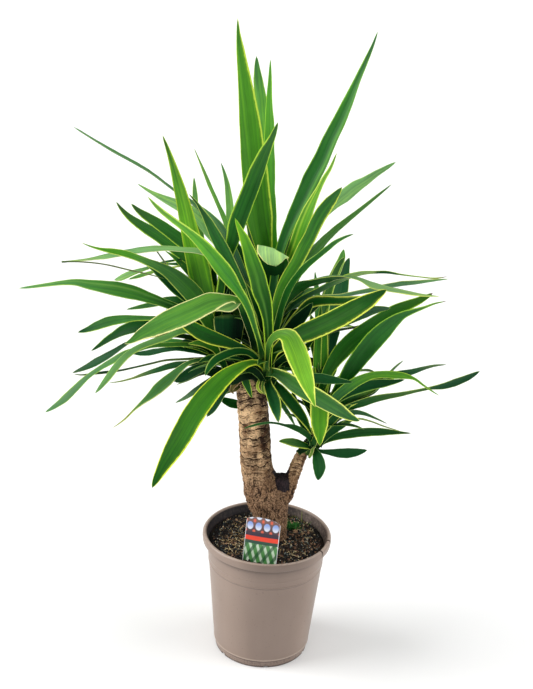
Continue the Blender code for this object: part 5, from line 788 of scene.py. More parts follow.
    ("b", [(221, 360, 6), (216, 350, 8), (207, 345, 8), (198, 343, 6), (188, 344, 0)], (0.4, -0.6), 25, 1, shade([(30, 90, 20), (50, 116, 26), (90, 150, 60)], (1.4, 1.4), (200, 216, 90))),
    ("b", [(226, 372, 5), (222, 362, 8), (214, 358, 8), (206, 359, 6), (198, 363, 0)], (0.2, -0.6), 20, 1, shade([(16, 60, 24), (22, 72, 30), (34, 84, 36)], (1.0, 1.2), (140, 176, 76))),
    ("c", [(322, 385, 6), (322, 370, 6), (322, 330, 8), (325, 305, 9), (328, 293, 8.5), (332, 281, 8), (336.5, 270, 7), (341, 262, 5), (345, 257, 0)], (1.4, 8.5), 25, 1, shade([(30, 92, 24), (44, 112, 34), (56, 112, 40), (46, 94, 40)], (1.4, 1.4), (176, 206, 90))),
    ("c", [(320, 380, 6), (319, 345, 7), (318.5, 320, 7.5), (317.5, 300, 7), (316.5, 288, 5.5), (315.5, 279, 3), (315, 271, 0)], (1.6, 6.0), 20, 1, shade([(40, 110, 24), (70, 140, 60), (80, 146, 84), (64, 120, 70)], (0.9, 0.9), (160, 200, 100))),
    ("c", [(317, 408, 6), (317, 392, 8), (317, 365, 8.5), (318, 340, 8), (319.5, 322, 6), (321, 305, 0)], (0.9, 2.6), 10, 1, shade([(60, 130, 24), (76, 150, 30), (60, 130, 30), (50, 110, 40)], (1.2, 1.4), (190, 216, 80))),
    ("c", [(322, 410, 6), (323.5, 392, 9), (324.3, 365, 9), (324.3, 342, 8), (325.3, 325, 6), (327.5, 308, 0)], (1.1, 2.8), 10, 1, shade([(50, 120, 20), (70, 142, 24), (64, 136, 24), (50, 112, 34)], (1.2, 2.0), (206, 224, 84))),
    ("c", [(360, 399, 2), (375, 392, 2), (385, 378, 2.5), (392, 370, 2.5), (398, 364.5, 2), (404, 360, 0)], (0.8, 1.6), 60, 1, shade([(50, 90, 50), (70, 116, 60), (90, 120, 90)], (0.3, 0.3), DULL)),
    ("c", [(332, 380, 2), (345, 374, 2), (358, 370.5, 2.5), (368, 370, 3), (376, 372.5, 0)], (1.8, 3.0), 50, 1, shade([(110, 150, 100), (140, 176, 130), (100, 140, 100)], (0.3, 0.3), DULL)),
    ("c", [(330, 395, 5), (355, 384, 6), (380, 378, 7), (400, 374, 7.5), (412, 371.5, 6), (424, 368, 4), (435, 365.5, 2.5), (447, 364.5, 0)], (1.0, 2.5), 35, 1, shade([(20, 70, 34), (24, 76, 46), (22, 72, 42), (50, 90, 70), (120, 140, 110)], (0.8, 0.8), (110, 150, 90))),
    ("c", [(321, 430, 5), (330, 406, 7), (342, 396, 9), (356, 389, 11), (370, 385, 11), (384, 383, 9), (395, 381.5, 5), (405, 379.5, 0)], (0.0, 0.6), 20, 1, shade([(18, 66, 28), (26, 82, 44), (24, 74, 44), (20, 66, 36)], (0.9, 1.3), (150, 190, 84))),
    ("c", [(322, 432, 5), (334, 412, 8), (346, 403, 11), (358, 396.5, 12), (368, 392, 9), (379, 388, 0)], (0.2, 1.0), 20, 1, shade([(22, 70, 30), (36, 88, 44), (40, 92, 44), (120, 166, 60)], (0.9, 2.8), (206, 222, 96))),
    ("c", [(322, 440, 4), (332, 424, 5), (343, 415, 6), (354, 412, 5.5), (364, 413.5, 4), (374, 417.5, 2.5), (388, 424, 0)], (0.4, 1.0), 40, 1, shade([(30, 76, 44), (56, 96, 80), (50, 96, 66), (70, 104, 84)], (0.8, 0.8), (150, 180, 100))),
    ("c", [(321, 436, 3), (335, 428, 3), (345, 422, 3), (358, 418.5, 2), (370, 421, 1.8), (385, 426.5, 1.5), (400, 431, 0)], (0.6, 1.2), 60, 1, shade([(110, 150, 70), (150, 176, 100), (120, 136, 84), (90, 110, 70)], (0.4, 0.4), (190, 206, 110))),
    ("c", [(319, 446, 4), (326, 437, 6), (334, 430, 8), (342, 424.5, 8), (348, 421.5, 5), (354, 419.5, 0)], (0.2, 0.6), 25, 1, shade([(18, 62, 28), (22, 70, 34), (26, 74, 36)], (0.9, 0.9), (130, 166, 84))),
    ("c", [(318, 430, 5), (312, 414, 7), (306, 400, 8), (300, 388, 7), (296, 378, 0)], (0.4, 1.4), 20, 1, shade([(12, 44, 20), (16, 56, 24), (20, 64, 30)], (1.2, 1.2), (170, 196, 84))),
    ("c", [(315, 444, 4), (306, 430, 6), (299, 416, 7.5), (295, 402, 7), (292, 390, 0)], (0.6, 1.8), 25, 1, shade([(14, 48, 24), (22, 70, 32), (26, 76, 36)], (1.3, 1.0), (160, 190, 90))),
    ("c", [(318, 425, 6), (321, 405, 8), (324, 392, 8), (327, 382, 6), (329, 374, 0)], (0.8, 2.6), 20, 1, shade([(12, 46, 22), (16, 62, 28), (24, 80, 30)], (1.1, 1.1), (150, 190, 84))),
    ("c", [(319, 424, 6), (325, 396, 8), (329.5, 372, 8), (331.5, 350, 6.5), (334.5, 332, 11), (338, 318, 0)], (1.6, 5.0), 15, 1, shade([(12, 44, 26), (22, 66, 48), (34, 80, 66), (30, 78, 56)], (1.0, 1.0), (140, 180, 96))),
    ("c", [(318, 440, 5), (324, 430, 7), (333, 419, 8), (343, 410, 7), (352, 404, 0)], (-0.2, -0.6), 25, 1, shade([(20, 64, 26), (28, 78, 34), (36, 86, 36)], (1.4, 1.2), (180, 206, 90))),
    ("a", [(280, 398, 4), (283.5, 406, 5), (288, 413, 4.5), (292, 420, 3), (295.5, 426.5, 0)], (-0.4, -1.0), 20, 1, shade([(26, 72, 30), (40, 92, 50), (46, 96, 56)], (0.6, 1.0), (130, 170, 90))),
]

# ------------------------------------------------------------ the CAD leaves
# the same blades with a finer outline at a fold: as many stations as above
REDRAWN = {
    "leaf_a_front_bent": [(266.8, 370, 4), (267.8, 356, 4.5), (268.8, 345.5, 6), (272.5, 338.4, 7), (280.5, 334.2, 10), (288, 336.4, 18), (294, 347.5, 23), (299.2, 361, 22.5), (303.6, 374, 19.5), (307.4, 385, 15), (310.6, 394.5, 9.5), (313, 401, 5), (315.3, 407.5, 0)],
    "leaf_c_right_upper": [(319, 405, 7), (323, 385, 9), (330.5, 366.5, 13), (340.5, 352.5, 17), (353.5, 339.5, 17.5), (368.5, 328, 16), (382.5, 318.5, 14.5), (395.5, 310.3, 12.5), (408, 305, 10.5), (419, 300.5, 8), (427, 296.5, 5), (433, 293, 0)],
    "leaf_a_big_droop": [(266, 378, 5), (263, 367, 5.5), (256, 362.5, 6), (247, 364, 8), (238, 368.5, 12), (228, 375, 16), (216, 386, 19.5), (203.5, 400.5, 22), (192.5, 416.5, 23), (182.8, 434, 22.3), (173.4, 450, 19.6), (164.2, 465.5, 14), (157.8, 477, 9.2), (152, 488, 0)],
    "leaf_b_tail": [(216, 364, 5), (202, 360, 4.5), (188, 363.5, 5), (178, 371, 7.5), (168, 380.3, 11), (158, 389, 11.5), (150, 396.5, 8), (142, 403, 4.5), (134, 410, 2.4), (125, 419, 2), (112, 428.5, 0)],
    "leaf_a_right_slim": [(275, 320, 7), (280.5, 290, 9), (289.5, 262, 12), (297, 243, 14), (302.5, 226, 13.5), (308.5, 211, 11.5), (313.5, 200, 8.5), (318.5, 190, 6), (324.5, 178, 5), (330, 169, 3.8), (337, 152.5, 0)],
    "leaf_a_right_pale": [(276, 315, 8), (288, 275, 10), (303, 245, 9), (320, 219, 7), (336, 203, 10.5), (346, 195, 14), (356, 187, 12.5), (365, 181.5, 9.5), (376, 174, 7), (387, 167.5, 4.6), (396, 162, 0)],
    "leaf_b_far_left": [(222, 352, 7), (210, 330, 8), (195, 318, 9), (178, 309, 9), (162, 302.5, 9), (147, 297.5, 11.5), (131, 292.5, 15), (115, 289, 15.3), (100, 286.8, 12.5), (88, 284.8, 9.8), (75, 282.5, 6.8), (62, 283, 5.2), (50, 284.5, 4.2), (35, 286.5, 3.2), (26, 287.6, 2.4), (18.5, 288.3, 0)],
}
# a blade that bows over its neighbour: centimetres of depth at its stations
REBOWED = {
    "leaf_a_left_flat": [0.2, -0.1, -1.4, -2.2, -2.7, -2.6, -1.2, 0.9, 2.3, 3.3, 4.12],
    "leaf_a_right_slim": [1.4, 1.8, 1.6, 0.3, -0.9, -1.7, -2.11, -2.3, -2.53, -2.7, -3.0],
}
# how fast a blade narrows in its last part: 1 is straight, less is blunter
TIP_POINT = 0.62
for number, (name, (stations, depth, roll, face)) in enumerate(LEAVES.items()):
    look = dict(LOOKS[name], face=face)
    miss, trim, base, tip = packed_shift(name, stations, depth, roll, face)
    if miss > 0.004:
        print("box of", name, "misses by mm", round(miss * 1000, 2))
    stations = REDRAWN.get(name, stations)
    depth = REBOWED.get(name, depth)
    path = leaf_path(stations, depth, roll, face, rows_for(stations), base, tip, 0.0, 0.00025, TIP_POINT)
    whole(name.replace("leaf_", "blade_"), [blade(path, look, number + 1)], (name,))

# ------------------------------------------------------- leaves beyond those
more = {"a": [], "b": [], "c": []}
for number, (crown, stations, depth, roll, face, look) in enumerate(MORE):
    look = dict(look, face=face)
    path = leaf_path(stations, depth, roll, face, rows_for(stations), 0.0, 0.0, 0.0, 0.00025, TIP_POINT)
    more[crown].append(blade(path, look, 200 + number))

NECKS = {
    "a": [(251.0, 400, -0.2), (256.0, 388, -0.4), (262.0, 377, -0.6), (266.0, 364, -0.6), (268.5, 345, -0.4), (269.5, 325, 0.0), (270.0, 306, 0.3)],
    "b": [(248.0, 400, 0.4), (241.0, 386, 1.0), (232.0, 374, 1.6), (224.5, 362, 2.0), (220.5, 348, 2.2), (218.5, 333, 2.2), (216.5, 318, 2.2)],
    "c": [(306.5, 447, 0.1), (311.5, 439, 0.3), (315.5, 428, 0.4), (318.0, 414, 0.5), (319.5, 400, 0.6), (320.0, 388, 0.7)],
}


def along(points, f):
    """Point and direction at the share f of a line of points."""
    d = np.r_[0.0, np.cumsum(np.linalg.norm(np.diff(points, axis=0), axis=1))]
    t = f * d[-1]
    at = np.array([np.interp(t, d, points[:, c]) for c in range(3)])
    ahead = np.array([np.interp(min(t + 0.004, d[-1]), d, points[:, c]) for c in range(3)])
    behind = np.array([np.interp(max(t - 0.004, 0.0), d, points[:, c]) for c in range(3)])
    return at, unit(ahead - behind)


def spray_leaf(at, axis, azimuth, rise, length, width, droop, seed, dark):
    """A leaf that leaves the neck at an azimuth about its axis and bows down."""
    rng = np.random.default_rng(seed)
    side = unit(np.cross(axis, [0.0, 0.0, 1.0]) if abs(axis[2]) < 0.95 else np.cross(axis, [0.0, 1.0, 0.0]))
    other = np.cross(axis, side)
    out = side * math.cos(azimuth) + other * math.sin(azimuth)
    start = at + out * 0.0025
    lean = math.radians(rise)
    count = int(np.clip(length / 0.0045, 16, 60))
    s = np.linspace(0.0, 1.0, count)
    heading = unit(axis * math.sin(lean) + out * math.cos(lean))
    up0 = unit(axis * math.cos(lean) - out * math.sin(lean))
    ang = -droop * s**1.6
    step = length / (count - 1)
    p = np.empty((count, 3))
    p[0] = start
    tang = np.empty((count, 3))
    for i in range(count):
        hug = math.exp(-((s[i] / 0.10) ** 2)) * 0.8
        d = unit(heading * math.cos(ang[i]) + up0 * math.sin(ang[i]) + axis * hug)
        tang[i] = d
        if i:
            p[i] = p[i - 1] + (tang[i] + tang[i - 1]) * 0.5 * step
    cross = units(np.cross(tang, out + 1e-6))
    for i in range(1, count):
        if np.dot(cross[i], cross[i - 1]) < 0:
            cross[i] = -cross[i]
    normal = units(np.cross(tang, cross))
    if np.dot(normal[count // 3], axis) < 0:
        cross, normal = -cross, units(np.cross(tang, -cross))
    form = np.interp(s, [0, 0.08, 0.3, 0.55, 0.75, 0.9, 1.0], [0.55, 0.42, 0.62, 1.0, 0.85, 0.42, 0.01])
    half = np.maximum(form * width / 2, 0.00025)
    # dark mixes the colours towards near black: painted shade on the short leaves inside the crown
    lo = np.array((16, 56, 24)) * (1 - dark) + np.array((8, 34, 18)) * dark
    md = np.array((52, 112, 36)) * (1 - dark) + np.array((16, 56, 28)) * dark
    hi = np.array((70, 132, 52)) * (1 - dark) + np.array((24, 70, 34)) * dark
    tilt = rng.uniform(-8, 8, 3)
    look = shade([tuple(lo), tuple(md + tilt), tuple(hi + tilt)], (rng.uniform(1.0, 2.2), rng.uniform(1.0, 2.2)), LIME if dark < 0.5 else (128, 166, 70), face=1)
    return blade((p, cross, normal, half), look, seed)


golden = math.radians(137.5)
SPRAYS = {
    # crown: (share of the neck from, to, count)
    "a": (0.30, 0.98, 26),
    "b": (0.38, 0.98, 20),
    "c": (0.25, 0.98, 16),
}
for crown, (f0, f1, count) in SPRAYS.items():
    line = np.array([place(u, v, y / 100.0) for u, v, y in NECKS[crown]])
    rng = np.random.default_rng(40 + ord(crown))
    for k in range(count):
        f = f0 + (f1 - f0) * (k + 0.5) / count
        at, axis = along(line, f)
        azimuth = golden * k + 0.4
        side = unit(np.cross(axis, [0.0, 0.0, 1.0]) if abs(axis[2]) < 0.95 else np.cross(axis, [0.0, 1.0, 0.0]))
        out = side * math.cos(azimuth) + np.cross(axis, side) * math.sin(azimuth)
        back = float(out[1])
        if back < -0.45 and f > 0.5:
            continue
        rise = 30 + 48 * (k + 0.5) / count
        if back > 0.35:
            length = rng.uniform(0.125, 0.175) if crown != "c" else rng.uniform(0.09, 0.13)
            dark = rng.uniform(0.0, 0.35)
            width = rng.uniform(0.018, 0.024)
        else:
            length = rng.uniform(0.05, 0.075)
            # the short inner leaves get painted shade through dark
            dark = rng.uniform(0.75, 1.0)
            width = rng.uniform(0.012, 0.016)
        if (crown, k) == ("c", 12):
            length *= 0.45
        more[crown].append(spray_leaf(at, axis, azimuth, rise, length, width, rng.uniform(0.5, 1.1), 400 + 40 * ord(crown) + k, dark))
for crown, blades in more.items():
    whole("crown_%s_inner_leaves" % crown, blades)

# ------------------------------------------------------------------ the cane
STEM = [
    (271.5, 552, 27, 0.2), (271.5, 540, 29, 0.2), (271.0, 528, 31, 0.1), (270.4, 516, 34, 0.0),
    (269.0, 506, 38, 0.0), (266.5, 497, 40.5, 0.0), (263.0, 488, 38, 0.0), (260.0, 479, 35, 0.0),
    (257.2, 470, 32, 0.0), (256.0, 460, 30.5, 0.0), (255.2, 443, 30, 0.0), (254.6, 431, 30.5, 0.0),
    (253.8, 420, 29.5, 0.0), (252.6, 407, 30.5, 0.0), (251.4, 396, 30, 0.0), (250.2, 388, 28, 0.0),
    (249.0, 381, 24, 0.0), (248.6, 377, 18, 0.0),
]
NECK_A = [
    (251.0, 400, 16, -0.2), (256.0, 388, 15, -0.4), (262.0, 377, 12, -0.6), (266.0, 364, 9.5, -0.6),
    (268.5, 345, 7.5, -0.4), (269.5, 325, 6.0, 0.0), (270.0, 306, 4.0, 0.3),
]
NECK_B = [
    (248.0, 400, 15, 0.4), (241.0, 386, 14, 1.0), (232.0, 374, 12, 1.6), (224.5, 362, 9.5, 2.0),
    (220.5, 348, 7.5, 2.2), (218.5, 333, 6.0, 2.2), (216.5, 318, 4.0, 2.2),
]
BRANCH = [
    (277.0, 506, 15, 0.0), (282.0, 498, 18, 0.0), (287.0, 488, 17.5, 0.0), (291.2, 479, 15.5, 0.0),
    (294.6, 471, 13.8, 0.0), (298.2, 462, 12.4, 0.0), (302.0, 454, 12.0, 0.0), (306.5, 447, 11.0, 0.1),
    (311.5, 439, 9.0, 0.3), (315.5, 428, 7.0, 0.4), (318.0, 414, 5.5, 0.5), (319.5, 400, 4.0, 0.6),
]
STUMP = [(276.0, 503, 19.0, -0.1), (279.0, 493, 19.5, -0.3), (281.0, 484, 18.0, -0.5), (281.2, 476.5, 17.0, -0.6)]


def spread(rows, count):
    """count stations along rows, smooth in each column."""
    a = np.array(rows, float)
    d = np.r_[0.0, np.cumsum(np.hypot(np.diff(a[:, 0]), np.diff(a[:, 1])) + 1e-6)]
    t = np.linspace(0.0, d[-1], count)
    out = np.empty((count, a.shape[1]))
    for c in range(a.shape[1]):
        m = np.gradient(a[:, c], d)
        k = np.clip(np.searchsorted(d, t, side="right") - 1, 0, len(d) - 2)
        h = d[k + 1] - d[k]
        x = (t - d[k]) / h
        out[:, c] = (
            (2 * x**3 - 3 * x**2 + 1) * a[k, c]
            + (x**3 - 2 * x**2 + x) * h * m[k]
            + (-2 * x**3 + 3 * x**2) * a[k + 1, c]
            + (x**3 - x**2) * h * m[k + 1]
        )
    return out


class Limb:
    """A round limb along stations: its line, radii and frames."""

    def __init__(self, rows, count):
        r = spread(rows, count)
        self.p = np.array([place(u, v, y / 100.0) for u, v, w, y in r])
        self.r = np.array([w * 0.5 * view_size(q) for (u, v, w, y), q in zip(r, self.p)])
        self.t = units(np.gradient(self.p, axis=0))
        side = np.array([1.0, 0.0, 0.0])
        self.a, self.b = [], []
        for t in self.t:
            side = unit(side - t * np.dot(side, t))
            self.a.append(side)
            self.b.append(np.cross(t, side))
        self.a, self.b = np.array(self.a), np.array(self.b)
        self.s = np.r_[0.0, np.cumsum(np.linalg.norm(np.diff(self.p, axis=0), axis=1))]

    def tube(self, around):
        ang = np.linspace(0, math.tau, around, endpoint=False)
        ring = self.p[:, None] + self.r[:, None, None] * (
            self.a[:, None] * np.cos(ang)[None, :, None] + self.b[:, None] * np.sin(ang)[None, :, None]
        )
        n = len(self.p)
        pts = np.concatenate([ring.reshape(-1, 3), self.p[:1], self.p[-1:]])
        faces = []
        for i in range(n - 1):
            for j in range(around):
                k = (j + 1) % around
                faces.append((i * around + j, i * around + k, (i + 1) * around + k, (i + 1) * around + j))
        for j in range(around):
            k = (j + 1) % around
            faces.append((k, j, n * around))
            faces.append(((n - 1) * around + j, (n - 1) * around + k, n * around + 1))
        return pts, faces

    def read(self, q):
        """For each point: distance over radius, run, angle, index."""
        best = np.full(len(q), 1e9)
        idx = np.zeros(len(q), int)
        for i in range(len(self.p)):
            d = np.linalg.norm(q - self.p[i], axis=1)
            m = d < best
            best[m] = d[m]
            idx[m] = i
        v = q - self.p[idx]
        run = self.s[idx] + np.einsum("ij,ij->i", v, self.t[idx])
        x = np.einsum("ij,ij->i", v, self.a[idx])
        y = np.einsum("ij,ij->i", v, self.b[idx])
        return np.hypot(x, y) / self.r[idx], run, np.arctan2(y, x), idx


limbs = {
    "stem": Limb(STEM, 90),
    "branch": Limb(BRANCH, 60),
    "stump": Limb(STUMP, 14),
    "neck_a": Limb(NECK_A, 40),
    "neck_b": Limb(NECK_B, 40),
}
pts, faces, off = [], [], 0
for limb in limbs.values():
    q, f = limb.tube(48)
    pts.append(q)
    faces += [tuple(k + off for k in g) for g in f]
    off += len(q)
core = mesh_object("cane_core", np.concatenate(pts), faces)
fuse = core.modifiers.new("fuse", "REMESH")
fuse.mode = "VOXEL"
fuse.voxel_size = 0.00078
fuse.adaptivity = 0.0
ease = core.modifiers.new("ease", "SMOOTH")
ease.factor = 0.5
ease.iterations = 6
bpy.context.view_layer.update()
bark_p, bark_n, bark_f = evaluated(core)
bpy.data.objects.remove(core, do_unlink=True)

near = {k: limb.read(bark_p) for k, limb in limbs.items()}
d_stem, run_stem, ang_stem, i_stem = near["stem"]
d_branch, run_branch, ang_branch, i_branch = near["branch"]
on_branch = smooth(d_stem - d_branch, -0.15, 0.25)
run = run_stem * (1 - on_branch) + run_branch * on_branch
angle = np.where(on_branch > 0.5, ang_branch, ang_stem)
circle = np.stack([np.cos(angle), np.sin(angle), np.zeros(len(angle))], -1)
stem_len = limbs["stem"].s[-1]
height_up = run_stem / stem_len
n_low = fractal(np.c_[circle[:, :2] * 1.0, run * 17], 1.0, 2, 3)
n_mid = fractal(np.c_[circle[:, :2] * 2.4, run * 52], 1.0, 2, 8)
n_fine = fractal(np.c_[circle[:, :2] * 6.5, run * 130], 1.0, 2, 12)
phase = run / 0.0112 + 0.50 * n_low + 0.24 * n_mid + 0.09 * n_fine
phase_b = run / 0.0066 + 0.60 * n_low + 0.30 * n_mid + 0.10 * n_fine
phase = np.where(on_branch > 0.5, phase_b, phase)
saw = phase - np.floor(phase)
ring_no = np.floor(phase)
ring_luck = np.sin(ring_no * 12.9898 + 1.7) * 43758.5453
ring_luck = ring_luck - np.floor(ring_luck)
# each ring: a lip that hangs over the crease beneath it, which is painted dark as the shade under the lip
lip = smooth(saw, 0.04, 0.22) * (1 - 0.60 * smooth(saw, 0.25, 1.0))
crease = np.clip((1 - smooth(saw, 0.03, 0.10 + 0.10 * ring_luck)) + smooth(saw, 0.93, 1.0), 0, 1)
broken = 0.08 + 0.92 * smooth(fractal(np.c_[circle[:, :2] * 2.2, run * 90], 1.0, 3, 21), -0.75 + 0.5 * (ring_luck - 0.5), 0.10)
# finer lines between the rings
saw2 = run / 0.0041 + 0.9 * n_low + 0.55 * n_mid + 0.30 * n_fine
saw2 = saw2 - np.floor(saw2)
line2 = np.clip((1 - smooth(saw2, 0.02, 0.24)) + smooth(saw2, 0.88, 1.0), 0, 1)
line2 = line2 * smooth(fractal(np.c_[circle[:, :2] * 3.4, run * 150], 1.0, 3, 27), -0.25, 0.45)
ring_zone = smooth(height_up + 0.03 * n_mid, 0.41, 0.57)
ring_zone = ring_zone * (1 - on_branch) + smooth(run_branch, 0.040, 0.070) * 0.8 * on_branch
cork = fractal(bark_p, 260.0, 3, 31)
cork2 = fractal(np.c_[bark_p[:, :2] * 420, bark_p[:, 2] * 150], 1.0, 3, 37)
furrow = 1 - np.abs(fractal(np.c_[bark_p[:, :2] * 230, bark_p[:, 2] * 60], 1.0, 3, 41)) * 1.6
furrow = np.clip(furrow, 0, 1) ** 3
lump = fractal(bark_p, 55.0, 2, 47)
relief = ring_zone * (0.0014 * lip * (0.6 + 0.8 * ring_luck) - 0.0016 * crease * broken - 0.0008 * line2 - 0.0003)
relief += 0.00045 * cork * (0.6 + 0.4 * (1 - ring_zone))
relief += (1 - ring_zone) * (0.00095 * cork2 - 0.0014 * furrow) + 0.0008 * lump
d_stump = near["stump"][0]
run_stump = near["stump"][1]


def seen_at(q):
    """Where points are seen, in view units."""
    r = q - VIEW_AT
    far = r @ AHEAD
    return np.stack([VIEW_CENTRE[0] + VIEW_SCALE * (r @ VIEW_X) / far, VIEW_CENTRE[1] - VIEW_SCALE * (r @ VIEW_Y) / far], -1)


# the sealed cut in the fork: its face and its top
CUT = np.array([(271.5, 470.0), (288.5, 470.0), (289.0, 489.5), (285.5, 493.0), (278.5, 490.5)])
seen = seen_at(bark_p)
inside = np.full(len(bark_p), 1e9)
for k in range(len(CUT)):
    edge_a, edge_b = CUT[k], CUT[(k + 1) % len(CUT)]
    run_e = edge_b - edge_a
    gap = seen - edge_a
    inside = np.minimum(inside, (run_e[0] * gap[:, 1] - run_e[1] * gap[:, 0]) / np.linalg.norm(run_e))
inside = inside + 1.3 * fractal(bark_p, 190.0, 2, 77)
cut = smooth(inside, -0.6, 0.7) * smooth(-(bark_n @ AHEAD), -0.3, 0.0) * smooth(1.40 - d_stump, 0.0, 0.10)
cap = smooth(run_stump, limbs["stump"].s[-1] - 0.0045, limbs["stump"].s[-1] - 0.0020) * smooth(1.25 - d_stump, 0.0, 0.12)
cut = np.maximum(cut, cap * smooth(d_stem - 1.02, 0.0, 0.08) * smooth(d_branch - 1.02, 0.0, 0.10))
relief = relief * (1 - 0.5 * cut)
neck_d = np.minimum(near["neck_a"][0], near["neck_b"][0])
in_neck = smooth(np.minimum(d_stem, d_branch) - 1.15, 0.0, 0.25)
relief = relief * (1 - 0.8 * in_neck)
fade_low = smooth(bark_p[:, 2], SOIL_TOP - 0.006, SOIL_TOP + 0.004)
relief = relief * (0.3 + 0.7 * fade_low)
bark_q = bark_p + bark_n * relief[:, None]
up_stem = smooth(run_stem, stem_len * 0.86, stem_len * 0.90)
green_neck = np.maximum(in_neck * up_stem, smooth(run_branch, 0.098, 0.112) * on_branch)
# painted shade: the right side of the cane and of the branch is darkened, through the tone below
ragged = 0.16 * fractal(np.c_[circle[:, :2] * 1.5, run * 45], 1.0, 3, 59)
shaded_side = smooth(np.cos(ang_stem) + ragged, 0.34, 0.66) * (1 - on_branch)
shaded_side = shaded_side + 0.7 * smooth(np.cos(ang_branch) + ragged, 0.15, 0.8) * on_branch
tone = 0.5 + 0.5 * np.clip(fractal(np.c_[circle[:, :2] * 1.9, run * 42], 1.0, 3, 53), -1, 1)
# the tone holds random shifts, the painted shade of the right side and a painted highlight on the lip of each ring
tone = tone - 0.62 * shaded_side + (0.36 * lip + 0.46 * (ring_luck - 0.5)) * ring_zone
trunk = mesh_object(
    "cane",
    bark_q,
    bark_f,
    bark_form=np.stack([np.clip(np.maximum(crease * broken, 0.85 * line2), 0, 1) * ring_zone, ring_zone, tone], -1),
    bark_mark=np.stack([cut, green_neck, np.clip(furrow, 0, 1) * (1 - ring_zone)], -1),
)


def bark_material():
    m = Look("cane_bark")
    crease, zone, tone = m.split(m.attribute("bark_form"))
    cut, young, furrow = m.split(m.attribute("bark_mark"))
    at = m.where()
    grain = m.noise(m.vector("MULTIPLY", at, (900.0, 900.0, 260.0)), 1.0, 4.0, 0.7)
    speck = m.noise(at, 620.0, 3.0, 0.75)
    cloud = m.noise(at, 65.0, 3.0, 0.6)
    lines = m.noise(m.vector("MULTIPLY", at, (150.0, 150.0, 1150.0)), 1.0, 3.0, 0.65)
    cracks = m.noise(m.vector("MULTIPLY", at, (620.0, 620.0, 170.0)), 1.0, 3.0, 0.6)
    # this lightness takes in the tone with its painted shade and painted highlights
    light = m.maths("ADD", m.maths("MULTIPLY", tone, 0.60), m.maths("MULTIPLY", grain, 1.05))
    light = m.maths("ADD", light, m.maths("MULTIPLY", lines, 1.45))
    light = m.maths("SUBTRACT", light, 0.86)
    pale = m.mix(m.ease(light, 0.31, 1.09), srgb(46, 28, 18), srgb(238, 198, 152))
    pale = m.mix(m.ease(cloud, 0.45, 0.70, 0.0, 0.50), pale, srgb(118, 78, 46))
    pale = m.mix(m.ease(cracks, 0.59, 0.68, 0.0, 0.6), pale, srgb(62, 42, 28))
    rough_bark = m.mix(m.ease(speck, 0.38, 0.62), srgb(76, 54, 40), srgb(196, 156, 120))
    rough_bark = m.mix(m.ease(cloud, 0.42, 0.66, 0.0, 0.5), rough_bark, srgb(118, 86, 58))
    rough_bark = m.mix(m.ease(cracks, 0.55, 0.64, 0.0, 0.7), rough_bark, srgb(48, 33, 24))
    # painted shade on the right side of the rough bark, through the tone
    rough_bark = m.mix(m.ease(tone, -0.25, 0.55, 0.30, 0.0), rough_bark, srgb(62, 44, 30))
    colour = m.mix(zone, rough_bark, pale)
    # painted shade: the creases under the lips, the fine lines between the rings and the furrows are darkened
    colour = m.mix(m.ease(m.maths("ADD", crease, m.maths("MULTIPLY", furrow, 0.8)), 0.18, 0.62, 0.0, 0.94), colour, srgb(42, 27, 18))
    colour = m.mix(m.ease(grain, 0.60, 0.74, 0.0, 0.55), colour, srgb(60, 40, 26))
    wound = m.mix(m.ease(m.maths("ADD", m.maths("MULTIPLY", cracks, 0.6), m.maths("MULTIPLY", speck, 0.4)), 0.44, 0.66), srgb(18, 10, 16), srgb(62, 44, 46))
    colour = m.mix(m.ease(cut, 0.35, 0.6), colour, wound)
    shoot = m.mix(m.ease(grain, 0.3, 0.7), srgb(16, 30, 16), srgb(62, 76, 38))
    colour = m.mix(young, colour, shoot)
    rough = m.maths("SUBTRACT", 0.92, m.maths("MULTIPLY", cut, 0.20))
    height = m.maths("ADD", m.maths("MULTIPLY", grain, 0.7), m.maths("MULTIPLY", speck, 0.6))
    height = m.maths("ADD", height, m.maths("MULTIPLY", lines, 0.8))
    m.surface(Base_Color=colour, Roughness=rough, Normal=m.bump(height, 0.75, 0.0011))
    m.skin.inputs["Specular IOR Level"].default_value = 0.25
    return m.material


trunk.data.materials.append(bark_material())
take(trunk, ("trunk",))

# ------------------------------------------------------------------- the pot


def lathe(name, profile, steps, wobble=None):
    """A closed body of revolution from (radius, z) pairs, axis ends included."""
    prof = np.array(profile, float)
    ang = np.linspace(0, math.tau, steps, endpoint=False)
    inner = prof[1:-1]
    ring = np.stack(
        [inner[:, None, 0] * np.cos(ang), inner[:, None, 0] * np.sin(ang), np.broadcast_to(inner[:, None, 1], (len(inner), steps))], -1
    )
    if wobble is not None:
        ring = wobble(ring)
    n = len(inner)
    pts = np.concatenate([ring.reshape(-1, 3), [[0, 0, prof[0, 1]]], [[0, 0, prof[-1, 1]]]])
    faces = []
    for i in range(n - 1):
        for j in range(steps):
            k = (j + 1) % steps
            faces.append((i * steps + j, (i + 1) * steps + j, (i + 1) * steps + k, i * steps + k))
    for j in range(steps):
        k = (j + 1) % steps
        faces.append((j, k, n * steps))
        faces.append(((n - 1) * steps + k, (n - 1) * steps + j, n * steps + 1))
    return mesh_object(name, pts, faces)


def rounded(points, radius, steps=3):
    """The outline with each corner replaced by a short arc."""
    p = [np.array(q, float) for q in points]
    out = [p[0]]
    for a, b, c in zip(p[:-2], p[1:-1], p[2:]):
        u, w = a - b, c - b
        r = min(radius, np.linalg.norm(u) * 0.45, np.linalg.norm(w) * 0.45)
        u, w = unit(u) * r, unit(w) * r
        for k in range(steps + 1):
            f = k / steps
            out.append((b + u) * (1 - f) ** 2 + 2 * b * f * (1 - f) + (b + w) * f * f)
    out.append(p[-1])
    return out


z0 = POT_FLOOR_Z
wall_low = POT_WALL_LOW_R


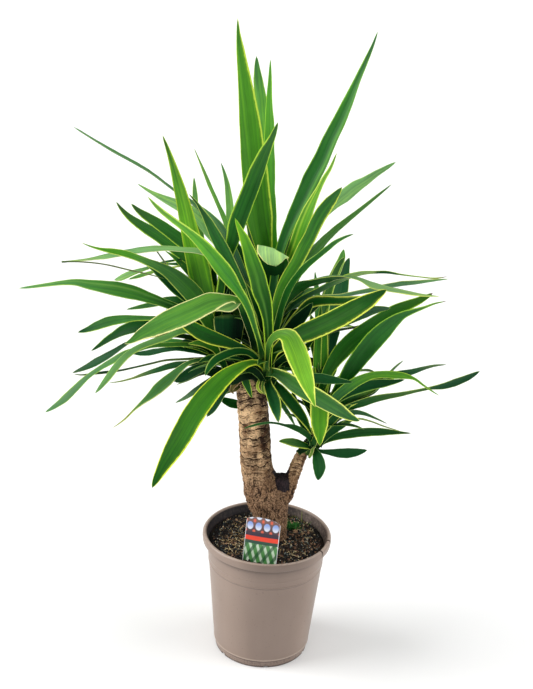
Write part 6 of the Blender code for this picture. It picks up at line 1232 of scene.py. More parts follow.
def wall_r(z):
    """Outer radius of the wall between the foot step and the rim."""
    f = (z - POT_FOOT_H) / (POT_HEIGHT - POT_LIP_DROP - POT_FOOT_H)
    return wall_low + (POT_WALL_TOP_R - wall_low) * f


side_mid = []
for f in np.linspace(0.06, 0.94, 16):
    z = POT_RING_Z - 0.0006 + (POT_FOOT_H + 0.0026 - (POT_RING_Z - 0.0006)) * f
    side_mid.append((wall_r(z), z))
pot_profile = rounded(
    [
        (0.0, z0),
        (0.034, z0),
        (wall_low - POT_WALL - 0.003, z0),
        (wall_low - POT_WALL, z0 + 0.003),
        (POT_WALL_TOP_R - POT_WALL, POT_HEIGHT - POT_LIP_DROP - 0.001),
        (POT_WALL_TOP_R + 0.0006, POT_HEIGHT - 0.0050),
        (POT_WALL_TOP_R + 0.0018, POT_HEIGHT - 0.0010),
        (POT_RIM_R - 0.0042, POT_HEIGHT),
        (POT_RIM_R - 0.0018, POT_HEIGHT - 0.0004),
        (POT_RIM_R - 0.0002, POT_HEIGHT - 0.0026),
        (POT_RIM_R, POT_HEIGHT - 0.0060),
        (POT_RIM_R - 0.0006, POT_HEIGHT - POT_LIP_DROP),
        (POT_RIM_R - 0.0024, POT_HEIGHT - POT_LIP_DROP - 0.0002),
        (POT_RIM_R - 0.0028, POT_HEIGHT - 0.0032),
        (POT_WALL_TOP_R + 0.0026, POT_HEIGHT - 0.0038),
        (POT_WALL_TOP_R, POT_HEIGHT - POT_LIP_DROP),
        (wall_r(0.1562), 0.1562),
        (wall_r(0.1552) + 0.0004, 0.1552),
        (wall_r(0.1538), 0.1538),
        (wall_r(POT_RING_Z + 0.0022) + 0.0001, POT_RING_Z + 0.0022),
        (wall_r(POT_RING_Z + 0.0009) + 0.0009, POT_RING_Z + 0.0009),
        (wall_r(POT_RING_Z - 0.0003) - 0.0002, POT_RING_Z - 0.0003),
    ]
    + side_mid
    + [
        (wall_low + 0.0004, POT_FOOT_H + 0.0022),
        (wall_low + 0.0006, POT_FOOT_H + 0.0006),
        (wall_low - 0.0020, POT_FOOT_H),
        (wall_low - 0.0024, 0.0),
        (wall_low - 0.0054, 0.0),
        (wall_low - 0.0062, z0 - POT_FLOOR),
        (0.033, z0 - POT_FLOOR),
        (0.031, 0.0),
        (0.0, 0.0),
    ],
    0.0009,
)


def pot_wobble(ring):
    ang = np.arctan2(ring[..., 1], ring[..., 0])
    z = ring[..., 2]
    up = smooth(z, 0.02, 0.19)
    grow = 1.0 + up * 0.0016 * np.sin(2 * ang + 0.7) + up * 0.0007 * np.sin(3 * ang + 2.0) + 0.0005 * np.sin(z * 70 + ang)
    return np.stack([ring[..., 0] * grow, ring[..., 1] * grow, z], -1)


pot = lathe("nursery_pot", pot_profile, 200, pot_wobble)


def cutter(name, bm):
    me = bpy.data.meshes.new(name)
    bm.to_mesh(me)
    bm.free()
    obj = bpy.data.objects.new(name, me)
    made.objects.link(obj)
    return obj


bm = bmesh.new()
for i in range(6):
    a = math.tau * (i + 0.25) / 6
    hole = bmesh.ops.create_cone(bm, cap_ends=True, segments=24, radius1=0.0048, radius2=0.0048, depth=0.02)
    bmesh.ops.translate(bm, verts=hole["verts"], vec=Vector((0.049 * math.cos(a), 0.049 * math.sin(a), z0 - POT_FLOOR / 2)))
for i in range(6):
    a = math.tau * (i + 0.62) / 6
    cube = bmesh.ops.create_cube(bm, size=1.0)
    for vert in cube["verts"]:
        x, y, z = vert.co
        x, y, z = 0.0655 + x * 0.014, y * 0.007, z * 0.006
        vert.co = Vector((x * math.cos(a) - y * math.sin(a), x * math.sin(a) + y * math.cos(a), z))
# two hairline splits in the skirt of the rim, on the right
for a, wide, deep in ((math.radians(-10.0), 0.0027, 0.0100), (math.radians(-31.0), 0.0022, 0.0080)):
    cube = bmesh.ops.create_cube(bm, size=1.0)
    for vert in cube["verts"]:
        x, y, z = vert.co
        y = y * wide * (0.2 if z < 0 else 1.0) + (0.0010 if z < 0 else 0.0) + x * 0.0016
        x, z = 0.0925 + x * 0.0090, POT_HEIGHT - deep / 2 + 0.0006 + z * deep
        vert.co = Vector((x * math.cos(a) - y * math.sin(a), x * math.sin(a) + y * math.cos(a), z))
knife = cutter("pot_knife", bm)
saw_cut = pot.modifiers.new("openings", "BOOLEAN")
saw_cut.operation = "DIFFERENCE"
saw_cut.solver = "EXACT"
saw_cut.object = knife
graph = bpy.context.evaluated_depsgraph_get()
cut_mesh = bpy.data.meshes.new_from_object(pot.evaluated_get(graph))
pot.modifiers.clear()
pot.data = cut_mesh
bpy.data.objects.remove(knife, do_unlink=True)
cut_mesh.shade_smooth()
cut_mesh.set_sharp_from_angle(angle=math.radians(38))


def pot_material():
    m = Look("pot_plastic")
    at = m.where()
    x, y, z = m.split(at)
    radius = m.maths("SQRT", m.maths("ADD", m.maths("MULTIPLY", x, x), m.maths("MULTIPLY", y, y)))
    cloud = m.noise(at, 14.0, 2.0, 0.5)
    streak = m.noise(m.vector("MULTIPLY", at, (45.0, 45.0, 3.0)), 1.0, 2.0, 0.5)
    dust = m.noise(at, 240.0, 4.0, 0.7)
    fine = m.noise(at, 1400.0, 2.0, 0.6)
    plastic = m.mix(m.ease(cloud, 0.30, 0.70), srgb(143, 124, 112), srgb(148, 129, 117))
    plastic = m.mix(m.ease(streak, 0.45, 0.75, 0.0, 0.25), plastic, srgb(155, 136, 123))
    # painted shade: the front of the wall is a little darker, most of all under the skirt
    front_shade = m.maths("SUBTRACT", m.maths("MULTIPLY", x, 0.26), m.maths("MULTIPLY", y, 0.966))
    front_shade = m.ease(m.maths("DIVIDE", front_shade, m.maths("MAXIMUM", radius, 0.001)), 0.74, 0.99)
    plastic = m.mix(m.maths("MULTIPLY", front_shade, 0.30), plastic, srgb(104, 86, 77))
    # painted highlight on the foot's edge, painted shade on the inside wall, and a faint film lower down
    foot_highlight = m.maths("MULTIPLY", m.ease(z, 0.0119, 0.0127), m.ease(z, 0.0138, 0.0156, 1.0, 0.0))
    flare = m.maths("MULTIPLY", m.maths("MAXIMUM", m.maths("SUBTRACT", z, 0.1775), 0.0), 0.230)
    wall = m.maths("ADD", m.maths("ADD", 0.0687, m.maths("MULTIPLY", z, 0.0946)), flare)
    inner = m.ease(m.maths("SUBTRACT", wall, radius), -0.0012, -0.0006)
    inner = m.maths("MULTIPLY", inner, m.ease(z, 0.012, 0.016))
    outer = m.maths("SUBTRACT", 1.0, inner)
    below_lip = m.ease(z, 0.1872, 0.1892, 1.0, 0.0)
    inner = m.maths("MULTIPLY", inner, below_lip)
    # lines of painted shade: in the foot's step, under the ring, under the skirt and in the gully behind it; and a
    # darker band along the bottom edge
    step = m.maths("MULTIPLY", m.ease(z, 0.0084, 0.0100), m.ease(z, 0.0112, 0.0121, 1.0, 0.0))
    stand = m.ease(m.maths("ADD", z, m.maths("MULTIPLY", m.maths("SUBTRACT", dust, 0.5), 0.004)), 0.0010, 0.0034, 1.0, 0.0)
    under_ring = m.maths("MULTIPLY", m.ease(z, 0.1425, 0.1436), m.ease(z, 0.1441, 0.1447, 1.0, 0.0))
    under_lip = m.maths("MULTIPLY", m.ease(z, 0.1660, 0.1790), m.ease(z, 0.1868, 0.1874, 1.0, 0.0))
    under_lip = m.maths("MULTIPLY", under_lip, m.ease(radius, 0.0912, 0.0918, 1.0, 0.0))
    gully = m.maths("MULTIPLY", m.ease(z, 0.1781, 0.1787), under_lip)
    lines = m.maths("MAXIMUM", m.maths("MAXIMUM", m.maths("MULTIPLY", step, 0.9), stand), m.maths("MULTIPLY", under_ring, 0.42))
    lines = m.maths("MAXIMUM", lines, m.maths("MULTIPLY", under_lip, 0.82))
    lines = m.maths("MAXIMUM", lines, m.maths("MULTIPLY", m.maths("MULTIPLY", front_shade, m.ease(z, 0.160, 0.177)), 0.24))
    lines = m.maths("MULTIPLY", m.maths("MAXIMUM", lines, gully), outer)
    fleck = m.ease(m.noise(at, 460.0, 2.0, 0.6), 0.57, 0.63)
    low_fleck = m.maths("MULTIPLY", fleck, m.ease(z, 0.004, 0.020, 0.75, 0.0))
    lines = m.maths("MAXIMUM", lines, low_fleck)
    # painted highlight along the top of the rim, broken up by the dust
    rim_top_highlight = m.maths("MULTIPLY", m.ease(z, 0.1888, 0.1899), m.ease(radius, 0.0902, 0.0908))
    plastic = m.mix(m.maths("MULTIPLY", rim_top_highlight, m.ease(dust, 0.35, 0.6, 0.35, 0.75)), plastic, srgb(180, 161, 148))
    # painted shade in and along the two cracks in the skirt
    for turned in (-10.0, -31.0):
        c_, s_ = math.cos(math.radians(turned)), math.sin(math.radians(turned))
        off_line = m.maths("ADD", m.maths("MULTIPLY", x, -s_), m.maths("MULTIPLY", y, c_))
        reach = m.maths("ADD", m.maths("MULTIPLY", x, c_), m.maths("MULTIPLY", y, s_))
        split = m.ease(m.maths("ABSOLUTE", off_line), 0.0011, 0.0024, 1.0, 0.0)
        split = m.maths("MULTIPLY", split, m.maths("MULTIPLY", m.ease(z, 0.1800, 0.1840), m.ease(reach, 0.080, 0.086)))
        lines = m.maths("MAXIMUM", lines, m.maths("MULTIPLY", split, 0.9))
    colour = m.mix(m.maths("MULTIPLY", lines, 0.85), plastic, srgb(52, 38, 32))
    # painted highlight along the foot's rounded edge
    colour = m.mix(m.maths("MULTIPLY", foot_highlight, 0.45), colour, srgb(196, 176, 160))
    # painted shade on the inside wall, darkest on the left, with dusty blotches
    inner_shaded = m.mix(m.ease(dust, 0.40, 0.64), srgb(30, 26, 30), srgb(60, 52, 52))
    inner_lit = m.mix(m.ease(dust, 0.40, 0.64), srgb(84, 72, 66), srgb(122, 106, 96))
    inner_shaded = m.mix(m.ease(m.maths("ADD", x, m.maths("MULTIPLY", m.maths("SUBTRACT", cloud, 0.5), 0.03)), 0.012, 0.066), inner_shaded, inner_lit)
    colour = m.mix(inner, colour, inner_shaded)
    spots = m.ease(m.noise(at, 330.0, 1.0, 0.4), 0.70, 0.76)
    colour = m.mix(m.maths("MULTIPLY", spots, 0.35), colour, srgb(104, 88, 78))
    rough = m.maths("ADD", 0.34, m.maths("MULTIPLY", dust, 0.12))
    rough = m.maths("ADD", rough, m.maths("MULTIPLY", inner, 0.3))
    height = m.maths("ADD", m.maths("MULTIPLY", fine, 0.4), m.maths("MULTIPLY", dust, 0.6))
    m.surface(Base_Color=colour, Roughness=rough, Normal=m.bump(height, 0.18, 0.0004))
    m.skin.inputs["Specular IOR Level"].default_value = 0.45
    return m.material


pot.data.materials.clear()
pot.data.materials.append(pot_material())
take(pot, ("pot",))

# ------------------------------------------------------------------ the soil
inner_low = wall_low - POT_WALL - SOIL_GAP
inner_top = POT_WALL_TOP_R - POT_WALL - SOIL_GAP
inner_z = POT_HEIGHT - POT_LIP_DROP


def inner_r(z):
    return inner_low + (inner_top - inner_low) * (z - z0 - 0.003) / (inner_z - z0 - 0.003)


def soil_height(x, y):
    """Height of the peat surface, for points given in metres."""
    x, y = np.asarray(x, float), np.asarray(y, float)
    r = np.hypot(x, y)
    q = np.stack([x, y, np.zeros_like(x)], -1)
    crown = SOIL_TOP + 0.0020 - 0.0042 * (r / 0.0815) ** 2
    lumps = 0.0018 * fractal(q, 90.0, 2, 61) + 0.0015 * fractal(q, 330.0, 3, 67) + 0.0006 * fractal(q, 1500.0, 2, 71)
    ridge = np.abs(fractal(q, 210.0, 2, 73))
    return crown + lumps + 0.0016 * (0.5 - ridge) * (1 - smooth(r, 0.074, 0.083))


rings_n, steps_n = 96, 260
top_r = inner_r(SOIL_TOP - 0.004) - 0.0002
rr = top_r * (np.arange(1, rings_n + 1) / rings_n) ** 0.85
ang = np.linspace(0, math.tau, steps_n, endpoint=False)
X, Y = rr[:, None] * np.cos(ang), rr[:, None] * np.sin(ang)
Z = soil_height(X, Y)
edge_fade = smooth(rr / top_r, 0.93, 1.0)[:, None]
Z = Z * (1 - edge_fade) + np.minimum(Z, SOIL_TOP - 0.0030) * edge_fade
grid = np.stack([X, Y, Z], -1)
lower = []
for z in (SOIL_TOP - 0.009, 0.13, 0.09, 0.05, z0 + 0.006):
    r = inner_r(z) - 0.0001
    lower.append(np.stack([r * np.cos(ang), r * np.sin(ang), np.full(steps_n, z)], -1))
r = inner_low - 0.0035
lower.append(np.stack([r * np.cos(ang), r * np.sin(ang), np.full(steps_n, z0 + SOIL_GAP)], -1))
grid = np.concatenate([grid, np.array(lower)], 0)
n = len(grid)
pts = np.concatenate([grid.reshape(-1, 3), [[0, 0, float(soil_height(0.0, 0.0))]], [[0, 0, z0 + SOIL_GAP]]])
faces = []
for i in range(n - 1):
    for j in range(steps_n):
        k = (j + 1) % steps_n
        faces.append((i * steps_n + j, (i + 1) * steps_n + j, (i + 1) * steps_n + k, i * steps_n + k))
for j in range(steps_n):
    k = (j + 1) % steps_n
    faces.append((j, k, n * steps_n))
    faces.append(((n - 1) * steps_n + k, (n - 1) * steps_n + j, n * steps_n + 1))
soil = mesh_object("peat", pts, faces)


def soil_material():
    m = Look("peat_mix")
    at = m.where()
    coarse = m.noise(at, 75.0, 3.0, 0.6)
    crumb = m.noise(at, 420.0, 4.0, 0.72)
    grit = m.cells(at, 520.0)
    colour = m.mix(m.ease(crumb, 0.36, 0.66), srgb(6, 7, 9), srgb(42, 36, 33))
    colour = m.mix(m.ease(coarse, 0.48, 0.68, 0.0, 0.5), colour, srgb(70, 52, 36))
    colour = m.mix(m.ease(grit, 0.06, 0.20, 0.5, 0.0), colour, srgb(110, 92, 66))
    height = m.maths("ADD", crumb, m.maths("MULTIPLY", grit, 0.7))
    m.surface(Base_Color=colour, Roughness=m.ease(crumb, 0.3, 0.7, 0.98, 0.80), Normal=m.bump(height, 0.8, 0.0012))
    m.skin.inputs["Specular IOR Level"].default_value = 0.2
    return m.material


soil.data.materials.append(soil_material())
take(soil, ("soil",))

# crumbs, bark chips, fibres and grit lying on the peat
rng = np.random.default_rng(7)
bm = bmesh.new()
bmesh.ops.create_icosphere(bm, subdivisions=1, radius=1.0)
bm.verts.ensure_lookup_table()
pebble_p = np.array([tuple(v.co) for v in bm.verts])
pebble_f = [tuple(v.index for v in f.verts) for f in bm.faces]
bm.free()
STEM_XY = limbs["stem"].p[:20]


def clear_of_cane(x, y, room):
    zs = SOIL_TOP + 0.003
    k = int(np.argmin(np.abs(limbs["stem"].p[:, 2] - zs)))
    c = limbs["stem"].p[k]
    return math.hypot(x - c[0], y - c[1]) > limbs["stem"].r[k] + room


def turn(rng_):
    """A random rotation."""
    q = rng_.normal(size=4)
    q /= np.linalg.norm(q)
    w, x, y, z = q
    return np.array(
        [
            [1 - 2 * (y * y + z * z), 2 * (x * y - z * w), 2 * (x * z + y * w)],
            [2 * (x * y + z * w), 1 - 2 * (x * x + z * z), 2 * (y * z - x * w)],
            [2 * (x * z - y * w), 2 * (y * z + x * w), 1 - 2 * (x * x + y * y)],
        ]
    )


bits_p, bits_f, bits_c, off = [], [], [], 0
KINDS = [
    # share, size in mm low and high, flatness, colours
    (0.40, 1.0, 3.2, 0.75, [(18, 18, 20), (26, 24, 24), (12, 11, 13), (44, 38, 36)]),
    (0.18, 1.4, 4.4, 0.50, [(112, 84, 66), (150, 114, 88), (84, 62, 52), (184, 144, 114)]),
    (0.11, 1.0, 2.8, 0.60, [(180, 160, 122), (214, 196, 160), (150, 130, 98)]),
    (0.07, 0.8, 2.0, 0.90, [(214, 210, 198), (186, 184, 174), (160, 158, 150)]),
    (0.24, 1.0, 3.2, 0.80, [(72, 82, 80), (54, 62, 64), (110, 118, 112), (38, 42, 44)]),
]
made_bits = 0
while made_bits < 3000:
    r = 0.0805 * math.sqrt(rng.uniform())
    a = rng.uniform(0, math.tau)
    x, y = r * math.cos(a), r * math.sin(a)
    if not clear_of_cane(x, y, 0.0015):
        continue
    right = smooth(np.array(x), -0.01, 0.03)
    pick = rng.uniform()
    k = 0
    for k, kind in enumerate(KINDS):
        pick -= kind[0]
        if pick <= 0:
            break
    if k == 1 and rng.uniform() > 0.45 + 0.55 * right:
        k = 0
    share, lo, hi, flat, colours = KINDS[k]
    size = rng.uniform(lo, hi) / 2000.0
    jig = 1 + 0.28 * rng.uniform(-1, 1, len(pebble_p))[:, None]
    q = pebble_p * jig * np.array([size * rng.uniform(1.0, 1.7), size, size * flat])
    q = q @ turn(rng).T if k != 1 else q @ turn(np.random.default_rng(rng.integers(1 << 30))).T
    z = float(soil_height(x, y)) + size * 0.25
    q = q + np.array([x, y, z])
    bits_p.append(q)
    bits_f += [tuple(i + off for i in f) for f in pebble_f]
    c = srgb(*colours[rng.integers(len(colours))]) * rng.uniform(0.75, 1.2)
    bits_c.append(np.tile(np.r_[c, 1.0], (len(q), 1)))
    off += len(q)
    made_bits += 1


def fibre(start, heading, length, thick, bend, colour):
    """A thin bent strand, closed at both ends."""
    global off
    n = 6
    side = unit(np.cross(heading, [0, 0, 1.0]))
    s = np.linspace(-0.5, 0.5, n)
    line = start + heading * (s * length)[:, None] + side * (bend * length * (s**2 - 0.08))[:, None]
    zs = np.maximum(soil_height(line[:, 0], line[:, 1]) + thick * 0.8, line[:, 2])
    line[:, 2] = np.convolve(np.r_[zs[0], zs, zs[-1]], [0.25, 0.5, 0.25], "valid") + thick * 0.3
    ring = []
    for i in range(n):
        w = thick * (0.35 if i in (0, n - 1) else 1.0)
        for k in range(4):
            g = math.tau * k / 4 + 0.4
            ring.append(line[i] + side * math.cos(g) * w + np.array([0, 0, 1.0]) * math.sin(g) * w * 0.7)
    for i in range(n - 1):
        for k in range(4):
            j = (k + 1) % 4
            bits_f.append((off + i * 4 + k, off + i * 4 + j, off + (i + 1) * 4 + j, off + (i + 1) * 4 + k))
    bits_f.append((off + 3, off + 2, off + 1, off))
    e = off + (n - 1) * 4
    bits_f.append((e, e + 1, e + 2, e + 3))
    bits_p.append(np.array(ring))
    bits_c.append(np.tile(np.r_[srgb(*colour), 1.0], (len(ring), 1)))
    off += len(ring)


count = 0
while count < 460:
    tan_patch = rng.uniform() < 0.34
    if tan_patch:
        x, y = rng.normal(-0.040, 0.013), rng.normal(-0.020, 0.020)
    else:
        r = 0.074 * math.sqrt(rng.uniform())
        a = rng.uniform(0, math.tau)
        x, y = r * math.cos(a), r * math.sin(a)
    if math.hypot(x, y) > 0.074 or not clear_of_cane(x, y, 0.004):
        continue
    a = rng.uniform(0, math.tau)
    heading = np.array([math.cos(a), math.sin(a), 0.0])
    tone_pick = [(200, 172, 122), (160, 130, 88), (226, 206, 160), (120, 94, 62)][rng.integers(4)]
    if not tan_patch and rng.uniform() < 0.5:
        tone_pick = (92, 70, 46)
    fibre(np.array([x, y, 0.0]), heading, rng.uniform(0.004, 0.016), rng.uniform(0.00025, 0.00060), rng.uniform(-0.6, 0.6), tone_pick)
    count += 1
bits = mesh_object("peat_crumbs", np.concatenate(bits_p), bits_f, smooth_shade=False, bit_hue=np.concatenate(bits_c))


def bits_material():
    m = Look("peat_crumbs")
    hue = m.attribute("bit_hue", colour=True)
    speck = m.noise(m.where(), 1600.0, 3.0, 0.7)
    colour = m.vector("SCALE", hue, m.ease(speck, 0.3, 0.7, 0.65, 1.25))
    m.surface(Base_Color=colour, Roughness=m.ease(speck, 0.3, 0.7, 0.95, 0.75), Normal=m.bump(speck, 0.5, 0.0004))
    m.skin.inputs["Specular IOR Level"].default_value = 0.25
    return m.material


bits.data.materials.append(bits_material())
take(bits)

# ------------------------------------------------------ moss and a grass blade


def tuft(name, centre, count, spread_m, tall, colours, seed, sway=0.45, least=0.5, slim=1.0):
    rng_ = np.random.default_rng(seed)
    pts, faces, cols, off_ = [], [], [], 0
    for _ in range(count):
        x = centre[0] + rng_.normal(0, spread_m)
        y = centre[1] + rng_.normal(0, spread_m * 0.8)
        z = float(soil_height(x, y)) - 0.0006
        lean = rng_.normal(0, sway, 2)
        h = tall * rng_.uniform(least, 1.2)
        w = h * rng_.uniform(0.05, 0.09) * slim
        g = rng_.uniform(0, math.tau)
        side = np.array([math.cos(g), math.sin(g), 0.0])
        deep = np.array([-math.sin(g), math.cos(g), 0.0])
        rows = []
        for s, k in ((0.0, 1.0), (0.35, 1.2), (0.7, 0.8), (1.0, 0.12)):
            c = np.array([x + lean[0] * h * s * s, y + lean[1] * h * s * s, z + h * s])
            rows += [c - side * w * k, c + deep * w * k * 0.4, c + side * w * k, c - deep * w * k * 0.4]
        for i in range(3):
            for k in range(4):
                j = (k + 1) % 4
                faces.append((off_ + i * 4 + k, off_ + (i + 1) * 4 + k, off_ + (i + 1) * 4 + j, off_ + i * 4 + j))
        faces.append((off_, off_ + 1, off_ + 2, off_ + 3))
        faces.append((off_ + 15, off_ + 14, off_ + 13, off_ + 12))
        pts.append(np.array(rows))
        c = srgb(*colours[rng_.integers(len(colours))]) * rng_.uniform(0.8, 1.2)
        cols.append(np.tile(np.r_[c, 1.0], (16, 1)))
        off_ += 16
    obj = mesh_object(name, np.concatenate(pts), faces, bit_hue=np.concatenate(cols))
    obj.data.materials.append(bits.data.materials[0])
    return take(obj)




def on_soil(u, v):
    """The point of the peat's mean surface seen at (u, v)."""
    near_p, far_p = place(u, v, -0.09), place(u, v, 0.09)
    f = (SOIL_TOP + 0.001 - near_p[2]) / (far_p[2] - near_p[2])
    return near_p + (far_p - near_p) * f


spot = on_soil(293.0, 527.5)
tuft("moss_tuft", (float(spot[0]), float(spot[1])), 300, 0.0052, 0.0070, [(34, 104, 34), (52, 126, 48), (22, 78, 28), (84, 142, 66)], 3)
spot = on_soil(301.5, 522.0)
tuft("seedling", (float(spot[0]), float(spot[1])), 1, 0.0001, 0.0225, [(136, 140, 84)], 5, 0.05, 1.1, 0.60)
spot = on_soil(306.0, 524.0)
tuft("seedlings", (float(spot[0]), float(spot[1])), 5, 0.0030, 0.0085, [(110, 130, 70), (140, 150, 90)], 9, 0.35, 0.6, 0.6)
spot = on_soil(290.0, 516.5)
tuft("moss_back", (float(spot[0]), float(spot[1])), 60, 0.0050, 0.0034, [(120, 124, 50), (96, 104, 44), (150, 140, 70)], 6)

# ------------------------------------------------------------- the plant tag
TAG_FOOT = place(258.0, 573.0, -0.0705)
TAG_HEAD = place(263.7, 521.0, -0.0575)
TAG_WIDTH = 0.0505
TAG_YAW = math.radians(17.0)
up = unit(TAG_HEAD - TAG_FOOT)
side = np.array([math.cos(TAG_YAW), -math.sin(TAG_YAW), 0.0])
side = unit(side - up * np.dot(side, up))
front = np.cross(side, up)
tall = float(np.linalg.norm(TAG_HEAD - TAG_FOOT))
half = TAG_WIDTH / 2
outline = [(-0.006, -0.030), (0.006, -0.030), (0.009, -0.008), (half - 0.002, 0.0), (half, 0.003), (half, tall - 0.004)]
for k in range(0, 13):
    a = math.pi * k / 12
    outline.append((half * math.cos(a) * (1 - 0.02 * math.sin(a)), tall - 0.003 + 0.0072 * math.sin(a)))
outline += [(-half, tall - 0.004), (-half, 0.003), (-half + 0.002, 0.0), (-0.009, -0.008)]
bm = bmesh.new()
verts = [bm.verts.new((x, y, 0.0)) for x, y in outline]
face_ = bm.faces.new(verts)
for _ in range(2):
    bmesh.ops.triangulate(bm, faces=bm.faces[:])
    bmesh.ops.subdivide_edges(bm, edges=[e for e in bm.edges if e.calc_length() > 0.006], cuts=1, use_grid_fill=False)
bmesh.ops.triangulate(bm, faces=bm.faces[:])
bm.verts.index_update()
flat_p = np.array([tuple(v.co) for v in bm.verts])
flat_f = [tuple(v.index for v in f.verts) for f in bm.faces]
rim_edges = [(e.verts[0].index, e.verts[1].index) for e in bm.edges if len(e.link_faces) == 1]
bm.free()
bow = 0.0012 * (1 - (flat_p[:, 0] / half) ** 2) - 0.0006
sheet = TAG_FOOT + side * flat_p[:, :1] + up * flat_p[:, 1:2] + front * bow[:, None]
fp = sheet + front * 0.00035
bp = sheet - front * 0.00035
m_ = len(sheet)
tri0 = flat_f[0]
nrm = np.cross(fp[tri0[1]] - fp[tri0[0]], fp[tri0[2]] - fp[tri0[0]])
flip = np.dot(nrm, front) < 0
tag_faces = []
for f in flat_f:
    tag_faces.append(f[::-1] if flip else f)
    back_f = tuple(i + m_ for i in f)
    tag_faces.append(back_f if flip else back_f[::-1])
bm = bmesh.new()
vs = [bm.verts.new(Vector(q)) for q in np.concatenate([fp, bp])]
for f in tag_faces:
    bm.faces.new([vs[i] for i in f])
for a, b in rim_edges:
    bm.faces.new([vs[a], vs[b], vs[b + m_], vs[a + m_]])
bmesh.ops.recalc_face_normals(bm, faces=bm.faces)
me = bpy.data.meshes.new("label_card")
bm.to_mesh(me)
bm.free()
layer = me.attributes.new("card_at", "FLOAT_VECTOR", "POINT")
card_at = np.concatenate([np.c_[flat_p[:, 0] / half, flat_p[:, 1] / tall, np.zeros(m_)], np.c_[flat_p[:, 0] / half, flat_p[:, 1] / tall, np.ones(m_)]])
layer.data.foreach_set("vector", card_at.astype(np.float32).ravel())
tag = bpy.data.objects.new("label_card", me)
made.objects.link(tag)
me.set_sharp_from_angle(angle=math.radians(30))


def tag_material():
    """A plain generic print: slanted colour fields, dots and two leaf shapes."""
    m = Look("tag_print")
    x, y, rear = m.split(m.attribute("card_at"))
    slant = m.maths("ADD", y, m.maths("MULTIPLY", x, -0.015))
    grain = m.noise(m.where(), 900.0, 2.0, 0.5)
    sky = m.mix(m.ease(slant, 0.76, 1.0), srgb(72, 50, 58), srgb(120, 88, 84))
    dot_cell = m.maths("FRACT", m.maths("MULTIPLY", x, 2.0))
    dot_row = m.maths("FRACT", m.maths("ADD", m.maths("MULTIPLY", slant, 5.0), 0.08))
    dx = m.maths("SUBTRACT", dot_cell, 0.5)
    dy = m.maths("SUBTRACT", dot_row, 0.5)
    ring = m.maths("SQRT", m.maths("ADD", m.maths("MULTIPLY", dx, dx), m.maths("MULTIPLY", dy, dy)))
    disc = m.mix(m.ease(dy, -0.36, 0.30), srgb(226, 232, 246), srgb(136, 164, 228))
    sky = m.mix(m.ease(ring, 0.34, 0.40, 0.95, 0.0), sky, disc)
    cx = m.maths("SUBTRACT", m.maths("ABSOLUTE", dx), 0.5)
    cy = m.maths("SUBTRACT", m.maths("ABSOLUTE", dy), 0.5)
    corner = m.maths("SQRT", m.maths("ADD", m.maths("MULTIPLY", cx, cx), m.maths("MULTIPLY", cy, cy)))
    sky = m.mix(m.ease(corner, 0.13, 0.19, 0.9, 0.0), sky, srgb(226, 96, 62))
    low = m.mix(m.ease(slant, 0.0, 0.42), srgb(232, 240, 226), srgb(206, 228, 200))
    wave = m.maths("ABSOLUTE", m.maths("SINE", m.maths("ADD", m.maths("MULTIPLY", x, 7.5), m.maths("MULTIPLY", y, 9.0))))
    low = m.mix(m.ease(wave, 0.45, 0.75), low, srgb(84, 146, 78))
    wave2 = m.maths("ABSOLUTE", m.maths("SINE", m.maths("SUBTRACT", m.maths("MULTIPLY", x, 6.0), m.maths("MULTIPLY", y, 11.0))))
    low = m.mix(m.ease(wave2, 0.72, 0.92, 0.0, 0.8), low, srgb(40, 92, 52))
    colour = m.mix(m.ease(slant, 0.545, 0.555), low, srgb(34, 74, 56))
    colour = m.mix(m.ease(slant, 0.607, 0.617), colour, srgb(236, 62, 32))
    colour = m.mix(m.ease(slant, 0.690, 0.700), colour, srgb(50, 34, 52))
    colour = m.mix(m.ease(slant, 0.765, 0.775), colour, sky)
    border = m.ease(m.maths("ABSOLUTE", x), 0.965, 0.98)
    colour = m.mix(border, colour, srgb(236, 236, 240))
    colour = m.mix(m.ease(y, -0.01, 0.0, 1.0, 0.0), colour, srgb(236, 236, 240))
    colour = m.mix(m.ease(rear, 0.4, 0.6), colour, srgb(232, 232, 232))
    colour = m.vector("SCALE", colour, m.ease(grain, 0.3, 0.7, 0.93, 1.03))
    m.surface(Base_Color=colour, Roughness=m.ease(grain, 0.3, 0.7, 0.28, 0.40), Normal=m.bump(grain, 0.1, 0.0002))
    m.skin.inputs["Specular IOR Level"].default_value = 0.5
    return m.material


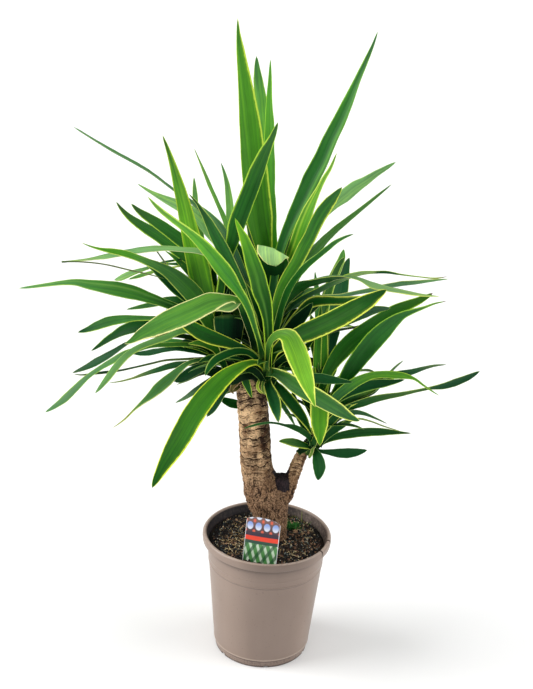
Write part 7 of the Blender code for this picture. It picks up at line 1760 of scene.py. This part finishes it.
tag.data.materials.append(tag_material())
take(tag, ("plant_tag",))

# ----------------------------------------------------- floor, light, camera
me = bpy.data.meshes.new("floor")
me.from_pydata([(-60, -40, 0), (60, -40, 0), (60, 80, 0), (-60, 80, 0)], [], [(0, 1, 2, 3)])
floor = bpy.data.objects.new("floor", me)
bpy.context.scene.collection.objects.link(floor)
look = Look("floor_paper")
paper = look.noise(look.where(), 3.0, 3.0, 0.5)
look.surface(Base_Color=look.mix(paper, srgb(246, 246, 246), srgb(249, 249, 248)), Roughness=look.ease(paper, 0.3, 0.7, 0.75, 0.85))
look.skin.inputs["Specular IOR Level"].default_value = 0.1
me.materials.append(look.material)

world = bpy.data.worlds.new("studio")
world.use_nodes = True
bg = world.node_tree.nodes["Background"]
bg.inputs["Color"].default_value = (1.0, 1.0, 1.0, 1.0)
bg.inputs["Strength"].default_value = 0.32
bpy.context.scene.world = world


def sun(name, strength, angle, toward):
    data = bpy.data.lights.new(name, "SUN")
    data.energy = strength
    data.angle = math.radians(angle)
    obj = bpy.data.objects.new(name, data)
    obj.rotation_mode = "QUATERNION"
    obj.rotation_quaternion = Vector(toward).to_track_quat("-Z", "Y")
    bpy.context.scene.collection.objects.link(obj)
    return obj


sun("key_soft", 2.80, 45, (1.0, 0.06, -0.66))
sun("side_soft", 1.56, 58, (-1.0, 0.02, -0.68))
sun("top_soft", 0.76, 70, (0.05, 0.22, -1.0))

camera_data = bpy.data.cameras.new("view")
camera_data.sensor_width = 36.0
camera_data.lens = VIEW_SCALE * 36.0 / 689.0
camera_data.clip_start = 0.05
camera_data.clip_end = 300.0
camera = bpy.data.objects.new("view", camera_data)
from mathutils import Matrix

turn_ = Matrix((VIEW_X, VIEW_Y, -AHEAD)).transposed().to_4x4()
camera.matrix_world = Matrix.Translation(Vector(VIEW_AT)) @ turn_
bpy.context.scene.collection.objects.link(camera)
bpy.context.scene.camera = camera

bpy.context.scene.view_settings.view_transform = "Standard"
bpy.context.scene.view_settings.look = "None"
